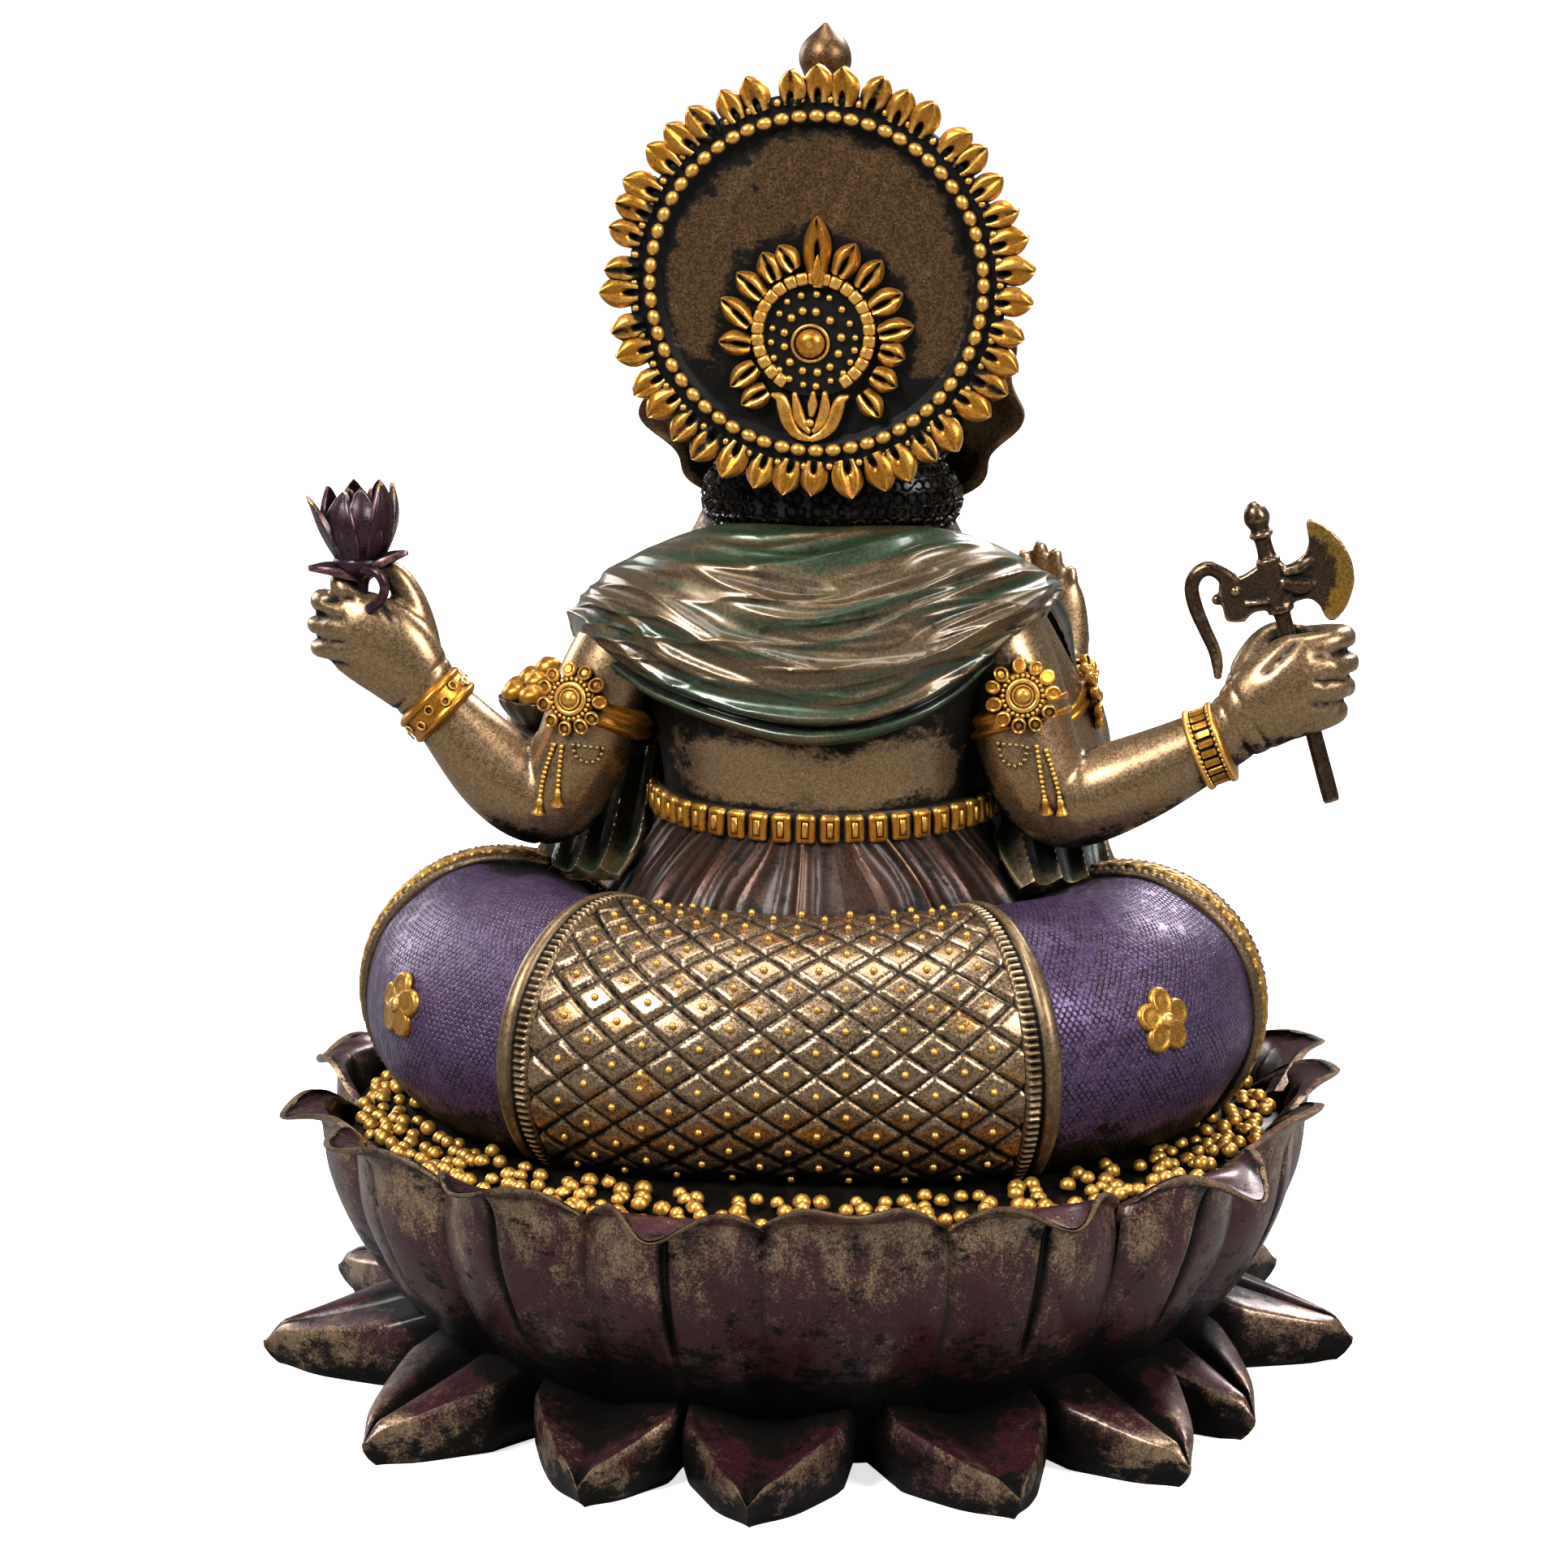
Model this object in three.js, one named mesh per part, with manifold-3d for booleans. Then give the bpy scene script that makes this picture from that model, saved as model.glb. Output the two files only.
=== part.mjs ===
// A cast ganesha figurine on a double lotus, with a separate axe pushed through its raised right fist.
// Millimetres, +Z up. The figure faces -Y, its own left is +X, and the ground is Z = 0.
import * as THREE from 'three';
import { mergeVertices } from 'three/addons/utils/BufferGeometryUtils.js';
import Module from 'manifold-3d';

const wasm = await Module();
wasm.setup();

// Whole figure
const FIGURE_TOP = 200.3;
const BODY_X = -1.8;

// Lotus plinth: [radius, height] of the core
const CORE_PROFILE = [[52, 0], [68.3, 35.5], [66.5, 38.5]];
const GROUND_PETAL = { root: 48, halfWidth: 10.4, tipHeight: 4.6, rootHeight: 16.5, hollow: 2.6 };
// How far each ground petal's tip turns from its root, in degrees, and the tip's reach from the axis
const GROUND_PETAL_TIPS = [
  [-0.8, 80.8], [0.4, 81.7], [-5.6, 82], [-14.7, 76], [-9, 81.4], [-5.5, 82.5], [-5, 82],
  [-3, 81.5], [-2, 82], [-4, 82], [-6, 82.4], [-3.5, 83], [7.1, 83.5], [6.9, 79],
];
const RISING_PETAL_SPINE = [
  // reach from the axis, height, half width, how far the edges draw in, thickness
  [57.5, 9, 9.6, 1.5, 4],
  [68, 21, 11.7, 3.8, 4.5],
  [73.4, 31.5, 12.4, 3.8, 4.5],
  [76, 41.4, 10, 1.6, 3.4],
];
const RISING_PETAL_LIP = { share: 0.5, rise: 0.8, halfWidth: 5.4, drawIn: -0.8, thickness: 2 };
// How far each rising petal's tip turns from its root, in degrees, and the tip's reach and height
const RISING_PETAL_TIPS = [
  [-0.7, 80.5, 44.8], [0.6, 80.5, 40.6], [3.9, 81.5, 38.8], [0, 79.2, 46.6], [0, 78.8, 44.7], [-7, 80.5, 44.2],
  [2, 80, 44], [-3, 80.5, 43], [4, 81, 42], [1, 80, 45], [-4, 80.6, 43], [2, 80.4, 44],
  [-3, 78.5, 41], [3, 80.5, 42], [-0.5, 81, 43.8], [-0.6, 81.3, 43.4], [0.3, 81.6, 40.6],
];
const FIRST_RISING_PETAL = 100.5;

// Legs as limb stations [x, y, z, half width, half thickness]: half a bolster, then the crossed shins
const BOLSTER = [
  [0, 33.4, 55.6, 19.6, 20.8],
  [24, 30.4, 56, 19.8, 20.8],
  [42, 17, 56.6, 19.8, 20.2],
  [46.6, -3, 57, 19.8, 20],
  [43, -22, 54, 17.5, 17.5],
];
const RIGHT_SHIN = [
  [-43, -20, 53, 17, 16.5], [-27, -37, 49, 13, 12.5], [-6, -47, 45.5, 9.6, 9], [14, -49, 44, 7, 6.8],
];
const LEFT_SHIN = [
  [43, -20, 53, 17, 16.5], [30, -33, 48.5, 12.6, 12], [10, -39, 45.5, 9, 8.5], [-10, -42, 43, 7, 6.5],
];

// Torso rings: height, half width, back y, front y
const TORSO = [
  [36, 33, 30, -32],
  [70, 30.5, 30, -39],
  [84, 24.6, 25.6, -43.5],
  [93, 24.4, 24.6, -42.5],
  [101, 27, 25, -37],
  [109, 30, 23, -28],
  [117, 28, 18, -20],
  [124, 21, 14, -15],
  [134, 16, 11.5, -12],
];
const TORSO_SIDES = 14;
const PLEATS = {
  count: 15, depth: 1.4, front: -8,
  top: { z: 85, halfX: 25.6, halfY: 26.8 },
  bottom: { z: 69, halfX: 36.5, halfY: 37.5 },
};
const BELT = { z: 87, halfX: 25.6, halfY: 26.4, links: 18, height: 4.9, depth: 1.8, front: -4 };

// Shawl across the back: three curves from the left shoulder to the right
const SHAWL_NECK = [
  [33, -6, 112], [27.5, 2, 121], [14, 12, 128.4], [-3, 15.5, 129.2], [-20, 12, 128.6], [-31, 3, 123],
  [-37, -5, 118],
];
const SHAWL_MIDDLE = [
  [36, -4, 108], [33.5, 9, 113.5], [19, 21.5, 116], [-2, 25.6, 114], [-21, 21.5, 116], [-33, 10, 118.5],
  [-37.6, -2, 116.5],
];
const SHAWL_HEM = [
  [34.8, 0, 105.5], [30, 13, 105], [16, 24.5, 97.6], [0, 28.6, 95.2], [-16, 25.4, 98.4], [-28.6, 15, 108.4],
  [-37, 0, 115.2],
];
const SHAWL_FOLDS = 6.5;
const FOLD_DEPTH = 1.05;

// Arms as limb stations
const REAR_LEFT_ARM = [
  [22, 4, 116, 8.5, 8.5], [29.4, 8, 105, 7.3, 7.5], [33.6, 9.5, 94, 7, 7.2], [38.4, 9, 87, 6.8, 6.8],
  [45.6, 9, 90.8, 6.8, 6.6], [55.4, 9, 101.4, 4.6, 4.5],
];
const REAR_RIGHT_ARM = [
  [-24, 4, 116, 8.5, 8.5], [-29.6, 8, 105, 7.5, 7.6], [-32.8, 9.5, 94, 7.4, 7.4], [-37.6, 9, 88.4, 7, 7],
  [-48, 9, 91.8, 6.4, 6.4], [-61.5, 9, 98.8, 4.6, 4.5],
];
const FRONT_LEFT_ARM = [
  [23, -4, 113, 8, 8.5], [31, -8, 101, 7, 7], [35.5, -13, 89.5, 6.4, 6.4], [38.5, -22, 86, 5.6, 5.4],
  [42, -30, 87, 4.4, 4],
];
const FRONT_RIGHT_ARM = [
  [-25, -4, 113, 8, 8.5], [-32, -8, 101, 7, 7], [-36.5, -14, 90, 6.4, 6.4], [-37, -22, 92.5, 5.6, 5.4],
  [-34.6, -28, 101.5, 4.4, 3.8],
];
// Bowl and bud: each station is reach and height on a tip, then in the valleys between the tips
const BOWL = {
  x: 45, y: -36.5, z: 87.5, sweets: 6, top: 9.6,
  stations: [[4, 0, 4, 0], [8, 5.2, 8, 5.2], [7.2, 7.2, 5.6, 5.6], [4, 7.4, 3.4, 6.6]],
};
const BUD = {
  x: 66, y: 9, z: 120.6, petals: 8, leafReach: 8.2,
  stations: [
    [1.4, -4.5, 1.2, -4.5], [1.8, -0.4, 1.6, -0.2], [5.6, 5, 4.4, 4.6], [7.4, 12.8, 5, 7.6], [3.6, 6.6, 3.4, 6.4],
  ],
};

// Head, ears, trunk, tusks and crown
const HEAD_X = -2;
const TRUNK = [
  [-2, -18, 146, 10.5, 9], [-2, -26.5, 138, 8.6, 7.8], [-1, -33.5, 127, 7, 6.6], [3, -39, 115, 5.8, 5.6],
  [11, -43.5, 106.5, 4.9, 4.8], [22, -45.5, 102.5, 4.1, 4], [32, -43.5, 102.8, 3.4, 3.3],
  [38.6, -39.5, 100, 2.7, 2.7],
];
const TUSK = [[8, -22, 137, 2.4, 2.4], [11, -30.5, 133, 2, 2], [12, -36, 133.6, 1.2, 1.2]];
const BROKEN_TUSK_SHARE = 0.72;
const EAR_OUTLINE = [
  [8, 157], [15, 160.5], [22, 159], [26.4, 154], [27.6, 148], [25.8, 143.5], [24.6, 139], [20.8, 134.5],
  [17, 130.4], [12, 130], [8, 136],
];
const EAR_THICKNESS = 3;
const EAR_MIDDLE_X = -3;
const CROWN_PROFILE = [
  [18, 153], [18, 160.5], [14.6, 162], [14, 169.5], [10.8, 171], [10.4, 179], [7.4, 180.5], [2.6, 192.6],
];
const CROWN_Y = 3;
const FINIAL_PROFILE = [[2.2, 191.5], [3.7, 195.2], [3.3, 198]];

// Disc behind the head, with a fringe of leaves, and the flower on it
const DISC = {
  x: -2.2, y: 19, z: 164.6, leaves: 42, frontDepth: 0.7,
  rings: [[25, -2.4, 25, -2.4], [30.9, -0.2, 28.2, -0.4], [25.2, 2.3, 25.2, 1.4], [22.2, 0.7, 22.2, 0.7]],
};
const MEDALLION = {
  x: -1.4, y: 21.4, z: 156.2, leaves: 16, frontDepth: 2,
  rings: [[7, -1.6, 7, -1.6], [13.2, -0.4, 10.2, -0.6], [8.8, 1.3, 8.8, 0.7], [6.6, 0.1, 6.6, 0.1]],
  topLeaf: [[8, 1.2, 1.2], [12.6, 2, 1.4], [16.6, 0.4, 0.4]],
  budFoot: 142.3, budDepth: 2.8,
  budOutline: [[-2, 0], [-4.4, 7.4], [-1.6, 5], [0, 7], [1.6, 5], [4.4, 7.4], [2, 0]],
};

// Axe in the raised right fist
const AXE_TOP = [-64, 6.5, 132.6];
const AXE_BOTTOM = [-76.3, 6.5, 88.6];
const SHAFT_RADIUS = 1.25;
const SHAFT_CLEARANCE = 0.3;
const BLADE_THICKNESS = 1.4;
const HUB_THICKNESS = 3.2;

const X_AXIS = new THREE.Vector3(1, 0, 0);
const Y_AXIS = new THREE.Vector3(0, 1, 0);
const Z_AXIS = new THREE.Vector3(0, 0, 1);

const { lerp, clamp, degToRad } = THREE.MathUtils;
const point = ([x, y, z]) => new THREE.Vector3(x, y, z);
const curveThrough = (stations) => new THREE.CatmullRomCurve3(stations.map(point));
const mirrored = (stations) => stations.map(([x, ...rest]) => [-x, ...rest]);

// Signed volume of an indexed triangle mesh
function volumeOf(positions, triangles) {
  const corner = (i) => new THREE.Vector3().fromArray(positions, 3 * triangles[i]);
  let volume = 0;
  for (let i = 0; i < triangles.length; i += 3) {
    volume += corner(i).dot(corner(i + 1).cross(corner(i + 2))) / 6;
  }
  return volume;
}

// A solid for cutting and joining, from any closed geometry
function solidOf(geometry) {
  const bare = geometry.clone();
  bare.deleteAttribute('normal');
  bare.deleteAttribute('uv');
  const merged = mergeVertices(bare, 1e-4);
  const positions = merged.getAttribute('position').array;
  const corners = merged.index.array;
  const triangles = [];
  for (let i = 0; i < corners.length; i += 3) {
    const [a, b, c] = [corners[i], corners[i + 1], corners[i + 2]];
    if (a !== b && b !== c && c !== a) triangles.push(a, b, c);
  }
  if (volumeOf(positions, triangles) < 0) triangles.reverse();
  return new wasm.Manifold(new wasm.Mesh({
    numProp: 3,
    vertProperties: new Float32Array(positions),
    triVerts: new Uint32Array(triangles),
  }));
}

function geometryOf(solid) {
  const mesh = solid.getMesh();
  const geometry = new THREE.BufferGeometry();
  geometry.setAttribute('position', new THREE.BufferAttribute(new Float32Array(mesh.vertProperties), 3));
  geometry.setIndex(new THREE.BufferAttribute(new Uint32Array(mesh.triVerts), 1));
  geometry.computeVertexNormals();
  return geometry;
}

const joined = (solids) => solids.reduce((sum, next) => sum.add(next));

// A closed body through rings of points that all have the same count, with a fan on each end
function loft(rings, firstTip, lastTip) {
  const count = rings[0].length;
  const middle = (ring) => ring.reduce((sum, p) => sum.add(p), new THREE.Vector3()).divideScalar(count);
  const tips = [firstTip ?? middle(rings[0]), lastTip ?? middle(rings[rings.length - 1])];
  const index = [];
  for (let i = 0; i + 1 < rings.length; i++) {
    for (let j = 0; j < count; j++) {
      const a = i * count + j;
      const b = i * count + ((j + 1) % count);
      index.push(a, b, b + count, a, b + count, a + count);
    }
  }
  const lastRing = (rings.length - 1) * count;
  const firstTipIndex = rings.length * count;
  for (let j = 0; j < count; j++) {
    const next = (j + 1) % count;
    index.push(next, j, firstTipIndex);
    index.push(lastRing + j, lastRing + next, firstTipIndex + 1);
  }
  const geometry = new THREE.BufferGeometry().setFromPoints([...rings.flat(), ...tips]);
  geometry.setIndex(index);
  return solidOf(geometry);
}

// A limb of oval section through stations [x, y, z, half width, half thickness]. The width lies along
// `across`, squared to the path. Each end is a low cone, `endShare` of the thickness high.
function limb(stations, { sides = 8, steps = 1, across = X_AXIS, endShare = 0.6 } = {}) {
  const path = new THREE.CatmullRomCurve3(stations.map(point), false, 'catmullrom', 0.5);
  const widths = stations.map(([, , , w, t]) => new THREE.Vector3(w, t, 0));
  const sizes = new THREE.CatmullRomCurve3(widths, false, 'catmullrom', 0.5);
  const last = (stations.length - 1) * steps;
  const rings = [];
  for (let i = 0; i <= last; i++) {
    const along = path.getTangent(i / last);
    const wide = across.clone().addScaledVector(along, -across.dot(along)).normalize();
    const thick = along.clone().cross(wide);
    const size = sizes.getPoint(i / last);
    const ring = [];
    for (let j = 0; j < sides; j++) {
      const turn = (2 * Math.PI * j) / sides;
      const corner = path.getPoint(i / last).addScaledVector(wide, size.x * Math.cos(turn));
      ring.push(corner.addScaledVector(thick, size.y * Math.sin(turn)));
    }
    rings.push(ring);
  }
  const end = (t, way) => {
    const height = endShare * sizes.getPoint(t).y;
    return path.getPoint(t).addScaledVector(path.getTangent(t), way * height);
  };
  return loft(rings, end(0, -1), end(1, 1));
}

// A finger, toe or thumb through stations [x, y, z, radius]
function finger(stations) {
  return limb(stations.map(([x, y, z, r]) => [x, y, z, r, r]), { sides: 4, endShare: 0.9 });
}

// An ellipsoid with its poles up and down
function ellipsoid(centre, half, around = 10, up = 6) {
  const ball = new THREE.SphereGeometry(1, around, up);
  ball.rotateX(Math.PI / 2);
  ball.scale(...half);
  ball.translate(...centre);
  return solidOf(ball);
}

// A body turned about the axis from `from` along `way`, from [radius, distance] points. The last
// point on the axis is `tip` further along than the end of the profile.
function turnedAlong(profile, segments, from, way, tip = 0) {
  const outline = [[0, profile[0][1]], ...profile, [0, profile[profile.length - 1][1] + tip]];
  const lathe = new THREE.LatheGeometry(outline.map(([r, d]) => new THREE.Vector2(r, d)), segments);
  const turn = new THREE.Quaternion().setFromUnitVectors(Y_AXIS, way.clone().normalize());
  lathe.applyMatrix4(new THREE.Matrix4().compose(from, turn, new THREE.Vector3(1, 1, 1)));
  return solidOf(lathe);
}

// A body turned about an upright axis at (x, y), from [radius, height] points
function turned(profile, segments, x = 0, y = 0, tip = 0) {
  return turnedAlong(profile, segments, new THREE.Vector3(x, y, 0), Z_AXIS, tip);
}

// A point of a petal, given as reach from the axis, sideways distance, height and the petal's angle
function petalPoint(reach, sideways, height, angle) {
  const out = new THREE.Vector3(Math.cos(angle), Math.sin(angle), 0);
  const side = new THREE.Vector3(-Math.sin(angle), Math.cos(angle), 0);
  return out.multiplyScalar(reach).addScaledVector(side, sideways).setZ(height);
}

// A petal that lies on the ground: flat below, hollowed above, with raised rims
function groundPetal([turn, reach], index) {
  const { root, halfWidth, tipHeight, rootHeight, hollow } = GROUND_PETAL;
  const rootAngle = Math.PI / 2 + (2 * Math.PI * index) / GROUND_PETAL_TIPS.length;
  const angle = (u) => rootAngle + degToRad(turn) * u;
  const rings = [0, 0.5, 0.86].map((u) => {
    const width = halfWidth * Math.min(1, 1.25 * (1 - u) ** 0.75) + 0.5;
    const rim = lerp(rootHeight, tipHeight, u ** 0.75);
    const middle = rim - hollow * (1 - 0.6 * u);
    const place = (v, height) => petalPoint(lerp(root, reach, u), width * v, height, angle(u));
    return [place(-1, 0), place(-0.85, rim), place(0, middle), place(0.85, rim), place(1, 0)];
  });
  return loft(rings, undefined, petalPoint(reach, 0, tipHeight * 0.5, angle(1)));
}

// A petal that rises against the core and turns outward at its lip
function risingPetal([turn, tipReach, tipHeight], index) {
  const rootAngle = degToRad(FIRST_RISING_PETAL) + (2 * Math.PI * index) / RISING_PETAL_TIPS.length;
  const angle = (share) => rootAngle + degToRad(turn) * share ** 2;
  const lip = RISING_PETAL_LIP;
  const [neckReach, neckHeight] = RISING_PETAL_SPINE[RISING_PETAL_SPINE.length - 1];
  const lipReach = lerp(neckReach, tipReach, lip.share);
  const lipHeight = lerp(neckHeight, tipHeight, lip.share) + lip.rise;
  const spine = [...RISING_PETAL_SPINE, [lipReach, lipHeight, lip.halfWidth, lip.drawIn, lip.thickness]];
  const rings = spine.map(([reach, height, halfWidth, drawIn, thickness], i) => {
    const before = spine[Math.max(0, i - 1)];
    const after = spine[i + 1] ?? [tipReach, tipHeight];
    const rise = new THREE.Vector2(after[0] - before[0], after[1] - before[1]).normalize();
    const place = (v, depth) => {
      const inward = depth + drawIn * v * v;
      const turnedTo = angle(i / spine.length);
      return petalPoint(reach - inward * rise.y, halfWidth * v, height + inward * rise.x, turnedTo);
    };
    return [...[-1, -0.5, 0, 0.5, 1].map((v) => place(v, 0)), place(0, thickness)];
  });
  return loft(rings, undefined, petalPoint(tipReach, 0, tipHeight, angle(1)));
}

function lotus() {
  const petals = [...GROUND_PETAL_TIPS.map(groundPetal), ...RISING_PETAL_TIPS.map(risingPetal)];
  return joined([turned(CORE_PROFILE, RISING_PETAL_TIPS.length), ...petals]);
}

// The wrapped hips, thighs and knees, and the shins that cross in front
function legs() {
  const bolster = [...mirrored(BOLSTER.slice(1)).reverse(), ...BOLSTER];
  return joined([
    limb(bolster, { sides: 12, steps: 2, across: Z_AXIS }),
    limb(RIGHT_SHIN, { sides: 10, across: Z_AXIS }),
    limb(LEFT_SHIN, { sides: 10, across: Z_AXIS }),
  ]);
}

// A foot from heel to toes, its sole turned forward
function foot(heel, toe) {
  const at = (t, w, h) => [...point(heel).lerp(point(toe), t).toArray(), w, h];
  const stations = [at(0, 4.4, 4.6), at(0.45, 4.6, 3.8), at(0.95, 5.6, 2.6), at(1.2, 4.4, 1.8)];
  return limb(stations, { across: Z_AXIS });
}

function torso() {
  const rings = TORSO.map(([height, halfWidth, back, front]) => {
    const ring = [];
    for (let j = 0; j < TORSO_SIDES; j++) {
      const turn = (2 * Math.PI * j) / TORSO_SIDES;
      const reach = Math.sin(turn) > 0 ? back : -front;
      ring.push(new THREE.Vector3(BODY_X + halfWidth * Math.cos(turn), reach * Math.sin(turn), height));
    }
    return ring;
  });
  return loft(rings);
}

// Pleats of the skirt that fan from the belt down onto the bolster, across the back
function skirt() {
  const { count, depth, front, top, bottom } = PLEATS;
  const rings = [0, 0.5, 1].map((fall) => {
    const height = lerp(top.z, bottom.z, fall);
    const ring = [];
    for (let j = 0; j <= 2 * count; j++) {
      const turn = Math.PI * (-0.1 + (1.2 * j) / (2 * count));
      const crest = (j % 2 ? -1 : 1) * depth * (0.4 + 0.6 * fall);
      const reachX = lerp(top.halfX, bottom.halfX, fall ** 1.5) + crest;
      const reachY = lerp(top.halfY, bottom.halfY, fall ** 1.5) + crest;
      ring.push(new THREE.Vector3(BODY_X + reachX * Math.cos(turn), reachY * Math.sin(turn), height));
    }
    ring.push(new THREE.Vector3(BODY_X, front, height));
    return ring;
  });
  return loft(rings);
}

// The belt's links across the back, as one ribbed band
function belt() {
  const { z, halfX, halfY, links, height, depth, front } = BELT;
  const rings = [z - height / 2, z + height / 2].map((level) => {
    const ring = [];
    for (let i = 0; i <= 2 * links; i++) {
      const turn = Math.PI * (0.02 + (0.96 * i) / (2 * links));
      const proud = i % 2 ? depth : 0;
      const sideways = BODY_X + (halfX + proud) * Math.cos(turn);
      ring.push(new THREE.Vector3(sideways, (halfY + proud) * Math.sin(turn), level));
    }
    ring.push(new THREE.Vector3(BODY_X, front, level));
    return ring;
  });
  return loft(rings);
}

// A closed body under rows of points, all of its rim joined to one inner point
function patchTo(inner, rows) {
  const width = rows[0].length;
  const lastRow = (rows.length - 1) * width;
  const index = [];
  for (let j = 0; j + 1 < rows.length; j++) {
    for (let i = 0; i + 1 < width; i++) {
      const a = j * width + i;
      index.push(a, a + 1, a + width + 1, a, a + width + 1, a + width);
    }
  }
  const rim = [];
  for (let i = 0; i < width - 1; i++) rim.push(i);
  for (let j = 0; j < rows.length - 1; j++) rim.push(j * width + width - 1);
  for (let i = width - 1; i > 0; i--) rim.push(lastRow + i);
  for (let j = rows.length - 1; j > 0; j--) rim.push(j * width);
  const innerIndex = rows.length * width;
  rim.forEach((corner, i) => index.push(rim[(i + 1) % rim.length], corner, innerIndex));
  const geometry = new THREE.BufferGeometry().setFromPoints([...rows.flat(), inner]);
  geometry.setIndex(index);
  return solidOf(geometry);
}

// The shawl's outer face across the back, with folds that hang in swags from shoulder to shoulder
function shawl() {
  const across = 12;
  const down = 13;
  const heart = new THREE.Vector3(BODY_X, 2, 112);
  const curves = [SHAWL_NECK, SHAWL_MIDDLE, SHAWL_HEM].map(curveThrough);
  const rows = [];
  for (let j = 0; j <= down; j++) {
    const v = j / down;
    const row = [];
    for (let i = 0; i <= across; i++) {
      const u = i / across;
      const [neck, middle, hem] = curves.map((curve) => curve.getPoint(u));
      const place = neck.multiplyScalar((1 - v) * (1 - 2 * v));
      place.addScaledVector(middle, 4 * v * (1 - v)).addScaledVector(hem, v * (2 * v - 1));
      const out = place.clone().sub(heart);
      out.setZ(0.3 * out.z).normalize();
      const fold = Math.cos(2 * Math.PI * SHAWL_FOLDS * v + 0.8 * Math.sin(Math.PI * u));
      const hang = 0.35 + 0.65 * Math.sin(Math.PI * clamp(u, 0.06, 0.94));
      row.push(place.addScaledVector(out, FOLD_DEPTH * fold * hang));
    }
    rows.push(row);
  }
  return patchTo(heart, rows);
}

// The two ends of the shawl, over the shoulders, down the chest and out onto the thighs
function shawlEnds() {
  const leftEnd = [
    [22, 6, 121, 6, 2.5], [28, -9, 116, 6.5, 2.6], [29, -14, 104, 8, 3], [29.5, -9, 91, 7.5, 3],
    [33, 0, 80.5, 7, 2.8], [38, 8, 76.5, 6.5, 2],
  ];
  const rightEnd = [
    [-26, 6, 121, 6, 2.5], [-32, -8, 116, 6.5, 2.6], [-31.5, -14, 104, 8, 3], [-32, -9, 91, 8, 3],
    [-36.5, 0, 81.5, 8, 2.8], [-42, 7, 76, 8, 2.2],
  ];
  const across = new THREE.Vector3(0.8, -0.6, 0);
  return joined([leftEnd, rightEnd].map((stations) => limb(stations, { sides: 5, across })));
}

// The rear left arm: its finger and thumb pinch the stem of a lotus bud
function rearLeftArm() {
  const palm = [
    [54.5, 9, 100.5, 4.4, 4.2], [60.5, 9.5, 107.5, 6.6, 4.2], [66.5, 9.5, 111.5, 6.4, 3.8],
    [69, 9, 113.5, 5, 3.2],
  ];
  const across = new THREE.Vector3(1, 0, -1);
  const curled = [0, 1, 2].map((i) => {
    const z = 115.6 - 3.4 * i;
    return finger([[67, 9.5, z - 0.5, 1.9], [71.8, 6.5, z + 0.1, 1.9], [67.5, 2.6, z - 1, 1.6]]);
  });
  const pointing = finger([[65, 9.5, 114, 2.1], [68.6, 9.2, 118, 1.9], [67, 7, 120, 1.6]]);
  const thumb = finger([
    [57.5, 7.5, 106, 2.8], [58.8, 6.6, 113, 2.5], [60.8, 6.4, 118, 2], [63, 7, 120, 1.7],
  ]);
  return joined([limb(REAR_LEFT_ARM), limb(palm, { across }), ...curled, pointing, thumb]);
}

// The rear right arm, with its fist closed round the axe
function rearRightArm() {
  const palm = [
    [-60.5, 9, 98.2, 4.4, 4.4], [-66, 10, 103, 6.4, 4.4], [-71.5, 10, 107, 7, 4.2], [-75, 9.4, 109, 5.6, 3.6],
  ];
  const across = new THREE.Vector3(1, 0, 1);
  const curled = [0, 1, 2, 3].map((i) => {
    const z = 112.6 - 3.6 * i;
    return finger([[-70.5, 10.5, z - 0.6, 2.3], [-76.4, 6.2, z, 2.4], [-70.5, 2, z - 0.8, 2]]);
  });
  const thumb = finger([
    [-63.6, 7.5, 102, 3], [-64.6, 4.6, 108, 2.6], [-67.4, 2.4, 111.6, 2.2], [-71.5, 1.4, 110.6, 1.8],
  ]);
  return joined([limb(REAR_RIGHT_ARM), limb(palm, { across }), ...curled, thumb]);
}

// The front right arm: an open hand raised, palm forward
function frontRightArm() {
  const palm = [[-34.6, -28, 101, 4.2, 3.4], [-33.8, -29, 106.5, 5.2, 2.8], [-33.2, -29.4, 111.5, 5, 2.2]];
  const tips = [[-29, 118.8], [-31.4, 120.2], [-33.8, 119.2], [-36.2, 116.6]];
  const fingers = tips.map(([x, z], i) => finger([
    [-30 - 2.2 * i, -29.4, 110, 1.3], [x, -30, z - 1, 1.15],
  ]));
  const thumb = finger([[-30.5, -29, 105, 1.7], [-27.6, -30.4, 109.5, 1.5], [-27.2, -31, 112, 1.2]]);
  return joined([limb(FRONT_RIGHT_ARM), limb(palm), ...fingers, thumb]);
}

// The front left arm: an open hand under a bowl of sweets
function frontLeftArm() {
  const palm = [
    [41, -28, 86.6, 4.4, 3.4], [44, -34, 87, 5.8, 2.4], [46.5, -40, 87.8, 5.4, 2], [47.5, -45, 89.6, 4.6, 1.5],
  ];
  const thumb = finger([[39.5, -31, 87.5, 1.9], [36.6, -36.4, 90, 1.6]]);
  return joined([limb(FRONT_LEFT_ARM), limb(palm), thumb, bowlOfSweets()]);
}

// A bowl heaped with round sweets: its rings hold the reach and height on the sweets, then between them
function bowlOfSweets() {
  const { x, y, z, sweets, stations, top } = BOWL;
  const rings = stations.map((station) => starRing(x, y, z, sweets, station));
  return loft(rings, undefined, new THREE.Vector3(x, y, z + top));
}

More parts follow.
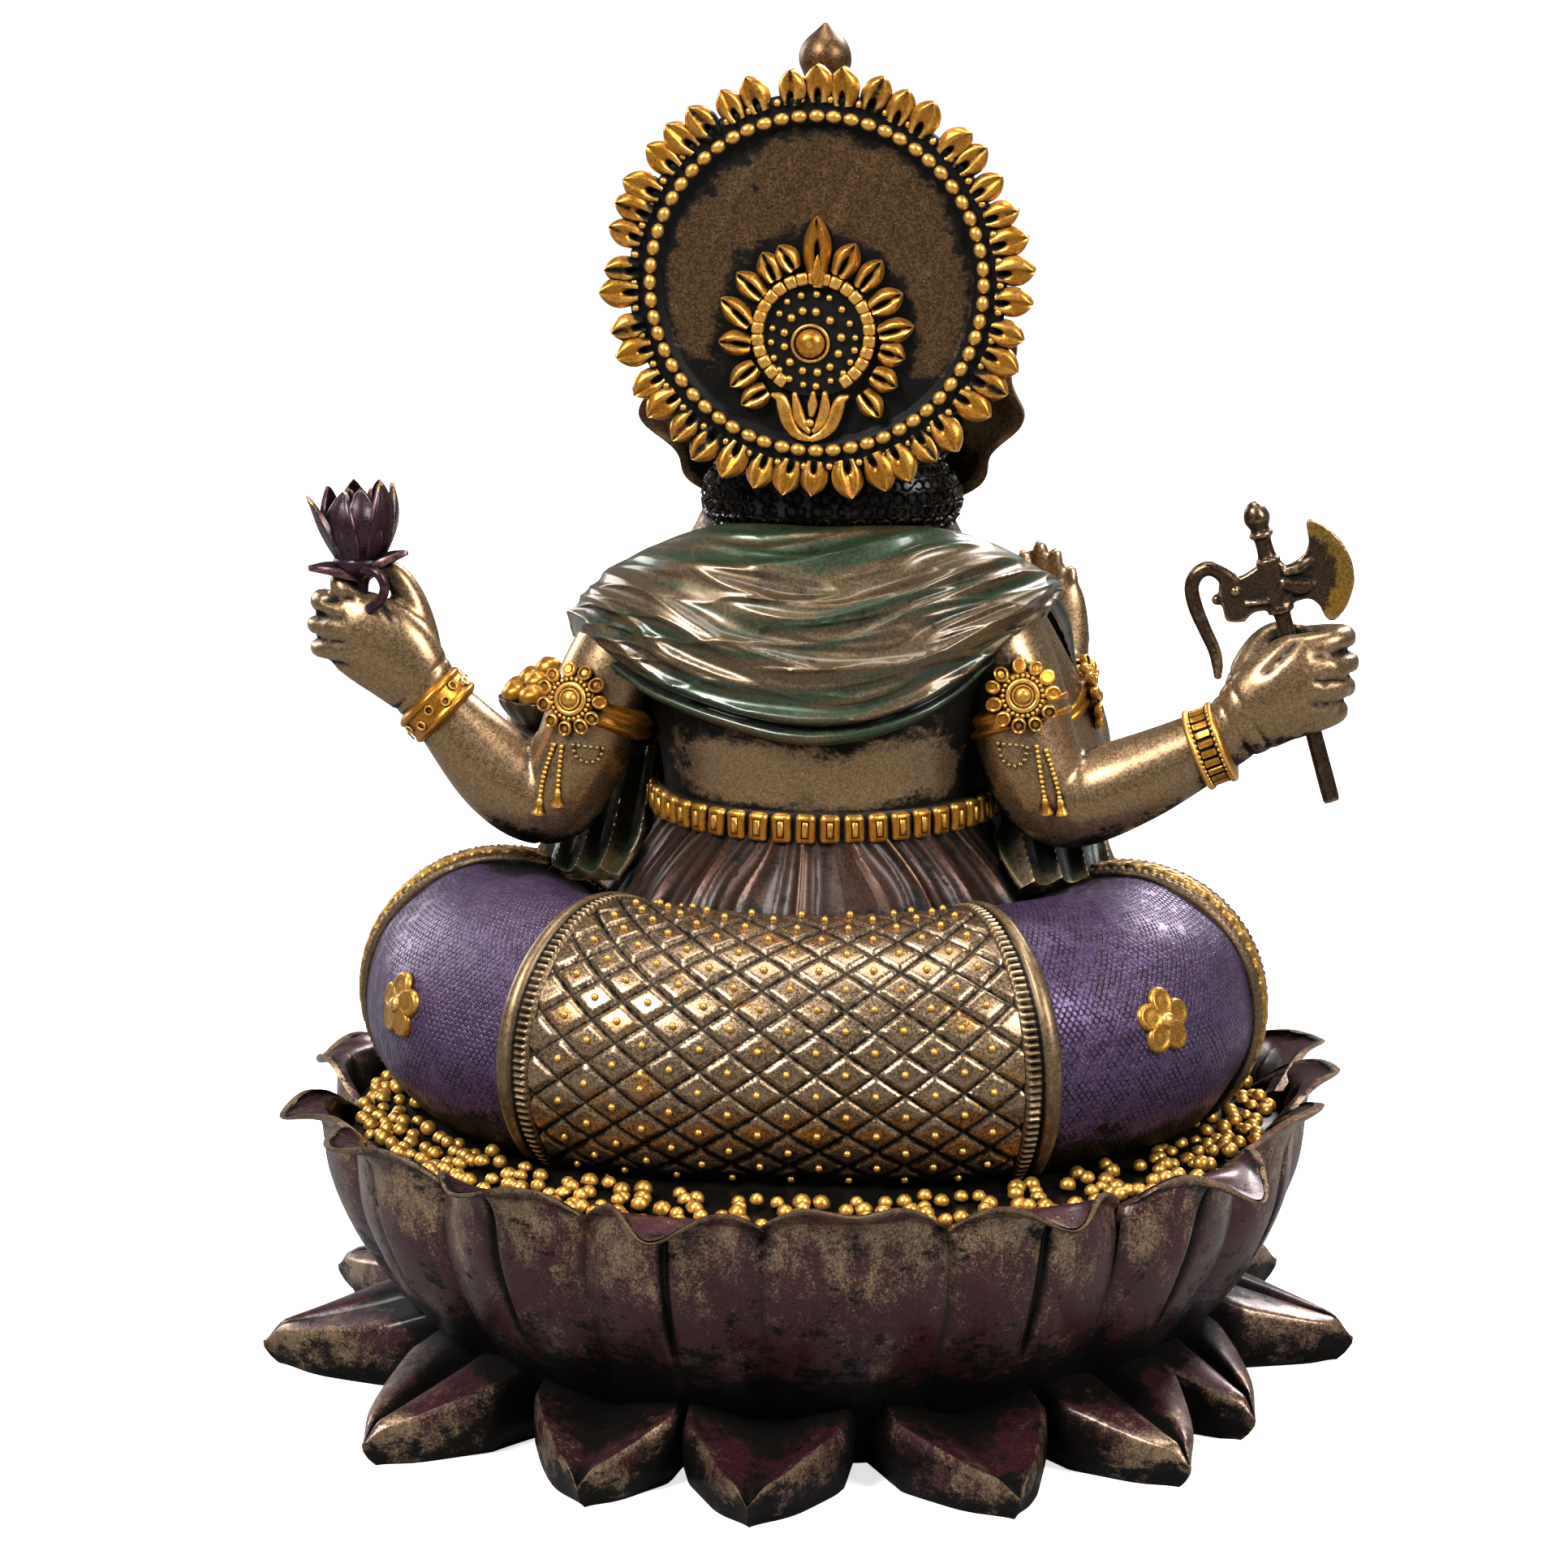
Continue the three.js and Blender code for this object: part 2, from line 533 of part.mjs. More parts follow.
// A ring of points that go from tip to valley and back, each given by its reach and height
function starRing(x, y, z, tips, [tipReach, tipHeight, valleyReach, valleyHeight]) {
  const ring = [];
  for (let i = 0; i < 2 * tips; i++) {
    const turn = (Math.PI * (i + 0.6)) / tips;
    const [reach, height] = i % 2 ? [valleyReach, valleyHeight] : [tipReach, tipHeight];
    ring.push(new THREE.Vector3(x + reach * Math.cos(turn), y + reach * Math.sin(turn), z + height));
  }
  return ring;
}

// A lotus bud on a short stem: a cup of pointed petals, and two leaves that lie open below it
function bud() {
  const { x, y, z, petals, stations, leafReach } = BUD;
  const rings = stations.map((station) => starRing(x, y, z, petals, station));
  const leaf = (way, rise) => limb([
    [x + way, y, z - 0.4, 1.6, 0.8],
    [x + 5 * way, y, z + 0.3 * rise, 1.8, 0.7],
    [x + leafReach * way, y, z + rise, 0.5, 0.4],
  ], { sides: 4, across: Y_AXIS, endShare: 0.2 });
  return joined([loft(rings), leaf(1, -0.8), leaf(-1, 2.8)]);
}

// An ear: a waved fan that bends back from the side of the head
function ear(side) {
  const outline = new THREE.SplineCurve(EAR_OUTLINE.map(([x, z]) => new THREE.Vector2(x, z)));
  const shape = new THREE.Shape(outline.getPoints(12));
  const fan = new THREE.ExtrudeGeometry(shape, { depth: EAR_THICKNESS, bevelEnabled: false });
  const corners = fan.getAttribute('position');
  for (let i = 0; i < corners.count; i++) {
    const [x, z, depth] = [corners.getX(i), corners.getY(i), corners.getZ(i)];
    const backward = -5 + 0.028 * (x - EAR_OUTLINE[0][0]) ** 2 + depth;
    corners.setXYZ(i, EAR_MIDDLE_X + side * x, backward, z);
  }
  return solidOf(fan);
}

// The skull, the hair at the neck, twin domes of the forehead, tusks, ears, trunk, crown and finial
function head() {
  const solids = [ellipsoid([HEAD_X, -7, 146], [18, 18, 17], 10, 6), ellipsoid([-3, 6, 131], [18, 9.5, 7], 8, 4)];
  const tuskRoot = TUSK[0][1];
  for (const side of [1, -1]) {
    solids.push(ellipsoid([HEAD_X + 6 * side, -16, 154], [7, 8, 7], 7, 4));
    const share = side > 0 ? 1 : BROKEN_TUSK_SHARE;
    const tusk = TUSK.map(([x, y, z, w, t]) => [HEAD_X + side * x, lerp(tuskRoot, y, share), z, w, t]);
    solids.push(limb(tusk, { sides: 6 }), ear(side));
  }
  solids.push(limb(TRUNK), turned(CROWN_PROFILE, 10, BODY_X, CROWN_Y));
  const finialTop = FIGURE_TOP - FINIAL_PROFILE[FINIAL_PROFILE.length - 1][1];
  solids.push(turned(FINIAL_PROFILE, 8, BODY_X, CROWN_Y, finialTop));
  return joined(solids);
}

// A plate that faces +Y, with a rim of pointed leaves. Each of its rings holds the reach and depth on the
// leaves' middles, then the reach and depth in the valleys between them.
function leafPlate({ x, y, z, leaves, rings, frontDepth }) {
  const loops = rings.map(([tipReach, tipDepth, valleyReach, valleyDepth]) => {
    const loop = [];
    for (let i = 0; i < 2 * leaves; i++) {
      const turn = (Math.PI * i) / leaves + Math.PI / 2;
      const [reach, depth] = i % 2 ? [valleyReach, valleyDepth] : [tipReach, tipDepth];
      loop.push(new THREE.Vector3(x + reach * Math.cos(turn), y + depth, z + reach * Math.sin(turn)));
    }
    return loop;
  });
  return loft(loops, undefined, new THREE.Vector3(x, y + frontDepth, z));
}

// The flower on the disc: a ring of leaves with a longer one on top, and an opened bud below
function medallion() {
  const { x, y, z, topLeaf, budFoot, budOutline, budDepth } = MEDALLION;
  const outline = budOutline.map(([across, up]) => new THREE.Vector2(x + across, budFoot + up));
  const flower = new THREE.ExtrudeGeometry(new THREE.Shape(outline), { depth: budDepth, bevelEnabled: false });
  flower.rotateX(Math.PI / 2);
  flower.translate(0, y + 1.4, 0);
  const topStations = topLeaf.map(([up, w, t]) => [x, y, z + up, w, t]);
  return joined([leafPlate(MEDALLION), limb(topStations, { sides: 4, endShare: 0.3 }), solidOf(flower)]);
}

// A round clasp of petals that faces along `way`
function rosette(place, way, radius) {
  return turnedAlong([[radius, 0], [radius, 1.2]], 8, point(place), point(way), 1.4);
}

// A bracelet round a wrist that points along `way`
function bracelet(place, way, radius, length) {
  const along = point(way).normalize();
  const from = point(place).addScaledVector(along, -length / 2);
  return turnedAlong([[radius, 0], [radius, length]], 8, from, along);
}

function jewels() {
  return joined([
    rosette([31.8, 14.5, 103.4], [0.15, 1, 0.1], 6.2),
    rosette([-31.6, 14.5, 103], [-0.15, 1, 0.1], 6.2),
    rosette([-38, -21, 100.5], [-1, 0.35, 0], 4.6),
    bracelet([54.6, 9, 100.5], [0.72, 0, 0.69], 5.9, 4),
    bracelet([-58.6, 9, 96.6], [-0.93, 0, 0.37], 6.1, 5.4),
    bracelet([-35.2, -27, 100.6], [0.15, -0.4, 0.9], 5.1, 3.6),
    bracelet([41.2, -28, 86.8], [0.5, -0.86, 0.05], 5.2, 3.6),
  ]);
}

// A flat plate with an outline in X and Z, centred on the axe's plane
function plate(outline, thickness) {
  const shape = new THREE.Shape(outline.map(([x, z]) => new THREE.Vector2(x, z)));
  const slab = new THREE.ExtrudeGeometry(shape, { depth: thickness, bevelEnabled: false });
  slab.rotateX(Math.PI / 2);
  slab.translate(0, AXE_TOP[1] + thickness / 2, 0);
  return solidOf(slab);
}

// The room for the axe's shaft in the fist: a bore that opens above and below it
function shaftRoom() {
  const [top, bottom] = [point(AXE_TOP), point(AXE_BOTTOM)];
  const way = top.clone().sub(bottom);
  const radius = SHAFT_RADIUS + SHAFT_CLEARANCE;
  return turnedAlong([[radius, 2], [radius, way.length() - 12]], 12, bottom, way);
}

function axe() {
  const [top, bottom] = [point(AXE_TOP), point(AXE_BOTTOM)];
  const way = top.clone().sub(bottom);
  const length = way.length();
  const shaft = [
    [SHAFT_RADIUS, 0], [SHAFT_RADIUS, length - 5.6], [1.8, length - 5.2], [1.8, length - 4.4],
    [1.3, length - 4], [1.8, length - 2.6],
  ];
  const blade = [
    [-68, 123], [-69.4, 123.3], [-71.4, 124.7], [-71.8, 129.3], [-74.4, 128.6], [-76.8, 126.9], [-78.8, 123.4],
    [-78.9, 120.7], [-77.7, 117.6], [-76, 115.6], [-74.6, 116.2], [-73.9, 117.4], [-72.1, 118.4], [-70.2, 117.9],
    [-68, 118],
  ];
  const hub = [
    [-64.4, 122.5], [-66.4, 123.8], [-68.4, 123.4], [-70, 117.8], [-68, 116.4], [-66.2, 116.4], [-63.7, 115.9],
    [-63.2, 115], [-60.5, 115], [-59.6, 118], [-59.5, 120], [-60.8, 121.4],
  ];
  const hook = [
    [-61, 120.7, 1.2], [-59.4, 122.2, 1.1], [-57.6, 122.5, 1.1], [-55.9, 121.5, 1.1], [-55.5, 119.5, 1.1],
    [-56.4, 116.6, 1.1], [-57.7, 113.6, 1], [-59.3, 110.6, 0.9], [-59.5, 107, 0.6],
  ].map(([x, z, r]) => [x, AXE_TOP[1], z, r]);
  return joined([
    turnedAlong(shaft, 8, bottom, way, 2.6),
    plate(blade, BLADE_THICKNESS),
    plate(hub, HUB_THICKNESS),
    limb(hook.map(([x, y, z, r]) => [x, y, z, r, r]), { sides: 6, across: Y_AXIS }),
  ]);
}

function figure() {
  return joined([
    legs(), foot([22, -48, 44], [38, -43, 46]), foot([-18, -45, 42.5], [-34, -43, 42.5]),
    torso(), skirt(), belt(), shawl(), shawlEnds(),
    rearLeftArm(), rearRightArm(), frontRightArm(), frontLeftArm(), bud(),
    head(), leafPlate(DISC), medallion(), jewels(),
  ]);
}

const bronze = new THREE.MeshStandardMaterial({ color: 0x6b5138, roughness: 0.45, metalness: 0.6 });
const darkBronze = new THREE.MeshStandardMaterial({ color: 0x3a2e24, roughness: 0.5, metalness: 0.6 });

const figurine = new THREE.Mesh(geometryOf(joined([lotus(), figure()]).subtract(shaftRoom())), bronze);
figurine.name = 'ganesha_on_lotus';

const axeMesh = new THREE.Mesh(geometryOf(axe()), darkBronze);
axeMesh.name = 'axe';

const group = new THREE.Group();
group.add(figurine, axeMesh);

export default group;
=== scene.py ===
"""A cast ganesha figurine on a double lotus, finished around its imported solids.

The figure faces -Y and its own left is +X. Lengths in the code are millimetres, and MM turns them into metres.
"""
import math

import bpy
import numpy as np
from bpy.props import FloatProperty, FloatVectorProperty, IntProperty, PointerProperty
from mathutils import Matrix, Vector


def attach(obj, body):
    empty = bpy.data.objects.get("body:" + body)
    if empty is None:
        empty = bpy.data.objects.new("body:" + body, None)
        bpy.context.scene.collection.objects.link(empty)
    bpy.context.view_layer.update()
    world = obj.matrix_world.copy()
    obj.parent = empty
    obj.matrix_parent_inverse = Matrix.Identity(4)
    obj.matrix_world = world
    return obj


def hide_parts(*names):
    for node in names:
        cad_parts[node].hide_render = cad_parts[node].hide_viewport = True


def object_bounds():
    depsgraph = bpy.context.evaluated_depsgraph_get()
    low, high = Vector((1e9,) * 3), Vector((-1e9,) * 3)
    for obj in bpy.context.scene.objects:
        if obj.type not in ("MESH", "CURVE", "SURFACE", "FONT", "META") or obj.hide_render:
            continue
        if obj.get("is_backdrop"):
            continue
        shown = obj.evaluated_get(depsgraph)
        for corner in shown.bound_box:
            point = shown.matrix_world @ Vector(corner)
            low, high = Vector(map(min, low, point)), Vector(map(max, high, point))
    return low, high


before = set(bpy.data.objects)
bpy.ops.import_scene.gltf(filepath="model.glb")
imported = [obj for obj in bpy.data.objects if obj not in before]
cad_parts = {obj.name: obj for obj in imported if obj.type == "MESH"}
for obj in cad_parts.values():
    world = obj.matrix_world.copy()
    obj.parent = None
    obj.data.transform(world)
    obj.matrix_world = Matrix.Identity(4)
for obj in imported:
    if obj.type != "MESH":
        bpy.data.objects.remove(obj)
CAD_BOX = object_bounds()

bl_info = {
    "name": "Ganesha figurine",
    "version": (1, 0, 0),
    "blender": (4, 5, 0),
    "location": "View3D > Sidebar > Figurine",
    "description": "Models and paints a cast ganesha figurine on a lotus around its packed solids",
    "category": "Add Mesh",
}

MM = 0.001
FIGURE = "ganesha_on_lotus"
BODY_X = -1.8
X_AXIS = (1.0, 0.0, 0.0)
Y_AXIS = (0.0, 1.0, 0.0)
Z_AXIS = (0.0, 0.0, 1.0)

# The same driving points as the solids have
GROUND_PETAL_TIPS = [
    (-0.8, 80.8), (0.4, 81.7), (-5.6, 82), (-14.7, 76), (-9, 81.4), (-5.5, 82.5), (-5, 82),
    (-3, 81.5), (-2, 82), (-4, 82), (-6, 82.4), (-3.5, 83), (7.1, 83.5), (6.9, 79),
]
RISING_PETAL_TIPS = [
    (-0.7, 80.5, 44.8), (0.6, 80.5, 40.6), (3.9, 81.5, 38.8), (0, 79.2, 46.6), (0, 78.8, 44.7), (-7, 80.5, 44.2),
    (2, 80, 44), (-3, 80.5, 43), (4, 81, 42), (1, 80, 45), (-4, 80.6, 43), (2, 80.4, 44),
    (-3, 78.5, 41), (3, 80.5, 42), (-0.5, 81, 43.8), (-0.6, 81.3, 43.4), (0.3, 81.6, 40.6),
]
FIRST_RISING_PETAL = 100.5
HALF_ROLL = [
    (0, 33.4, 55.6, 19.6, 20.8), (24, 30.4, 56, 19.8, 20.8), (42, 17, 56.6, 19.8, 20.2),
    (46.6, -3, 57, 19.8, 20), (43, -22, 54, 17.5, 17.5),
]
ROLL = [(-x, *rest) for x, *rest in reversed(HALF_ROLL[1:])] + HALF_ROLL
TORSO = [
    (36, 33, 30, -32), (70, 30.5, 30, -39), (84, 24.6, 25.6, -43.5), (93, 24.4, 24.6, -42.5), (101, 27, 25, -37),
    (109, 30, 23, -28), (117, 28, 18, -20), (124, 21, 14, -15), (134, 16, 11.5, -12),
]
SHAWL_NECK = [
    (33, -6, 112), (27.5, 2, 121), (14, 12, 128.4), (-3, 15.5, 129.2), (-20, 12, 128.6), (-31, 3, 123), (-35.0, -4.6, 117.6),
]
SHAWL_MIDDLE = [
    (36, -4, 109.5), (33, 9, 115), (19.5, 21.3, 117), (-2, 25.4, 115.5), (-20.5, 21.3, 117.5), (-32.5, 9, 118),
    (-35.4, -2.6, 117.2),
]
SHAWL_HEM = [
    (35.6, -4, 106.5), (30.5, 9.5, 108.6), (18.4, 21.0, 103.5), (-2, 28.0, 99.8), (-17.5, 23.6, 103.0),
    (-28.2, 10, 110.4), (-34.6, -2.6, 115.2),
]


def linear(hex_colour):
    """A colour that is given as on a screen, as Blender's linear colour."""
    parts = [int(hex_colour[i:i + 2], 16) / 255 for i in (1, 3, 5)]
    return tuple(c / 12.92 if c <= 0.04045 else ((c + 0.055) / 1.055) ** 2.4 for c in parts)


def colour_property(name, description, hex_colour):
    return FloatVectorProperty(
        name=name, description=description, subtype="COLOR", size=3, min=0, max=1, default=linear(hex_colour))


class FigurineSizes(bpy.types.PropertyGroup):
    """Sizes of the figurine that a user would change."""
    seat_bead: FloatProperty(name="Seat bead", description="Radius of the gold beads on the seat",
                             default=1.45 * MM, unit="LENGTH")
    belt_links: IntProperty(name="Belt links", description="Links round the whole waist", default=56, min=12)
    disc_leaves: IntProperty(name="Disc leaves", description="Leaves round the head disc", default=42, min=12)
    disc_beads: IntProperty(name="Disc beads", description="Beads round the head disc", default=60, min=12)
    diamond_width: FloatProperty(name="Diamond width", description="Width of the lattice's diamonds",
                                 default=8.3 * MM, unit="LENGTH")
    diamond_height: FloatProperty(name="Diamond height", description="Height of the lattice's diamonds",
                                  default=6.1 * MM, unit="LENGTH")


class FigurineColours(bpy.types.PropertyGroup):
    """Colours of the figurine's paints."""
    bronze: colour_property("Bronze", "Bare cast bronze of the skin", "#8a6f50")
    gold: colour_property("Gold", "Gold paint on the jewellery", "#a86f20")
    plum: colour_property("Plum", "Lotus petals", "#3d1a20")
    violet: colour_property("Violet", "Wrapped cloth of the legs", "#493455")
    green: colour_property("Green", "Shawl's hollows", "#26361f")
    copper: colour_property("Copper", "Pleated skirt", "#3c2419")
    # The wax colour is also the colour of the painted shade
    wax: colour_property("Wax", "Dark wax that is left in the hollows", "#090705")
    floor: colour_property("Floor", "Pale floor", "#f4f4f4")


# Points and faces

def unit(vectors):
    vectors = np.asarray(vectors, float)
    return vectors / np.maximum(np.linalg.norm(vectors, axis=-1, keepdims=True), 1e-9)


def spline(points, shares):
    """Points at shares (0 to 1) of a smooth curve through rows of numbers."""
    points = np.asarray(points, float)
    if points.ndim == 1:
        return spline(points[:, None], shares)[:, 0]
    at = np.clip(np.atleast_1d(np.asarray(shares, float)), 0, 1) * (len(points) - 1)
    first = np.minimum(at.astype(int), len(points) - 2)
    f = (at - first)[:, None]
    padded = np.vstack([2 * points[0] - points[1], points, 2 * points[-1] - points[-2]])
    a, b, c, d = (padded[first + k] for k in range(4))
    return 0.5 * (2 * b + (c - a) * f + (2 * a - 5 * b + 4 * c - d) * f ** 2 + (3 * b - a - 3 * c + d) * f ** 3)


def smooth_step(low, high, values):
    share = np.clip((values - low) / (high - low), 0, 1)
    return share * share * (3 - 2 * share)


def scatter(*numbers):
    """A repeatable number from 0 to 1 for each row of whole numbers."""
    mixed = sum(np.asarray(n, float) * k for n, k in zip(numbers, (12.9898, 78.233, 37.719)))
    return np.abs(np.sin(mixed) * 43758.5453) % 1


def wobble(points, size, seed=0):
    """Smooth repeatable waves from -1 to 1 at points, with features about `size` long."""
    points = np.asarray(points, float) / size
    total = np.zeros(points.shape[:-1])
    for k in range(5):
        way = unit(np.array([scatter(k, seed, 1) - 0.5, scatter(k, seed, 2) - 0.5, scatter(k, seed, 3) - 0.5]))
        total += np.sin(2.6 * (points @ way) * (1 + 0.37 * k) + 6.28 * scatter(k, seed, 4))
    return total / 3


def grid_faces(rows, columns, closed=False):
    """Quads over rows of points. `closed` joins each row's end to its start."""
    span = columns if closed else columns - 1
    row, column = np.meshgrid(np.arange(rows - 1), np.arange(span), indexing="ij")
    a = row * columns + column
    b = row * columns + (column + 1) % columns
    return np.stack([a, b, b + columns, a + columns], -1).reshape(-1, 4)


def outward(points, faces):
    """The same body with its faces turned outward."""
    points = np.asarray(points, float)
    fan = np.array([(f[0], f[k], f[k + 1]) for f in faces for k in range(1, len(f) - 1)])
    a, b, c = (points[fan[:, k]] - points.mean(0) for k in range(3))
    if (np.cross(a, b) * c).sum() < 0:
        faces = [list(f)[::-1] for f in faces]
    return points, faces


def closed_tube(rings, first_tip=None, last_tip=None):
    """A closed body over rings of points (rings x around x 3), with a fan on each end."""
    rings = np.asarray(rings, float)
    count, around = rings.shape[:2]
    tips = [rings[0].mean(0) if first_tip is None else first_tip, rings[-1].mean(0) if last_tip is None else last_tip]
    points = np.vstack([rings.reshape(-1, 3), tips])
    faces = grid_faces(count, around, closed=True).tolist()
    first, last = count * around, count * around + 1
    start = (count - 1) * around
    for j in range(around):
        following = (j + 1) % around
        faces.append([following, j, first])
        faces.append([start + j, start + following, last])
    return outward(points, faces)


def shell(outer, inner):
    """A closed body between two grids of points of the same size, joined round their rim."""
    rows, columns = outer.shape[:2]
    points = np.vstack([outer.reshape(-1, 3), inner.reshape(-1, 3)])
    front = grid_faces(rows, columns)
    faces = front.tolist() + (front[:, ::-1] + rows * columns).tolist()
    rim = list(range(columns - 1))
    rim += [i * columns + columns - 1 for i in range(rows - 1)]
    rim += [(rows - 1) * columns + j for j in range(columns - 1, 0, -1)]
    rim += [i * columns for i in range(rows - 1, 0, -1)]
    for i, corner in enumerate(rim):
        following = rim[(i + 1) % len(rim)]
        faces.append([following, corner, corner + rows * columns, following + rows * columns])
    return outward(points, faces)


def merged(shapes):
    """Several shapes (points, faces) as one."""
    points, faces, start = [], [], 0
    for some_points, some_faces in shapes:
        points.append(some_points)
        faces.extend([[i + start for i in face] for face in some_faces])
        start += len(some_points)
    return np.vstack(points), faces


def path_frames(centres, across):
    """Unit vectors along a path, and across it both ways."""
    along = unit(np.gradient(centres, axis=0))
    across = np.asarray(across, float)
    wide = unit(across - (along @ across)[:, None] * along)
    return along, wide, np.cross(along, wide)


def limb(stations, sides=28, steps=8, across=X_AXIS, cap=0.6, swell=None):
    """A limb of oval section with rounded ends, through stations (x, y, z, half width, half thickness)."""
    shares = np.linspace(0, 1, (len(stations) - 1) * steps + 1)
    data = spline(stations, shares)
    centres, sizes = data[:, :3], np.maximum(data[:, 3:5], 0.05)
    if swell is not None:
        sizes = sizes * swell(shares)[:, None]
    along, wide, thick = path_frames(centres, across)
    for way, end in ((-1, 0), (1, -1)):
        turns = np.linspace(0, math.pi / 2, 6)[1:-1]
        reach = way * np.sin(turns)[:, None] * cap * sizes[end].mean() * along[end] + centres[end]
        shrunk = np.cos(turns)[:, None] * sizes[end]
        more = [reach, shrunk, np.repeat(wide[end][None], 4, 0), np.repeat(thick[end][None], 4, 0)]
        if way < 0:
            more = [m[::-1] for m in more]
            tip_first = centres[0] - cap * sizes[0].mean() * along[0]
            new = [np.vstack([m, old]) for m, old in zip(more, (centres, sizes, wide, thick))]
            after = new
        else:
            tip_last = centres[-1] + cap * sizes[-1].mean() * along[-1]
            new = [np.vstack([old, m]) for m, old in zip(more, after)]
    centres, sizes, wide, thick = new
    turn = 2 * math.pi * np.arange(sides) / sides
    rings = centres[:, None] + wide[:, None] * (sizes[:, :1] * np.cos(turn))[..., None]
    rings = rings + thick[:, None] * (sizes[:, 1:] * np.sin(turn))[..., None]
    return closed_tube(rings, tip_first, tip_last)


def finger(stations, sides=16):
    return limb([(x, y, z, r, r) for x, y, z, r in stations], sides=sides, steps=6, cap=0.95)


def string_along(points, radius, sides=8, closed=False):
    """A round cord through points."""
    points = np.asarray(points, float)
    if closed:
        points = np.vstack([points, points[:1]])
    across = Z_AXIS if abs(np.ptp(points[:, 2])) < np.ptp(points, axis=0).max() / 2 else X_AXIS
    return limb([(*p, radius, radius) for p in points], sides=sides, steps=1, across=across, cap=0.5)


def ball(centre, half, around=32, up=20):
    """An ellipsoid with its poles up and down."""
    rise = np.linspace(-math.pi / 2, math.pi / 2, up + 1)[1:-1]
    turn = 2 * math.pi * np.arange(around) / around
    rings = np.stack([
        np.cos(rise)[:, None] * np.cos(turn), np.cos(rise)[:, None] * np.sin(turn),
        np.sin(rise)[:, None] * np.ones(around)], -1)
    rings = rings * np.asarray(half, float) + np.asarray(centre, float)
    return closed_tube(rings, np.array(centre) - (0, 0, half[2]), np.array(centre) + (0, 0, half[2]))


def turned(profile, sides, centre=(0, 0, 0), way=Z_AXIS, detail=None):
    """A body turned about an axis from (radius, distance) points. `detail` adds to the radius, given the
    rows' distances and the columns' angles."""
    profile = np.asarray(profile, float)
    turn = 2 * math.pi * np.arange(sides) / sides
    radius = np.repeat(profile[:, :1], sides, 1)
    if detail is not None:
        radius = radius + detail(profile[:, 1:], turn[None])
    rings = np.stack([radius * np.cos(turn), radius * np.sin(turn), np.repeat(profile[:, 1:], sides, 1)], -1)
    points, faces = closed_tube(rings, (0, 0, profile[0, 1]), (0, 0, profile[-1, 1]))
    return points @ facing(way).T + np.asarray(centre, float), faces


def rounded(profile, steps=5):
    """A smoother profile through the same points."""
    return spline(profile, np.linspace(0, 1, (len(profile) - 1) * steps + 1))


def facing(way, upright=Z_AXIS):
    """The turn that takes +Z to `way`, with +Y as near to `upright` as it goes."""
    way = unit(way)
    upright = np.asarray(upright, float)
    if abs(way @ upright) > 0.95:
        upright = np.array(Y_AXIS)
    right = unit(np.cross(upright, way))
    return np.stack([right, np.cross(way, right), way], 1)


def copies(shape, places):
    """One shape at many places (centre, 3x3 turn, scale)."""
    points, faces = shape
    made = [(points * np.asarray(scale) @ turn.T + np.asarray(centre, float), faces) for centre, turn, scale in places]
    return merged(made)


# Objects

def deselect():
    for chosen in list(bpy.context.selected_objects):
        chosen.select_set(False)


def activate(piece):
    deselect()
    piece.select_set(True)
    bpy.context.view_layer.objects.active = piece


def object_of(name, shape):
    points, faces = shape
    mesh = bpy.data.meshes.new(name)
    mesh.from_pydata((np.asarray(points) * MM).tolist(), [], [list(map(int, f)) for f in faces])
    mesh.update()
    made = bpy.data.objects.new(name, mesh)
    bpy.context.scene.collection.objects.link(made)
    return made


def apply_modifier(piece, kind, **settings):
    activate(piece)
    modifier = piece.modifiers.new(kind.lower(), kind)
    for key, value in settings.items():
        setattr(modifier, key, value)
    bpy.ops.object.modifier_apply(modifier=modifier.name)


def points_of(piece):
    points = np.empty(len(piece.data.vertices) * 3, np.float32)
    piece.data.vertices.foreach_get("co", points)
    return points.reshape(-1, 3).astype(float) / MM


def set_points(piece, points):
    piece.data.vertices.foreach_set("co", (np.asarray(points) * MM).astype(np.float32).ravel())
    piece.data.update()


def normals_of(piece):
    normals = np.empty(len(piece.data.vertices) * 3, np.float32)
    piece.data.vertices.foreach_get("normal", normals)
    return normals.reshape(-1, 3).astype(float)


def set_mask(piece, name, values):
    layer = piece.data.attributes.get(name) or piece.data.attributes.new(name, "FLOAT", "POINT")
    layer.data.foreach_set("value", np.asarray(values, np.float32).ravel())


def edge_table(piece):
    edges = np.empty(len(piece.data.edges) * 2, np.int32)
    piece.data.edges.foreach_get("vertices", edges)
    return edges.reshape(-1, 2)


def neighbour_mean(values, edges, count):
    total = np.zeros((count,) + values.shape[1:])
    np.add.at(total, edges[:, 0], values[edges[:, 1]])
    np.add.at(total, edges[:, 1], values[edges[:, 0]])
    number = np.bincount(edges.ravel(), minlength=count).clip(1)
    return total / (number if values.ndim == 1 else number[:, None])


def measure_edges(piece, rounds=2):
    """Writes the mask `edge`: 0.5 where the surface is flat, more on ridges, less in hollows."""
    points, normals, edges = points_of(piece), normals_of(piece), edge_table(piece)
    count = len(points)
    lengths = np.linalg.norm(points[edges[:, 0]] - points[edges[:, 1]], axis=1)
    spacing = neighbour_mean_of_edges(lengths, edges, count)
    lift = ((points - neighbour_mean(points, edges, count)) * normals).sum(1)
    bend = 2 * lift / np.maximum(spacing, 0.02) ** 2
    bend = np.clip(bend, -2, 2)
    for _ in range(rounds):
        bend = 0.5 * bend + 0.5 * neighbour_mean(bend, edges, count)
    set_mask(piece, "edge", np.clip(0.5 + 0.5 * bend, 0, 1))


def neighbour_mean_of_edges(lengths, edges, count):
    total = np.bincount(edges[:, 0], lengths, count) + np.bincount(edges[:, 1], lengths, count)
    return total / np.bincount(edges.ravel(), minlength=count).clip(1)


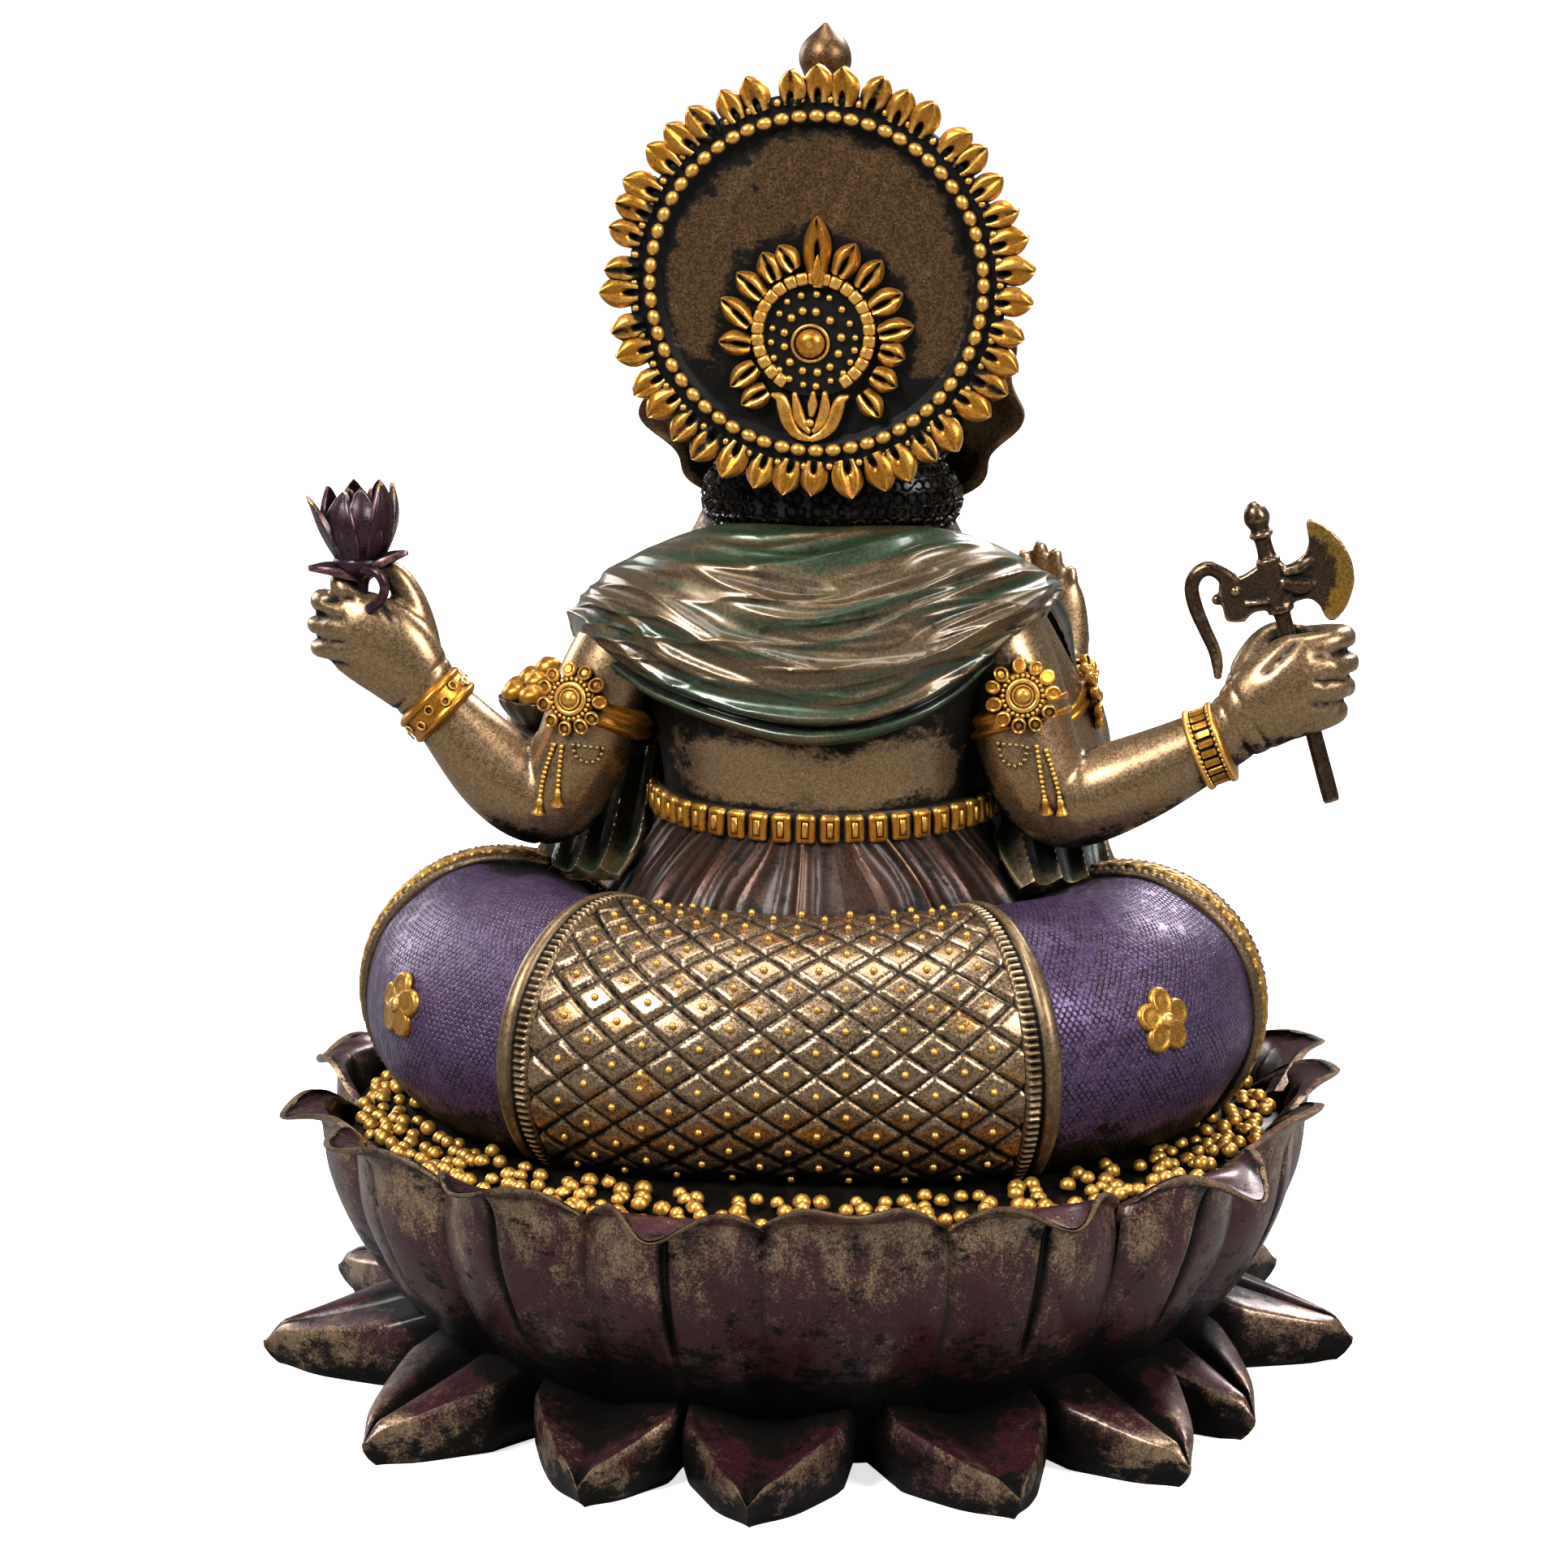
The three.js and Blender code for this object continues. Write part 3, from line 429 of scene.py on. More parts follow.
def finished(piece, material, slot=FIGURE, angle=50, keep=1.0):
    """Smooths, paints and mounts a finished piece on the figurine. Where `keep` is under 1, that share of the
    faces stays, most of them where the surface bends."""
    measure_edges(piece)
    if keep < 1:
        apply_modifier(piece, "DECIMATE", ratio=keep)
    activate(piece)
    bpy.ops.object.shade_smooth_by_angle(angle=math.radians(angle))
    piece.data.materials.clear()
    piece.data.materials.append(bpy.data.materials[f"{material}_paint"])
    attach(piece, "root")
    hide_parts(slot)
    return piece


def fused(name, shapes, voxel, smoothing=4, keep=1.0):
    """One skin round overlapping shapes, a little softened where they meet."""
    piece = object_of(name, merged(shapes))
    apply_modifier(piece, "REMESH", mode="VOXEL", voxel_size=voxel * MM, adaptivity=0)
    if smoothing:
        apply_modifier(piece, "SMOOTH", factor=0.5, iterations=smoothing)
    if keep < 1:
        apply_modifier(piece, "DECIMATE", ratio=keep)
    return piece


# Paints

def node(tree, kind, inputs=None, **settings):
    made = tree.nodes.new(kind)
    for key, value in settings.items():
        setattr(made, key, value)
    for key, value in (inputs or {}).items():
        if isinstance(value, bpy.types.NodeSocket):
            tree.links.new(value, made.inputs[key])
        else:
            made.inputs[key].default_value = value
    return made


def calc(tree, operation, first, second=0.0, third=0.0, clamp=False):
    made = node(tree, "ShaderNodeMath", {0: first, 1: second, 2: third}, operation=operation, use_clamp=clamp)
    return made.outputs[0]


def ramp(tree, value, low, high, to_low=0.0, to_high=1.0):
    made = node(tree, "ShaderNodeMapRange", {
        "Value": value, "From Min": low, "From Max": high, "To Min": to_low, "To Max": to_high},
        interpolation_type="SMOOTHSTEP")
    return made.outputs["Result"]


def mix_colours(tree, share, first, second):
    made = node(tree, "ShaderNodeMix", data_type="RGBA")
    factor, a, b = made.inputs[0], made.inputs[6], made.inputs[7]
    for socket, value in ((factor, share), (a, first), (b, second)):
        if isinstance(value, bpy.types.NodeSocket):
            tree.links.new(value, socket)
        else:
            socket.default_value = value if socket is factor else (*value[:3], 1.0)
    return made.outputs[2]


def mix_values(tree, share, first, second):
    made = node(tree, "ShaderNodeMix", {0: share, 2: first, 3: second}, data_type="FLOAT")
    return made.outputs[0]


def mask_of(tree, name):
    return node(tree, "ShaderNodeAttribute", attribute_name=name).outputs["Fac"]


def object_place(tree):
    return node(tree, "ShaderNodeTexCoord").outputs["Object"]


def noise_of(tree, place, scale, detail=3.0, roughness=0.6):
    made = node(tree, "ShaderNodeTexNoise", {
        "Vector": place, "Scale": scale, "Detail": detail, "Roughness": roughness})
    return made.outputs["Fac"]


def group_of(name, inputs, outputs):
    """A new shader group with its named sockets, and its two end nodes."""
    tree = bpy.data.node_groups.new(name, "ShaderNodeTree")
    for socket_name, default in inputs.items():
        socket = tree.interface.new_socket(name=socket_name, in_out="INPUT", socket_type="NodeSocketFloat")
        socket.default_value = default
    for socket_name in outputs:
        tree.interface.new_socket(name=socket_name, in_out="OUTPUT", socket_type="NodeSocketFloat")
    start, end = tree.nodes.new("NodeGroupInput"), tree.nodes.new("NodeGroupOutput")
    return tree, start.outputs, end.inputs


def make_wax_group():
    """Dark wax that stays in hollows and in brushed patches, plus painted shade and some darker spots where a vertex
    mask leads it.
    """
    tree, given, result = group_of(
        "wax_in_hollows", {"Amount": 0.3, "Patches": 0.5, "Scale": 250.0, "Reach": 0.003}, ["Mask"])
    place = object_place(tree)
    shade = node(tree, "ShaderNodeAmbientOcclusion", {"Distance": given["Reach"]}, samples=8).outputs["AO"]
    hollow = calc(tree, "SUBTRACT", 1.0, shade)
    brushed = node(tree, "ShaderNodeVectorMath", {0: place, 1: (0.45, 0.45, 1.0)}, operation="MULTIPLY").outputs[0]
    coarse = noise_of(tree, place, given["Scale"], 4.0, 0.65)
    fine = noise_of(tree, brushed, calc(tree, "MULTIPLY", given["Scale"], 5.0), 4.0, 0.75)
    speckle = noise_of(tree, place, calc(tree, "MULTIPLY", given["Scale"], 17.0), 2.0, 0.6)
    patchy = calc(tree, "ADD", calc(tree, "MULTIPLY", coarse, 0.9), calc(tree, "MULTIPLY", fine, 0.8))
    patchy = calc(tree, "ADD", patchy, calc(tree, "MULTIPLY", speckle, 0.3))
    patchy = calc(tree, "MULTIPLY", calc(tree, "SUBTRACT", patchy, 1.0), given["Patches"])
    edge = calc(tree, "MULTIPLY", calc(tree, "SUBTRACT", 0.5, mask_of(tree, "edge")), 0.7)
    total = calc(tree, "ADD", calc(tree, "ADD", hollow, patchy), calc(tree, "ADD", given["Amount"], edge))
    # Painted shade from the vertex mask, with some darker spots, joins the wax here
    total = calc(tree, "ADD", total, mask_of(tree, "grime"))
    tree.links.new(ramp(tree, total, 0.38, 0.66), result["Mask"])
    return tree


def make_rub_group():
    """Paint rubbed off ridges and high spots."""
    tree, given, result = group_of("rubbed_ridges", {"Amount": 0.3, "Scale": 400.0, "Patches": 0.5}, ["Mask"])
    place = object_place(tree)
    patchy = calc(tree, "MULTIPLY", calc(tree, "SUBTRACT", noise_of(tree, place, given["Scale"], 4.0, 0.7), 0.5),
                  given["Patches"])
    ridge = calc(tree, "SUBTRACT", mask_of(tree, "edge"), 0.5)
    total = calc(tree, "ADD", calc(tree, "ADD", ridge, patchy), given["Amount"])
    tree.links.new(ramp(tree, total, 0.3, 0.62), result["Mask"])
    return tree


def make_flake_group():
    """Metal flakes in the paint: a value from 0 to 1 for each flake, and painted glints on rare bright ones."""
    tree, given, result = group_of("metal_flakes", {"Scale": 4200.0}, ["Value", "Bright"])
    cells = node(tree, "ShaderNodeTexVoronoi", {"Vector": object_place(tree), "Scale": given["Scale"]})
    split = node(tree, "ShaderNodeSeparateColor", {0: cells.outputs["Color"]})
    tree.links.new(split.outputs[0], result["Value"])
    # Painted glints on the rarest flakes
    tree.links.new(ramp(tree, split.outputs[1], 0.93, 0.99), result["Bright"])
    return tree


def make_grain_group():
    """Small unevenness of a hand-finished casting, as a height."""
    tree, given, result = group_of("cast_grain", {"Scale": 900.0, "Waves": 130.0}, ["Height"])
    place = object_place(tree)
    fine = noise_of(tree, place, given["Scale"], 4.0, 0.65)
    waves = noise_of(tree, place, given["Waves"], 2.0, 0.5)
    total = calc(tree, "ADD", calc(tree, "MULTIPLY", fine, 0.35), calc(tree, "MULTIPLY", waves, 0.65))
    tree.links.new(total, result["Height"])
    return tree


def make_net_group():
    """Zigzag net of embossed cloth from the masks `along` and `round`, in millimetres."""
    tree, given, result = group_of("zigzag_net", {"Width": 1.1, "Height": 1.5, "Line": 0.26}, ["Line"])
    across = calc(tree, "DIVIDE", mask_of(tree, "along"), given["Width"])
    upward = calc(tree, "DIVIDE", mask_of(tree, "round"), given["Height"])
    wave = calc(tree, "PINGPONG", upward, 0.5)
    wave = calc(tree, "SUBTRACT", calc(tree, "MULTIPLY", wave, 4.0), 1.0)
    wave = calc(tree, "MULTIPLY", calc(tree, "MAXIMUM", calc(tree, "MINIMUM", wave, 0.62), -0.62), 0.40)
    distances = []
    for sign, shift in ((1.0, 0.0), (-1.0, 0.5)):
        line = calc(tree, "ADD", calc(tree, "ADD", across, calc(tree, "MULTIPLY", wave, sign)), shift)
        distances.append(calc(tree, "PINGPONG", line, 0.5))
    nearest = calc(tree, "MINIMUM", distances[0], distances[1])
    line = calc(tree, "SUBTRACT", 1.0, ramp(tree, nearest, 0.02, given["Line"]))
    worn = ramp(tree, noise_of(tree, object_place(tree), 420.0, 3.0, 0.7), 0.36, 0.6)
    tree.links.new(calc(tree, "MULTIPLY", line, worn), result["Line"])
    return tree


def make_lattice_group():
    """Incised diamonds from the masks `diamond_a` and `diamond_b`: the grooves, and a value for each diamond."""
    tree, given, result = group_of("diamond_lattice", {"Groove": 0.085}, ["Groove", "Cell"])
    a, b = mask_of(tree, "diamond_a"), mask_of(tree, "diamond_b")
    distances = [calc(tree, "PINGPONG", calc(tree, "ADD", line, 0.5), 0.5) for line in (a, b)]
    nearest = calc(tree, "MINIMUM", *distances)
    tree.links.new(calc(tree, "SUBTRACT", 1.0, ramp(tree, nearest, 0.012, given["Groove"])), result["Groove"])
    cell = node(tree, "ShaderNodeCombineXYZ", {0: calc(tree, "ROUND", a), 1: calc(tree, "ROUND", b)})
    value = node(tree, "ShaderNodeTexWhiteNoise", {"Vector": cell.outputs[0]}, noise_dimensions="3D")
    tree.links.new(value.outputs["Value"], result["Cell"])
    return tree


def use_group(tree, name, inputs=None):
    made = tree.nodes.new("ShaderNodeGroup")
    made.node_tree = bpy.data.node_groups[name]
    for key, value in (inputs or {}).items():
        made.inputs[key].default_value = value
    return made.outputs


class Paint:
    """What a painted casting looks like: colours, how much wax and painted shade and rubbing it has, and its gloss."""

    def __init__(self, base, worn, second=None, second_metallic=0.75, metallic=0.75, roughness=0.42, wax=0.12,
                 patches=0.5, wax_scale=260.0, reach=3.0, rub=0.12, rub_scale=500.0, flake=0.3, coat=0.0,
                 bump=0.12, break_up=0.5, break_scale=420.0, pattern=None, wax_roughness=0.55, blend=0.1, dots=0.0):
        self.__dict__.update({key: value for key, value in locals().items() if key != "self"})


def make_paint(name, paint, wax_colour):
    """A painted, waxed and rubbed cast material with painted shade and glints. The mask `paint` leads to the second
    colour, `dark` to painted shade in the wax colour.
    """
    material = bpy.data.materials.new(name)
    material.use_nodes = True
    tree = material.node_tree
    tree.nodes.clear()
    flakes = use_group(tree, "metal_flakes")
    rub = use_group(tree, "rubbed_ridges", {
        "Amount": paint.rub, "Scale": paint.rub_scale, "Patches": paint.break_up})["Mask"]
    wax = use_group(tree, "wax_in_hollows", {
        "Amount": paint.wax, "Patches": paint.patches, "Scale": paint.wax_scale, "Reach": paint.reach * MM})["Mask"]
    grain = use_group(tree, "cast_grain")["Height"]
    colour, metallic = paint.base, paint.metallic
    height = grain
    if paint.second:
        streaked = node(tree, "ShaderNodeVectorMath", {0: object_place(tree), 1: (1.0, 1.0, 0.55)},
                        operation="MULTIPLY").outputs[0]
        breaks = noise_of(tree, streaked, paint.break_scale, 9.0, 0.74)
        share = calc(tree, "ADD", mask_of(tree, "paint"),
                     calc(tree, "MULTIPLY", calc(tree, "SUBTRACT", breaks, 0.5), paint.break_up * 2))
        dots = noise_of(tree, object_place(tree), 2600.0, 3.0, 0.7)
        share = calc(tree, "ADD", share, calc(tree, "MULTIPLY", calc(tree, "SUBTRACT", dots, 0.5), paint.dots))
        share = ramp(tree, share, 0.5 - paint.blend, 0.5 + paint.blend)
        colour = mix_colours(tree, share, paint.base, paint.second)
        metallic = mix_values(tree, share, paint.metallic, paint.second_metallic)
    line = None
    if paint.pattern == "net":
        line = use_group(tree, "zigzag_net")["Line"]
        height = calc(tree, "SUBTRACT", grain, calc(tree, "MULTIPLY", line, 0.9))
    if paint.pattern == "lattice":
        lattice = use_group(tree, "diamond_lattice")
        line = lattice["Groove"]
        gilt = noise_of(tree, object_place(tree), 150.0, 5.0, 0.75)
        gilt = calc(tree, "ADD", calc(tree, "MULTIPLY", gilt, 0.85), calc(tree, "MULTIPLY", lattice["Cell"], 0.2))
        colour = mix_colours(tree, ramp(tree, gilt, 0.58, 0.74, 0.0, 0.8), colour, linear("#a8742a"))
    colour = mix_colours(tree, rub, colour, paint.worn)
    lift = ramp(tree, flakes["Value"], 0.0, 1.0, 1.0 - paint.flake, 1.0 + paint.flake)
    # Painted glints: rare flakes are made brighter in colour
    lift = calc(tree, "ADD", lift, calc(tree, "MULTIPLY", flakes["Bright"], paint.flake * 2))
    colour = node(tree, "ShaderNodeVectorMath", {0: colour, "Scale": lift}, operation="SCALE").outputs[0]
    # Wax in the hollows, painted shade from the masks and the pattern's grooves all take the wax colour
    dark = calc(tree, "MAXIMUM", wax, mask_of(tree, "dark"))
    if line is not None:
        dark = calc(tree, "MAXIMUM", dark, calc(tree, "MULTIPLY", line, 0.93))
    colour = mix_colours(tree, dark, colour, wax_colour)
    metallic = mix_values(tree, dark, metallic, 0.0)
    rough = calc(tree, "ADD", paint.roughness, calc(tree, "MULTIPLY", calc(
        tree, "SUBTRACT", flakes["Value"], 0.5), 0.12))
    rough = mix_values(tree, dark, rough, paint.wax_roughness)
    bump = node(tree, "ShaderNodeBump", {"Strength": 0.5, "Distance": paint.bump * MM, "Height": height})
    shader = node(tree, "ShaderNodeBsdfPrincipled", {
        "Base Color": colour, "Metallic": metallic, "Roughness": rough, "Normal": bump.outputs[0],
        "Coat Weight": paint.coat, "Coat Roughness": 0.12,
        "Specular IOR Level": ramp(tree, dark, 0.0, 1.0, 0.5, 0.12)})
    output = tree.nodes.new("ShaderNodeOutputMaterial")
    tree.links.new(shader.outputs[0], output.inputs["Surface"])
    return material


def make_paints(colours):
    for build in (make_wax_group, make_rub_group, make_flake_group, make_grain_group, make_net_group,
                  make_lattice_group):
        build()
    bronze, gold, wax = tuple(colours.bronze), tuple(colours.gold), tuple(colours.wax)
    paints = {
        "skin": Paint(bronze, linear("#b99f80"), metallic=0.85, roughness=0.32, wax=0.11, patches=1.3, flake=0.26,
                      wax_scale=110.0, reach=8.0, rub=0.08, bump=0.14),
        "gold": Paint(gold, linear("#e0a850"), metallic=0.8, roughness=0.34, wax=0.2, patches=0.9, reach=1.7,
                      wax_scale=300.0, flake=0.14, rub=0.12),
        "petal": Paint(tuple(colours.plum), linear("#6a4638"), second=linear("#92785c"), second_metallic=0.8,
                       metallic=0.5, roughness=0.34, wax=0.2, patches=1.7, wax_scale=150.0, reach=10.0,
                       rub=0.02, flake=0.3, coat=0.12, break_up=1.3, break_scale=210.0, bump=0.2,
                       blend=0.3, dots=1.5),
        "violet_cloth": Paint(tuple(colours.violet), linear("#7c6b84"), metallic=0.5, roughness=0.36, wax=0.13,
                              patches=1.3, wax_scale=110.0, reach=7.0, rub=0.08, flake=0.4, bump=0.5,
                              pattern="net"),
        "lattice": Paint(linear("#8a7258"), linear("#d2bd9c"), metallic=0.9, roughness=0.3, wax=0.08, patches=1.2,
                         wax_scale=160.0, rub=0.12, flake=0.4, pattern="lattice"),
        "band": Paint(linear("#6c563d"), linear("#b39872"), second=linear("#a3752c"), metallic=0.8, roughness=0.4,
                      wax=0.12, patches=0.6, reach=2.0, rub=0.15, flake=0.2),
        "shawl": Paint(linear("#5a4831"), linear("#8c7354"), second=tuple(colours.green), second_metallic=0.4,
                       metallic=0.7, roughness=0.38, wax=0.22, patches=1.3, wax_scale=130.0, reach=5.0, rub=0.04,
                       flake=0.22, coat=0.4, break_scale=420.0, break_up=0.5, blend=0.3),
        "skirt": Paint(tuple(colours.copper), linear("#6e5438"), metallic=0.75, roughness=0.4, wax=0.3,
                       patches=1.2, wax_scale=140.0, reach=6.0, rub=0.12, flake=0.25, coat=0.08),
        "hair": Paint(linear("#080604"), linear("#3a3128"), metallic=0.0, roughness=0.3, wax=0.3, patches=0.3,
                      reach=1.5, rub=-0.12, wax_roughness=0.36),
        "axe": Paint(linear("#463426"), linear("#94795a"), second=linear("#8a6826"), metallic=0.85, roughness=0.28,
                     wax=0.3, patches=1.3, wax_scale=300.0, reach=2.0, rub=0.1, break_up=0.9, break_scale=420.0),
        "bud": Paint(linear("#2b0d1c"), linear("#6d4644"), second=linear("#8d7040"), metallic=0.4, roughness=0.34,
                     wax=0.4, patches=1.3, wax_scale=260.0, reach=2.5, rub=-0.02, coat=0.1, break_up=0.9,
                     break_scale=500.0),
        "disc_bronze": Paint(linear("#5c4329"), linear("#8c6d48"), metallic=0.8, roughness=0.4, wax=0.1, patches=1.7,
                             wax_scale=80.0, reach=5.0, rub=0.02, flake=0.4),
        "gold_bronze": Paint(linear("#a5742c"), linear("#d2a65c"), metallic=0.75, roughness=0.36, wax=0.08, patches=0.5,
                             reach=1.8, rub=0.1, flake=0.2),
        "dark_beads": Paint(linear("#3f301f"), linear("#8e7247"), metallic=0.75, roughness=0.38, wax=0.22, patches=0.6,
                            reach=1.6, rub=0.12, flake=0.2),
        "tusk": Paint(linear("#cdbd9c"), linear("#e4d9bf"), metallic=0.1, roughness=0.4, wax=0.04, patches=0.4,
                      wax_scale=110.0, rub=0.1, flake=0.06),
        "seat": Paint(linear("#0f0c09"), linear("#33291f"), metallic=0.4, roughness=0.36, wax=0.3, patches=0.6),
    }
    for name, paint in paints.items():
        make_paint(f"{name}_paint", paint, wax)


# The lotus

def petal_points(reach, sideways, height, angle):
    out = np.stack([np.cos(angle), np.sin(angle)], -1)
    side = np.stack([-np.sin(angle), np.cos(angle)], -1)
    flat = reach[..., None] * out + sideways[..., None] * side
    return np.concatenate([flat, height[..., None]], -1)


def ground_petal(index):
    """A petal that lies on the ground: upright walls, a crisp rim and a hollow with a sharp middle groove."""
    turn, tip_reach = GROUND_PETAL_TIPS[index]
    root_angle = math.pi / 2 + 2 * math.pi * index / len(GROUND_PETAL_TIPS)
    share = 1 - (1 - np.linspace(0, 1, 34)) ** 1.5
    width = 11.8 * np.minimum(1, (1.85 * (1 - share)) ** 0.8 + 0.01)
    width = width * np.sqrt(np.clip(1 - ((share - 0.83) / 0.17).clip(0) ** 2, 0, 1)) + 0.05
    rim = 5.2 + 10.6 * (1 - share ** 0.8) - 1.6 * smooth_step(0.9, 1.0, share)
    hollow = 4.2 * (1 - 0.55 * share) * (1 - smooth_step(0.92, 1.0, share))
    across = np.concatenate([
        np.linspace(-0.93, 0.93, 33), [0.97, 0.995, 1.0, 0.985, 0.93, 0.86], np.linspace(0.6, -0.6, 3),
        [-0.86, -0.93, -0.985, -1.0, -0.995, -0.97]])
    wall = [0.95, 0.82, 0.6, 0.3, 0.08, 0.0]
    wall = np.concatenate([np.full(33, np.nan), wall, np.zeros(3), wall[::-1]])
    v, u = np.meshgrid(across, share)
    x = np.abs(v) / 0.93
    lobed = smooth_step(0.35, 0.8, abs(math.cos(root_angle)))
    valley = (0.5 + 0.5 * np.cos(math.pi * x.clip(0, 1))) * (1 - lobed) + (0.75 * np.exp(-(x / 0.16) ** 2) - 0.32 * np.sin(
        math.pi * x.clip(0, 1) ** 0.8)) * lobed
    top = rim[:, None] - hollow[:, None] * valley + 0.3 * np.exp(-((x - 0.97) / 0.05) ** 2) * (1 - lobed)
    heights = np.where(np.isnan(wall)[None], top, np.nan_to_num(wall)[None] * rim[:, None])
    under = np.where(np.isnan(wall)[None], 0.0, 2.4 * (1 - np.nan_to_num(wall, nan=1.0)[None]) ** 2)
    reach = 48 + (tip_reach - 48) * u - under * smooth_step(0.7, 1.0, u)
    angle = root_angle + math.radians(turn) * u
    rings = petal_points(reach, v * width[:, None], heights, angle)
    tip = petal_points(np.array([tip_reach - 0.1]), np.zeros(1), np.array([2.6]), np.array([root_angle + math.radians(turn)]))[0]
    return closed_tube(rings, None, tip), (share, across, lobed)


def ground_petals():
    shapes, paint, grime = [], [], []
    for index in range(len(GROUND_PETAL_TIPS)):
        (points, faces), (share, across, lobed) = ground_petal(index)
        shapes.append((points, faces))
        grid = np.repeat(share[:, None], len(across), 1)
        walls = np.abs(across)[None] > 0.94
        rims = np.exp(-((np.abs(across)[None] - 0.94) / 0.03) ** 2)
        value = (0.3 + 0.25 * lobed) * smooth_step(0.4, 1.0, grid) + np.where(walls, 0.22, 0.0) + 0.3 * rims
        middle = np.exp(-(across[None] / 0.34) ** 2) * ~walls
        paint.append(np.concatenate([(value - 0.3 * middle).ravel(), [0.0, 0.6]]))
        # Painted shade in the middle groove, near the root under the rising petals, and on the walls
        soot = 0.42 * middle * (1 - 0.4 * grid) + 0.5 * smooth_step(0.45, 0.2, grid) + 0.12 * walls
        grime.append(np.concatenate([soot.ravel(), [0.5, 0.0]]))
    piece = object_of("ground_petals", merged(shapes))
    set_mask(piece, "paint", np.concatenate(paint))
    set_mask(piece, "grime", np.concatenate(grime))
    return finished(piece, "petal", angle=48, keep=0.6)


def rising_petal(index):
    """A petal that rises against the core: full between its seams, creased up its middle, with a lip that turns
    outward and runs out into a spout."""
    turn, tip_reach, tip_height = RISING_PETAL_TIPS[index]
    root_angle = math.radians(FIRST_RISING_PETAL) + 2 * math.pi * index / len(RISING_PETAL_TIPS)
    u = np.linspace(0, 1, 46)[:, None] ** 0.85
    v = np.linspace(-1, 1, 57)[None]
    v = np.sign(v) * np.abs(v) ** 1.5
    profile = spline([(56.8, 7), (65.6, 19), (70.4, 29.5), (72.2, 37.2), (73.0, 42.0), (74.4, 46.4)], u[:, 0])
    across = np.abs(v)
    spout = np.exp(-(across / (0.66 - 0.2 * smooth_step(0.7, 1.0, u))) ** 2)
    lip = smooth_step(0.84, 1.0, u)
    full = 1.6 * np.sin(math.pi * np.clip(u, 0, 0.85) / 0.85)
    reach = profile[:, :1] + full - (2.6 + 3.6 * u) * across ** 2.4 + 2.2 * lip * (1 - 0.4 * across)
    reach = reach + (tip_reach - 76.6) * spout * smooth_step(0.55, 1.0, u) ** 1.6
    height = profile[:, 1:] - 6.2 * across ** 2.4 * u ** 2 + (tip_height - 46.4) * spout * smooth_step(0.78, 1.0, u)
    ribbed = index % 17 not in (0, 14, 5, 9)
    lens = 0.018 + 0.042 * np.sin(math.pi * np.clip((u - 0.14) / 0.66, 0, 1))
    rib = np.exp(-((v + 0.03 * np.sin(4 * u)) / lens) ** 2) * smooth_step(0.14, 0.3, u) * (1 - smooth_step(0.72, 0.84, u))
    reach = reach - (0.25 + 1.0 * ribbed) * rib
    half = spline(np.array([11.0, 12.2, 13.0, 13.3, 13.3, 13.0]), u[:, 0])[:, None]
    thickness = (3.4 - 2.1 * u) * (1 - 0.3 * across)
    outer = np.stack([reach, height], -1)
    slope = unit(np.gradient(outer, axis=0))
    angle = root_angle + math.radians(turn) * u ** 2 + 0 * v
    outside = petal_points(reach, v * half, height, angle)
    inside = petal_points(reach - thickness * slope[..., 1] - 0.5 * (u > 0.999), v * half * 0.97,
                          height + thickness * slope[..., 0] * 0.5 - 0.3 * (u > 0.999), angle)
    return shell(outside, inside), (u, v, ribbed, rib)


def rising_petals():
    shapes, paint, dark, grime = [], [], [], []
    for index in range(len(RISING_PETAL_TIPS)):
        shape, (u, v, ribbed, rib) = rising_petal(index)
        shapes.append(shape)
        grid, across = u + 0 * v, np.abs(v) + 0 * u
        outside = 0.14 + 0.42 * smooth_step(0.3, 0.72, grid) - 0.14 * across + 0.25 * smooth_step(0.94, 1.0, grid)
        inside = 0.05 + 0.5 * smooth_step(0.95, 1.0, grid)
        paint.append(np.concatenate([outside.ravel(), inside.ravel()]))
        # Painted shade in the creased rib and in the seams between petals
        seam = 0.8 * smooth_step(0.9, 1.0, across) * (1 - 0.6 * smooth_step(0.7, 1.0, grid))
        dark.append(np.concatenate([np.maximum(rib * 1.6 * ribbed, seam).clip(0, 1).ravel(), np.zeros(grid.size)]))
        # Painted shade low on each petal between the ground petals, a little below the lip's middle, and all over the
        # inside
        soot = 0.42 * smooth_step(0.5, 0.05, grid) + 0.12 * smooth_step(0.7, 0.95, grid) * (1 - across)
        grime.append(np.concatenate([soot.ravel(), np.full(grid.size, 0.15)]))
    piece = object_of("rising_petals", merged(shapes))
    set_mask(piece, "paint", np.concatenate(paint))
    set_mask(piece, "dark", np.concatenate(dark))
    set_mask(piece, "grime", np.concatenate(grime))
    return finished(piece, "petal", angle=45, keep=0.5)


def roll_clear(points, gap):
    """True for points on the seat that stay clear of the wrapped legs by `gap`."""
    centres = spline(ROLL, np.linspace(0, 1, 121))
    offset = points[:, None, :2] - centres[None, :, :2]
    distance = np.linalg.norm(offset, axis=-1)
    nearest = distance.argmin(1)
    drop = np.clip((centres[nearest, 2] - points[:, 2]) / centres[nearest, 3], 0, 1)
    reach = centres[nearest, 4] * np.sqrt(1 - drop ** 2)
    return (distance.min(1) > reach + gap) & (np.hypot(points[:, 0], points[:, 1]) > 40)


def bead_shape(subdivisions=2):
    """One bead, as a small faceted ball of radius 1."""
    deselect()
    bpy.ops.mesh.primitive_ico_sphere_add(subdivisions=subdivisions, radius=1)
    bead = bpy.context.object
    points = np.array([tuple(p.co) for p in bead.data.vertices])
    faces = [list(f.vertices) for f in bead.data.polygons]
    bpy.data.objects.remove(bead, do_unlink=True)
    return points, faces


def from_petal_middle(turn):
    """How far a turn is from the middle of the nearest rising petal: 0 there and 1 at a seam."""
    number = (turn - math.radians(FIRST_RISING_PETAL)) * len(RISING_PETAL_TIPS) / (2 * math.pi)
    return np.abs(2 * (number - np.round(number)))


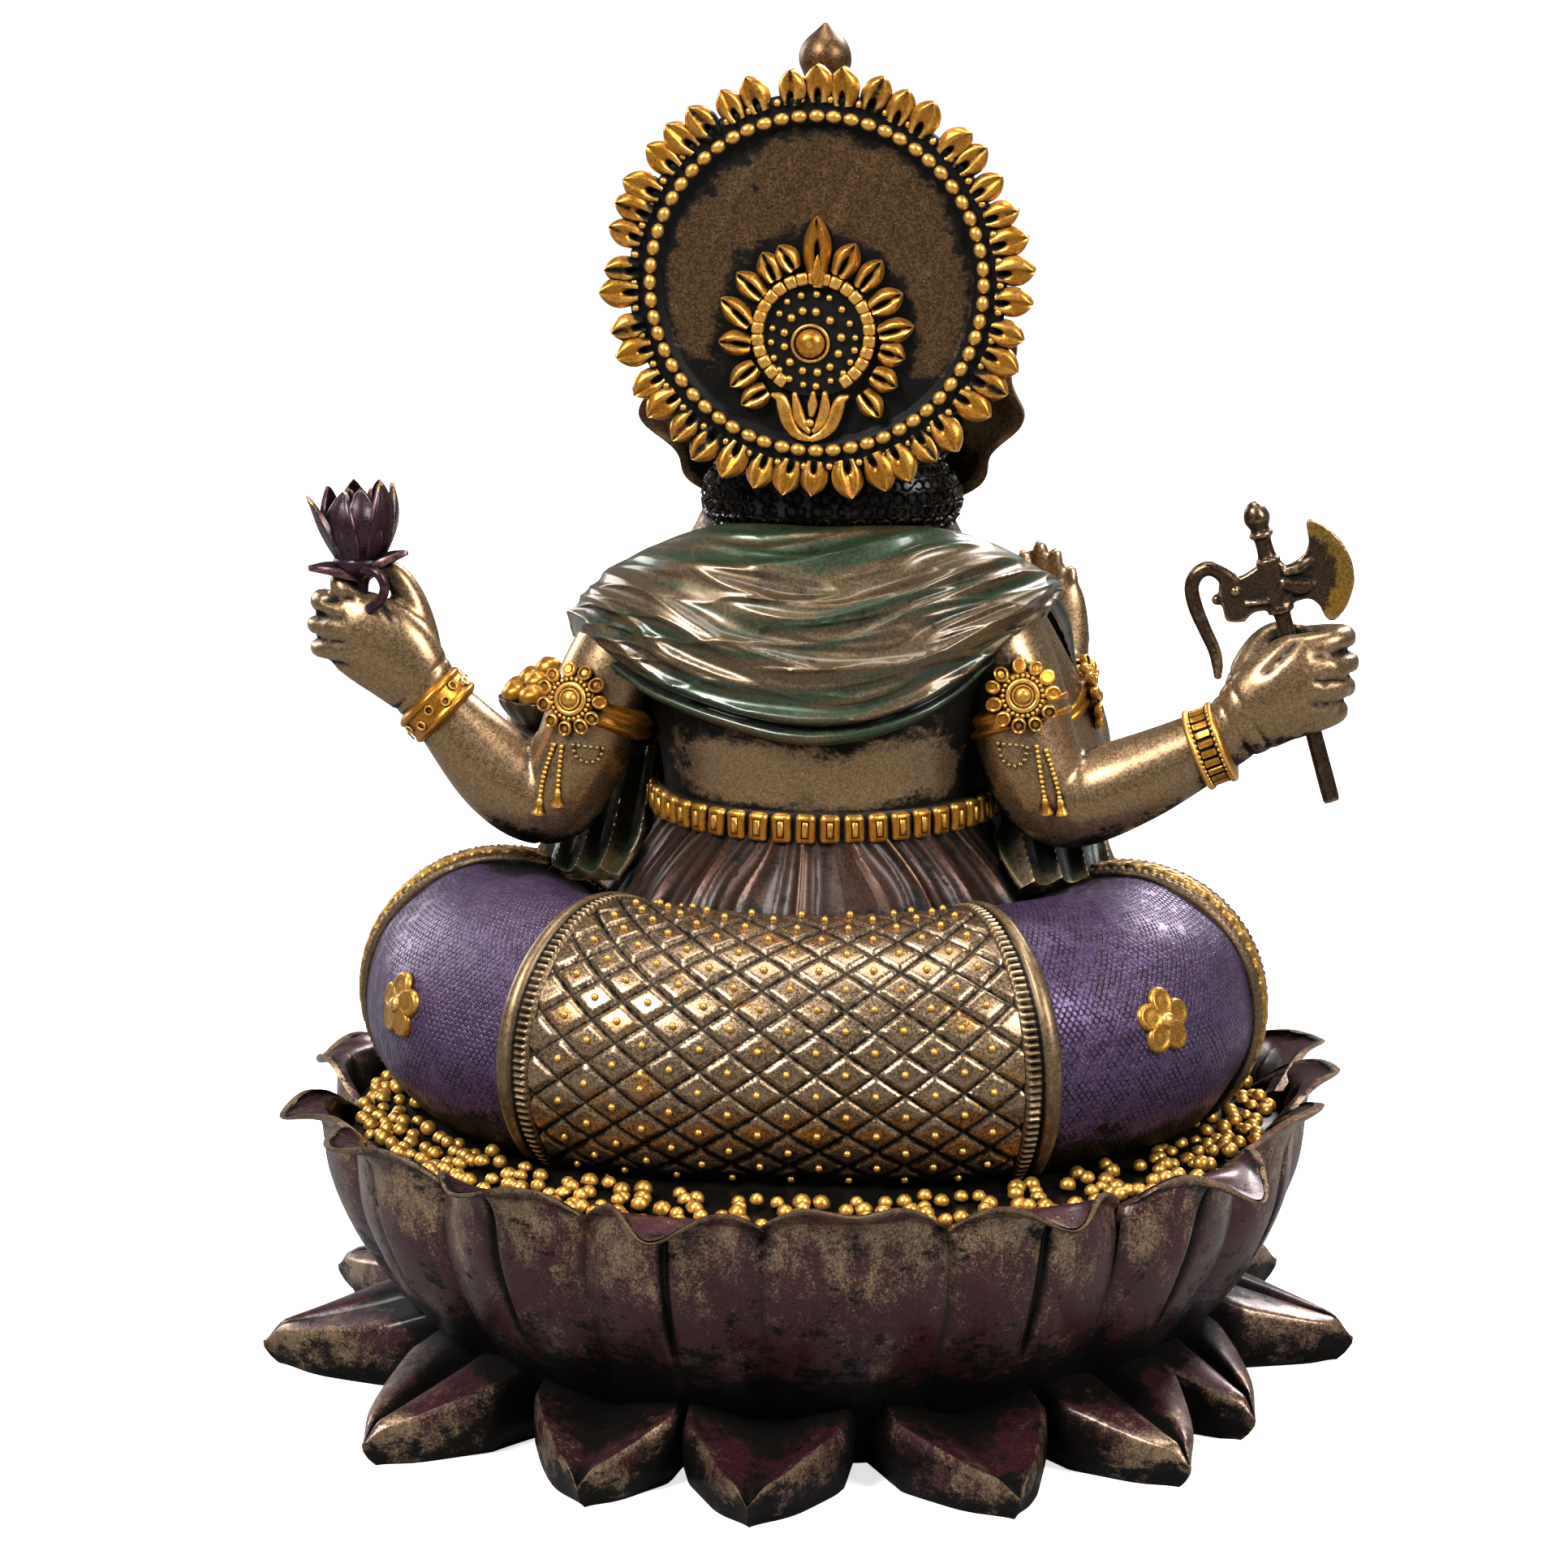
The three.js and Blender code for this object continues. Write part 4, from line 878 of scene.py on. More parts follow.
def seat(radius):
    """The seat's rough dark top, and the gold beads heaped on its rim."""
    angles = np.linspace(0, 2 * math.pi, 181)[:-1]
    reaches = np.array([70.5, 69, 67, 65, 63, 61, 59, 57, 55, 50, 44])
    r, a = np.meshgrid(reaches, angles, indexing="ij")
    r = r - 5.4 * from_petal_middle(a) ** 2.2 * smooth_step(58, 70.5, r)
    top = 38.2 + 0.10 * (66 - r).clip(0) + 0 * a
    top[0] = 36.8
    grid = np.stack([r * np.cos(a), r * np.sin(a), top], -1)
    grid[..., 2] += 0.45 * wobble(grid, 1.6, 3) * (r < 68)
    foot = np.stack([54 * np.cos(angles), 54 * np.sin(angles), np.full(len(angles), 1.0)], -1)
    waist = np.stack([64.0 * np.cos(angles), 64.0 * np.sin(angles), np.full(len(angles), 31.0)], -1)
    ground = np.stack([50 * np.cos(angles), 50 * np.sin(angles), np.zeros(len(angles))], -1)
    core = object_of("seat_core", closed_tube(np.concatenate([ground[None], foot[None], waist[None], grid])))
    finished(core, "seat")
    places = []
    for row, reach in enumerate((67.4, 64.9, 62.5, 60.0, 57.4)):
        count = int(2 * math.pi * reach / (2 * radius))
        number = np.arange(count)
        jitter = scatter(number, row)
        turn = 2 * math.pi * (number + 0.5 * row + 0.5 * jitter) / count
        away = reach + 1.5 * (scatter(number, row, 5) - 0.5) - 2.0 * from_petal_middle(turn) ** 2 * (row == 0)
        height = 39.3 + 0.11 * (66 - away).clip(0) + 1.1 * (scatter(number, row, 9) - 0.5)
        size = radius * (0.68 + 0.27 * scatter(number, row, 7))
        centres = np.stack([away * np.cos(turn), away * np.sin(turn), height], -1)
        clear = roll_clear(centres, 0.5 * radius)
        kept = (scatter(number, row, 11) > 0.14 + 0.06 * row) & clear
        tilt = [facing((0.2 * scatter(n, 1) - 0.1, 0.2 * scatter(n, 2) - 0.1, 1)) for n in number]
        places += [(centres[n], tilt[n], size[n]) for n in number[kept]]
    bead = bead_shape()
    beads = object_of("seat_beads", copies(bead, places))
    # Painted shade on each bead's lower side; a fifth of the beads are darker at random
    under = 0.6 * smooth_step(0.35, -0.7, bead[0][:, 2])
    worn = np.where(scatter(np.arange(len(places)), 31) > 0.8, 0.3, 0.0)
    set_mask(beads, "grime", (worn[:, None] + under[None]).ravel())
    finished(beads, "gold", angle=80)
    return core, beads


# The wrapped legs

class Roll:
    """The surface of the wrapped hips and legs, by millimetres along its back and round its section."""
    RADIUS = 20.0

    def __init__(self):
        shares = np.linspace(0, 1, 801)
        data = spline(ROLL, shares)
        self.centres, self.sizes = data[:, :3], data[:, 3:5]
        self.ways, self.up, self.front = path_frames(self.centres, Z_AXIS)
        back = self.centres - self.front * self.sizes[:, 1:]
        steps = np.linalg.norm(np.diff(back, axis=0), axis=1)
        length = np.concatenate([[0], np.cumsum(steps)])
        self.along = length - np.interp(0, back[:, 0], length)
        self.back_x = back[:, 0]

    def along_at_x(self, x):
        """How far along the back the outermost line passes a given x, between the knees."""
        middle = slice(200, 601)
        return float(np.interp(x, self.back_x[middle], self.along[middle]))

    def at(self, along, turn, height=0.0):
        """Points at `along` and `turn` (0 at the back, a quarter turn up on top), raised by `height`."""
        along, turn = np.broadcast_arrays(np.asarray(along, float), np.asarray(turn, float))
        index = np.interp(along, self.along, np.arange(len(self.along)))
        low = np.minimum(index.astype(int), len(self.along) - 2)
        f = (index - low)[..., None]

        def blend(table):
            return table[low] * (1 - f) + table[low + 1] * f
        centre, size, up, front = (blend(t) for t in (self.centres, self.sizes, self.up, self.front))
        rise, back = np.sin(turn)[..., None], np.cos(turn)[..., None]
        point = centre + up * size[..., :1] * rise - front * size[..., 1:] * back
        out = unit(up * rise / size[..., :1] - front * back / size[..., 1:])
        return point + out * np.asarray(height)[..., None], out


def roll_piece(roll, name, material, start, end, spacing, turns, relief, masks=None):
    """A closed stretch of the roll between two places along its back."""
    along = np.linspace(start, end, max(3, int(round(abs(end - start) / spacing)) + 1))
    turn, way = np.meshgrid(turns, along)
    points, _ = roll.at(way, turn, relief(way, turn * Roll.RADIUS))
    rings = points if end < start else points[:, ::-1]
    turn, way = (turn, way) if end < start else (turn[:, ::-1], way[:, ::-1])
    first = roll.at(along[0], 0.0)[0] * 0
    first = (points[0].min(0) + points[0].max(0)) / 2
    last = (points[-1].min(0) + points[-1].max(0)) / 2
    piece = object_of(name, closed_tube(rings, first, last))
    masks = dict(masks or {})
    # Painted shade along the roll's underside and over its top, where the trunk and skirt sit on it
    masks["grime"] = lambda w, r: 0.5 * smooth_step(0.0, -18.0, r) * (r > -60) + 0.22 * smooth_step(20, 30, r) * (r < 60)
    for key, rule in masks.items():
        set_mask(piece, key, np.concatenate([rule(way, turn * Roll.RADIUS).ravel(), [0.0, 0.0]]))
    return finished(piece, material, angle=60)


def section_turns(fine, coarse, low=-1.75, high=2.5):
    """Turns round the section, close together where the back shows and far apart in front."""
    back = np.linspace(low, high, int((high - low) * Roll.RADIUS / fine))
    front = np.linspace(high, low + 2 * math.pi, int((low + 2 * math.pi - high) * Roll.RADIUS / coarse) + 1)[1:-1]
    return np.concatenate([back, front])


LATTICE_BEAD = (2.6, 11.5)


def lattice_lines(along, around, width, height):
    a = (along - LATTICE_BEAD[0]) / width + (around - LATTICE_BEAD[1]) / height
    b = (along - LATTICE_BEAD[0]) / width - (around - LATTICE_BEAD[1]) / height
    return a, b


def line_distance(values):
    """Distance from the nearest whole number and a half."""
    return np.abs(values - np.floor(values) - 0.5)


def roll_pieces(sizes):
    roll = Roll()
    width, height = sizes.diamond_width / MM, sizes.diamond_height / MM
    left, right = roll.along_at_x(35.6), roll.along_at_x(-34.4)

    def pillow(way, around):
        a, b = lattice_lines(way, around, width, height)
        nearest = np.minimum(line_distance(a), line_distance(b))
        return 0.75 * smooth_step(0.0, 0.12, nearest) - 0.3
    turns = section_turns(0.46, 2.8)
    made = [roll_piece(roll, "lattice_cloth", "lattice", right, left, 0.46, turns, pillow, {
        "diamond_a": lambda w, r: lattice_lines(w, r, width, height)[0],
        "diamond_b": lambda w, r: lattice_lines(w, r, width, height)[1]})]
    places = []
    for i in range(-12, 13):
        for j in range(-24, 25):
            way = LATTICE_BEAD[0] + width * (i + j) / 2
            around = LATTICE_BEAD[1] + height * (i - j) / 2
            if not (right + 1.0 < way < left - 1.0 and -36 < around < 46):
                continue
            point, out = roll.at(way, around / Roll.RADIUS, 0.52)
            places.append((point, facing(out), (0.56, 0.56, 0.6)))
    beads = object_of("lattice_beads", copies(bead_shape(), places))
    made.append(finished(beads, "gold", angle=80))
    for side, edge in (("left", left), ("right", right)):
        out = 1 if side == "left" else -1
        reach = roll.along_at_x(44.0) if side == "left" else roll.along_at_x(-44.0)
        hem = 86.0 * out

        def ribs(way, around, edge=edge):
            d = np.abs(way - edge)
            ribbed = 0.75 + 0.3 * np.cos(2 * math.pi * around / 1.06) * (np.abs(d - 1.35) < 1.0)
            plain = 1.15 * np.sqrt(np.clip(1 - ((d - 4.3) / 1.45) ** 2, 0, 1))
            gap = np.exp(-((d - 2.7) / 0.22) ** 2) + np.exp(-((d - 0.1) / 0.22) ** 2)
            return np.where(d < 2.8, ribbed, np.maximum(plain, 0.1)) * (1 - 0.8 * gap.clip(0, 1))
        ring_turns = section_turns(0.26, 2.4)
        made.append(roll_piece(roll, f"ribbed_edge_{side}", "band", edge, edge + 5.9 * out, 0.33, ring_turns, ribs))
        cloth_turns = section_turns(0.75, 2.0, -2.4, 2.6)
        made.append(roll_piece(
            roll, f"violet_cloth_{side}", "violet_cloth", edge + 5.7 * out, hem, 0.8, cloth_turns,
            lambda w, r: 0.0 * w + 0.25 * wobble(np.stack([w, r, 0 * w], -1), 14, 5),
            {"along": lambda w, r: w, "round": lambda w, r: r}))

        def braid(way, around, hem=hem):
            d = np.abs(way - hem)
            strand = np.sin(2 * math.pi * around / 5.2)
            first = np.clip(1 - ((d - 4.6 - 1.05 * strand) / 0.85) ** 2, 0, 1) ** 0.5
            second = np.clip(1 - ((d - 4.6 + 1.05 * strand) / 0.85) ** 2, 0, 1) ** 0.5
            cord = sum(np.clip(1 - ((d - c) / 0.55) ** 2, 0, 1) ** 0.5 for c in (0.9, 2.1, 7.2, 8.4))
            twist = 0.85 + 0.25 * np.cos(2 * math.pi * (around / 1.1 + d / 1.4))
            return 0.35 + 1.05 * np.maximum(first, second) + 0.75 * cord * twist
        made.append(roll_piece(
            roll, f"braided_hem_{side}", "band", hem - 0.1 * out, hem + 9.2 * out, 0.34, section_turns(0.46, 1.6, -2.4, 2.9),
            braid, {"paint": lambda w, r, h=hem: ((np.abs(np.abs(w - h) - 4.6) < 2.2) * 0.9)}))
    return roll, made


# Torso, shawl, skirt and belt

def torso_at(turn, height, lift=0.0):
    """Points on the trunk at turns (0 at its left, a quarter turn at its back) and heights, and their outward ways."""
    turn, height = np.broadcast_arrays(np.asarray(turn, float), np.asarray(height, float))
    table = np.array(TORSO, float)
    share = np.interp(height, table[:, 0], np.arange(len(table))) / (len(table) - 1)
    sizes = spline(table[:, 1:], share.ravel()).reshape(*share.shape, 3)
    side, back = np.cos(turn), np.sin(turn)
    reach = np.where(back > 0, sizes[..., 1], -sizes[..., 2])
    point = np.stack([BODY_X + sizes[..., 0] * side, reach * back, height], -1)
    out = unit(np.stack([side / sizes[..., 0], back / reach, 0 * side], -1))
    return point + np.asarray(lift)[..., None] * out, out


def torso():
    turn, height = np.meshgrid(2 * math.pi * np.arange(132) / 132, np.linspace(37, 134, 112))
    points, out = torso_at(turn, height)
    x, y, z = points[..., 0] - BODY_X, points[..., 1], points[..., 2]
    front, back = smooth_step(2, -6, y), smooth_step(-2, 6, y)
    breasts = sum(2.2 * np.exp(-((x - 12.5 * side) / 9) ** 2 - ((z - 107) / 6) ** 2) for side in (1, -1))
    crease = -1.2 * np.exp(-((z - 99 + 0.012 * x ** 2) / 0.9) ** 2) * smooth_step(17, 10, np.abs(x))
    navel = -3.4 * np.exp(-(x / 2.0) ** 2 - ((z - 84) / 1.5) ** 2)
    navel_rim = 0.7 * np.exp(-((np.hypot(x / 2.6, (z - 84) / 2.1) - 1.3) / 0.3) ** 2)
    spine = -0.7 * np.exp(-(x / 1.7) ** 2) * smooth_step(86, 92, z)
    flanks = 0.6 * sum(np.exp(-((x - 9 * side) / 6) ** 2 - ((z - 95) / 6) ** 2) for side in (1, -1))
    points = points + out * (front * (breasts + crease + navel + navel_rim) + back * (spine + flanks))[..., None]
    piece = object_of("torso", closed_tube(points))
    shaded = back * (0.35 * smooth_step(11, 24, np.abs(x)) + 0.3 * smooth_step(95, 101, z) + 0.22 * smooth_step(93, 90, z))
    set_mask(piece, "grime", np.concatenate([shaded.ravel(), [0, 0]]))
    return finished(piece, "skin", angle=70, keep=0.5)


# Crests of the shawl's folds: points (share across, share down), height, and reach above and below in millimetres
SHAWL_FOLDS = [
    ([(0.12, 0.02), (0.26, 0.03), (0.40, 0.06), (0.50, 0.03), (0.60, 0.02)], 0.6, 0.6, 1.1),
    ([(0.30, 0.09), (0.35, 0.106), (0.40, 0.125), (0.43, 0.12), (0.47, 0.088), (0.53, 0.04)], 0.6, 0.5, 1.2),
    ([(0.15, 0.07), (0.23, 0.10), (0.30, 0.15), (0.35, 0.213), (0.40, 0.225), (0.45, 0.19), (0.50, 0.15), (0.54, 0.106),
      (0.59, 0.062), (0.65, 0.02)], 1.25, 1.0, 3.2),
    ([(0.36, 0.235), (0.404, 0.306), (0.446, 0.344), (0.483, 0.369), (0.533, 0.375), (0.583, 0.344), (0.646, 0.281),
      (0.704, 0.18), (0.80, 0.08)], 1.35, 0.9, 2.6),
    ([(0.55, 0.24), (0.567, 0.213), (0.604, 0.163), (0.65, 0.113), (0.74, 0.05)], 0.8, 0.6, 1.6),
    ([(0.41, 0.40), (0.462, 0.432), (0.508, 0.43), (0.558, 0.40), (0.60, 0.357), (0.642, 0.305), (0.692, 0.238),
      (0.76, 0.16)], 0.85, 0.6, 1.8),
    ([(0.55, 0.53), (0.592, 0.475), (0.625, 0.425), (0.662, 0.388), (0.704, 0.338), (0.767, 0.25), (0.858, 0.144),
      (0.95, 0.08)], 1.1, 0.7, 2.2),
    ([(0.16, 0.10), (0.20, 0.16), (0.242, 0.244), (0.304, 0.356), (0.342, 0.431), (0.396, 0.544), (0.438, 0.594),
      (0.487, 0.638), (0.55, 0.669), (0.617, 0.681), (0.679, 0.65), (0.746, 0.575), (0.81, 0.47), (0.88, 0.36)],
     1.7, 1.0, 3.4),
    ([(0.10, 0.12), (0.16, 0.22), (0.237, 0.375), (0.292, 0.463), (0.35, 0.515), (0.396, 0.59), (0.45, 0.66)],
     0.9, 0.7, 1.7),
    ([(0.04, 0.08), (0.12, 0.25), (0.19, 0.36), (0.258, 0.463), (0.308, 0.581), (0.346, 0.688), (0.40, 0.74),
      (0.46, 0.76)], 1.0, 0.7, 2.0),
    ([(0.62, 0.63), (0.658, 0.565), (0.713, 0.51), (0.775, 0.45), (0.85, 0.34), (0.93, 0.25)], 0.9, 0.6, 1.6),
    ([(0.0, 0.20), (0.06, 0.32), (0.12, 0.44), (0.19, 0.55), (0.246, 0.655), (0.287, 0.755), (0.329, 0.835),
      (0.383, 0.872), (0.45, 0.885), (0.517, 0.885), (0.58, 0.89), (0.658, 0.88), (0.746, 0.82), (0.804, 0.74),
      (0.87, 0.62), (0.95, 0.45)], 1.3, 0.9, 2.0),
    ([(0.49, 0.775), (0.525, 0.783), (0.558, 0.80), (0.588, 0.796), (0.64, 0.77)], 0.7, 0.5, 1.2),
    ([(0.28, 0.60), (0.33, 0.70), (0.39, 0.775), (0.45, 0.80)], 0.5, 0.5, 1.2),
]


def shawl_relief(u, v, drop):
    """Height of the shawl's folds, given shares across and down it and its drop in millimetres at each column."""
    total = 0 * u
    for crest, height, above, below in SHAWL_FOLDS:
        line = spline(np.array(crest), np.linspace(0, 1, 60))
        away = (v - np.interp(u, line[:, 0], line[:, 1])) * drop
        reach = np.where(away < 0, above, below)
        ends = smooth_step(crest[0][0] - 0.03, crest[0][0] + 0.07, u)
        if crest[-1][0] < 0.9:
            ends = ends * (1 - smooth_step(crest[-1][0] - 0.07, crest[-1][0] + 0.03, u))
        total = total + height * ends * np.exp(-(np.abs(away) / reach) ** 1.35)
    return total


def shawl():
    across, down = np.linspace(0, 1, 230), np.linspace(0, 1, 118)
    neck, middle, hem = (spline(row, across)[None] for row in (SHAWL_NECK, SHAWL_MIDDLE, SHAWL_HEM))
    v = down[:, None, None]
    place = neck * (1 - v) * (1 - 2 * v) + middle * 4 * v * (1 - v) + hem * v * (2 * v - 1)
    out = place - (BODY_X, 2, 112)
    out[..., 2] *= 0.3
    out = unit(out)
    drop = np.linalg.norm(np.diff(place, axis=0), axis=-1).sum(0)[None]
    u, w = np.meshgrid(across, down)
    relief = shawl_relief(u, w, drop)
    from_hem = (1 - w) * drop
    roll = 0.9 * np.sqrt(np.clip(1 - ((from_hem - 0.9) / 1.0) ** 2, 0, 1)) - 0.8 * np.exp(-((from_hem - 2.3) / 0.5) ** 2)
    sag = 0.42 * np.sin(math.pi * u) ** 0.8
    streak = np.stack([u * 46, (w - sag) * drop * 3.0, 0 * u], -1)
    crests = (1 - np.abs(wobble(streak, 9, 21))).clip(0) ** 3
    relief = relief + roll + 0.45 * crests * np.sin(math.pi * w) ** 0.5 + 0.12 * wobble(streak, 4.5, 2)
    ends = 1 - np.minimum(smooth_step(0, 0.06, u), smooth_step(1, 0.94, u))
    relief = relief * (1 - ends) - 1.5 * ends ** 2
    outer = place + out * relief[..., None]
    inner = place - out * 1.9
    piece = object_of("shawl", shell(outer, inner))
    green = 0.44 - 0.2 * relief + 0.45 * wobble(streak, 16, 7) + 0.45 * wobble(streak, 5, 9)
    set_mask(piece, "paint", np.concatenate([green.ravel(), green.ravel()]))
    return finished(piece, "shawl", angle=75, keep=0.42)


def hanging_cloth(name, stations, across, folds, shift, outside):
    """A folded end of cloth along stations (x, y, z, half width, half thickness). `outside` is a way it faces."""
    shares = np.linspace(0, 1, 26 * (len(stations) - 1) + 1)
    data = spline(stations, shares)
    centres, wide_half, thick_half = data[:, :3], data[:, 3:4], data[:, 4:5]
    _, wide, thick = path_frames(centres, across)
    if (thick * np.asarray(outside, float)).sum() < 0:
        thick = -thick
    s = np.linspace(-1, 1, 61)[None]
    drift = shift + 1.3 * np.sin(2.2 * shares * math.pi)[:, None]
    fold = 1 - np.abs(np.sin(0.5 * math.pi * folds * s + drift)) ** 0.75
    crown = np.sqrt(np.clip(1 - s ** 2, 0, 1)) ** 0.7
    lift = thick_half * (0.05 + 0.25 * crown + 0.7 * fold * crown ** 0.5)
    outer = centres[:, None] + wide[:, None] * (wide_half * s)[..., None] + thick[:, None] * lift[..., None]
    inner = centres[:, None] + wide[:, None] * (wide_half * s * 0.97)[..., None] \
        - thick[:, None] * (thick_half * (0.5 + 0.1 * s))[..., None]
    piece = object_of(name, shell(outer, inner))
    green = 0.75 - 0.55 * fold + 0.3 * wobble(outer, 7, 4)
    set_mask(piece, "paint", np.concatenate([green.ravel(), green.ravel()]))
    return finished(piece, "shawl", angle=75, keep=0.42)


def skirt():
    """Pleats that fan from the belt onto the wrapped hips in long curves, and lie over the lap in front."""
    fall, turn = np.linspace(0, 1, 60)[:, None], (2 * math.pi * np.arange(680) / 680)[None]
    front = smooth_step(-0.02, -0.4, np.sin(turn))
    top = 87.0 - 11.5 * np.clip(-np.sin(turn), 0, 1) ** 1.3
    height = top - (20.0 + 11.0 * front) * fall
    spread = fall ** 1.5
    from_back = (turn - math.pi / 2 + math.pi) % (2 * math.pi) - math.pi
    swing = from_back * (1 - 0.17 * fall * (1 - front)) - 0.16 * np.sin(math.pi * fall) * np.sign(
        from_back) * smooth_step(0.05, 0.5, np.abs(from_back)) * (1 - front)
    uneven = 0.35 * np.sin(5 * swing + 0.6) + 0.25 * np.sin(11 * swing + 2)
    fold = 1 - np.abs(np.sin(15 * swing + uneven)) ** 0.8
    fine = 1 - np.abs(np.sin(37 * swing + 2 * uneven + 0.7))
    relief = (0.5 + 1.5 * spread * (1 - 0.5 * front)) * fold + 0.35 * fine - 0.4
    reach_x, reach_y = 24.9 + 11.2 * spread + relief, 26.1 + 11.4 * spread + relief
    behind = np.stack([BODY_X + reach_x * np.cos(turn), reach_y * np.sin(turn), height], -1)
    over_belly, _ = torso_at(turn, height, 0.3 + relief)
    piece = object_of("pleated_skirt", closed_tube(behind * (1 - front[..., None]) + over_belly * front[..., None]))
    # Painted shade in the hollows between pleats
    hollow = (0.5 - fold) * 0.9
    set_mask(piece, "dark", np.concatenate([hollow.clip(0, 1).ravel(), [0, 0]]))
    return finished(piece, "skirt", angle=75, keep=0.38)


def take_shape(piece):
    """The points and faces of a template object, which is then removed."""
    points = np.array([tuple(p.co) for p in piece.data.vertices])
    faces = [list(f.vertices) for f in piece.data.polygons]
    bpy.data.objects.remove(piece, do_unlink=True)
    return points, faces


def choose_top(piece):
    """Leaves only the faces that look up and lie highest selected, in edit mode."""
    bpy.ops.object.mode_set(mode="OBJECT")
    high = max(f.center.z for f in piece.data.polygons)
    for part in (*piece.data.vertices, *piece.data.edges):
        part.select = False
    for face in piece.data.polygons:
        face.select = face.normal.z > 0.9 and face.center.z > high - 0.02
    bpy.ops.object.mode_set(mode="EDIT")
    bpy.ops.mesh.select_mode(type="FACE")


def belt_link():
    """One link: a rounded frame with a raised plate and a boss inside, lying flat and facing +Z."""
    deselect()
    bpy.ops.mesh.primitive_cube_add(size=1)
    link = bpy.context.object
    bpy.ops.object.mode_set(mode="EDIT")
    bpy.ops.mesh.select_all(action="SELECT")
    bpy.ops.transform.resize(value=(2.85, 4.3, 1.7))
    bpy.ops.mesh.bevel(offset=0.84, segments=3, profile=0.55, affect="EDGES")
    choose_top(link)
    bpy.ops.mesh.inset(thickness=0.08)
    bpy.ops.transform.translate(value=(0, 0, -0.3))
    bpy.ops.mesh.inset(thickness=0.12)
    bpy.ops.transform.translate(value=(0, 0, 0.5))
    bpy.ops.mesh.inset(thickness=0.2)
    bpy.ops.transform.translate(value=(0, 0, 0.18))
    bpy.ops.object.mode_set(mode="OBJECT")
    return take_shape(link)


def belt_place(turn):
    """Where the belt runs: level across the back and dipping under the belly in front."""
    height = 87.0 - 11.5 * np.clip(-np.sin(turn), 0, 1) ** 1.3
    return torso_at(turn, height, np.full(np.shape(turn), 1.1))


def belt(links):
    turn = 2 * math.pi * np.arange(1441) / 1440
    path, _ = belt_place(turn)
    length = np.concatenate([[0], np.cumsum(np.linalg.norm(np.diff(path, axis=0), axis=1))])
    at = np.interp(length[-1] * (np.arange(links) + 0.5) / links, length, turn)
    centres, ways = belt_place(at)
    tangents = belt_place(at + 0.01)[0] - belt_place(at - 0.01)[0]
    scale = length[-1] / links / 3.4
    places = []
    for i in range(links):
        up = unit(np.cross(ways[i], tangents[i])) + 0.09 * (scatter(i, 3) - 0.5) * unit(tangents[i])
        places.append((centres[i] + 0.3 * ways[i], facing(ways[i], up), (scale, 0.96 + 0.07 * scatter(i, 6), 1)))
    piece = object_of("belt_links", copies(belt_link(), places))
    finished(piece, "gold", angle=60)
    ring, out = belt_place(turn[:-1:4])
    band = [ring + lift * out + (0, 0, rise) for lift, rise in (
        (-2.5, -2.2), (-0.2, -2.2), (0.1, -1.2), (0.1, 1.2), (-0.2, 2.2), (-2.5, 2.2))]
    return finished(object_of("belt_backing", looped(np.stack(band, 1))), "seat", angle=60)


# Arms, hands and feet

def skin_piece(name, shapes, voxel=0.5, smoothing=5, keep=1.0, material="skin", relief=None):
    piece = fused(name, shapes, voxel, smoothing, keep)
    if relief is not None:
        points, normals = points_of(piece), normals_of(piece)
        set_points(piece, points + normals * relief(points)[:, None])
    # Painted shade on the surfaces that face down
    below = -normals_of(piece)[:, 2]
    set_mask(piece, "grime", 0.46 * smooth_step(0.1, 0.9, below))
    return finished(piece, material, angle=80, keep=0.36)


def crease_at(points, centre, way, depth=0.25, width=0.35):
    """A fine crease round a limb, where the plane through `centre` across `way` cuts it."""
    way = unit(way)
    distance = (points - np.asarray(centre, float)) @ way
    near = np.linalg.norm(points - np.asarray(centre, float), axis=1) < 9
    return -depth * np.exp(-(distance / width) ** 2) * near


def finger_gaps(piece, gaps, depth=0.6, width=0.5):
    """Cuts gaps between closed fingers, each from (x, z) to (x, z), and paints shade into them."""
    points, normals = points_of(piece), normals_of(piece)
    cut = np.zeros(len(points))
    for (x0, z0), (x1, z1) in gaps:
        way = np.array([x1 - x0, z1 - z0])
        offset = points[:, [0, 2]] - (x0, z0)
        share = (offset @ way / (way @ way)).clip(0, 1)
        away = np.linalg.norm(offset - share[:, None] * way, axis=1)
        cut = np.maximum(cut, np.exp(-(away / width) ** 2))
    set_points(piece, points - normals * (depth * cut)[:, None])
    set_mask(piece, "dark", (1.3 * cut - 0.2).clip(0, 1))
    measure_edges(piece)
    return piece


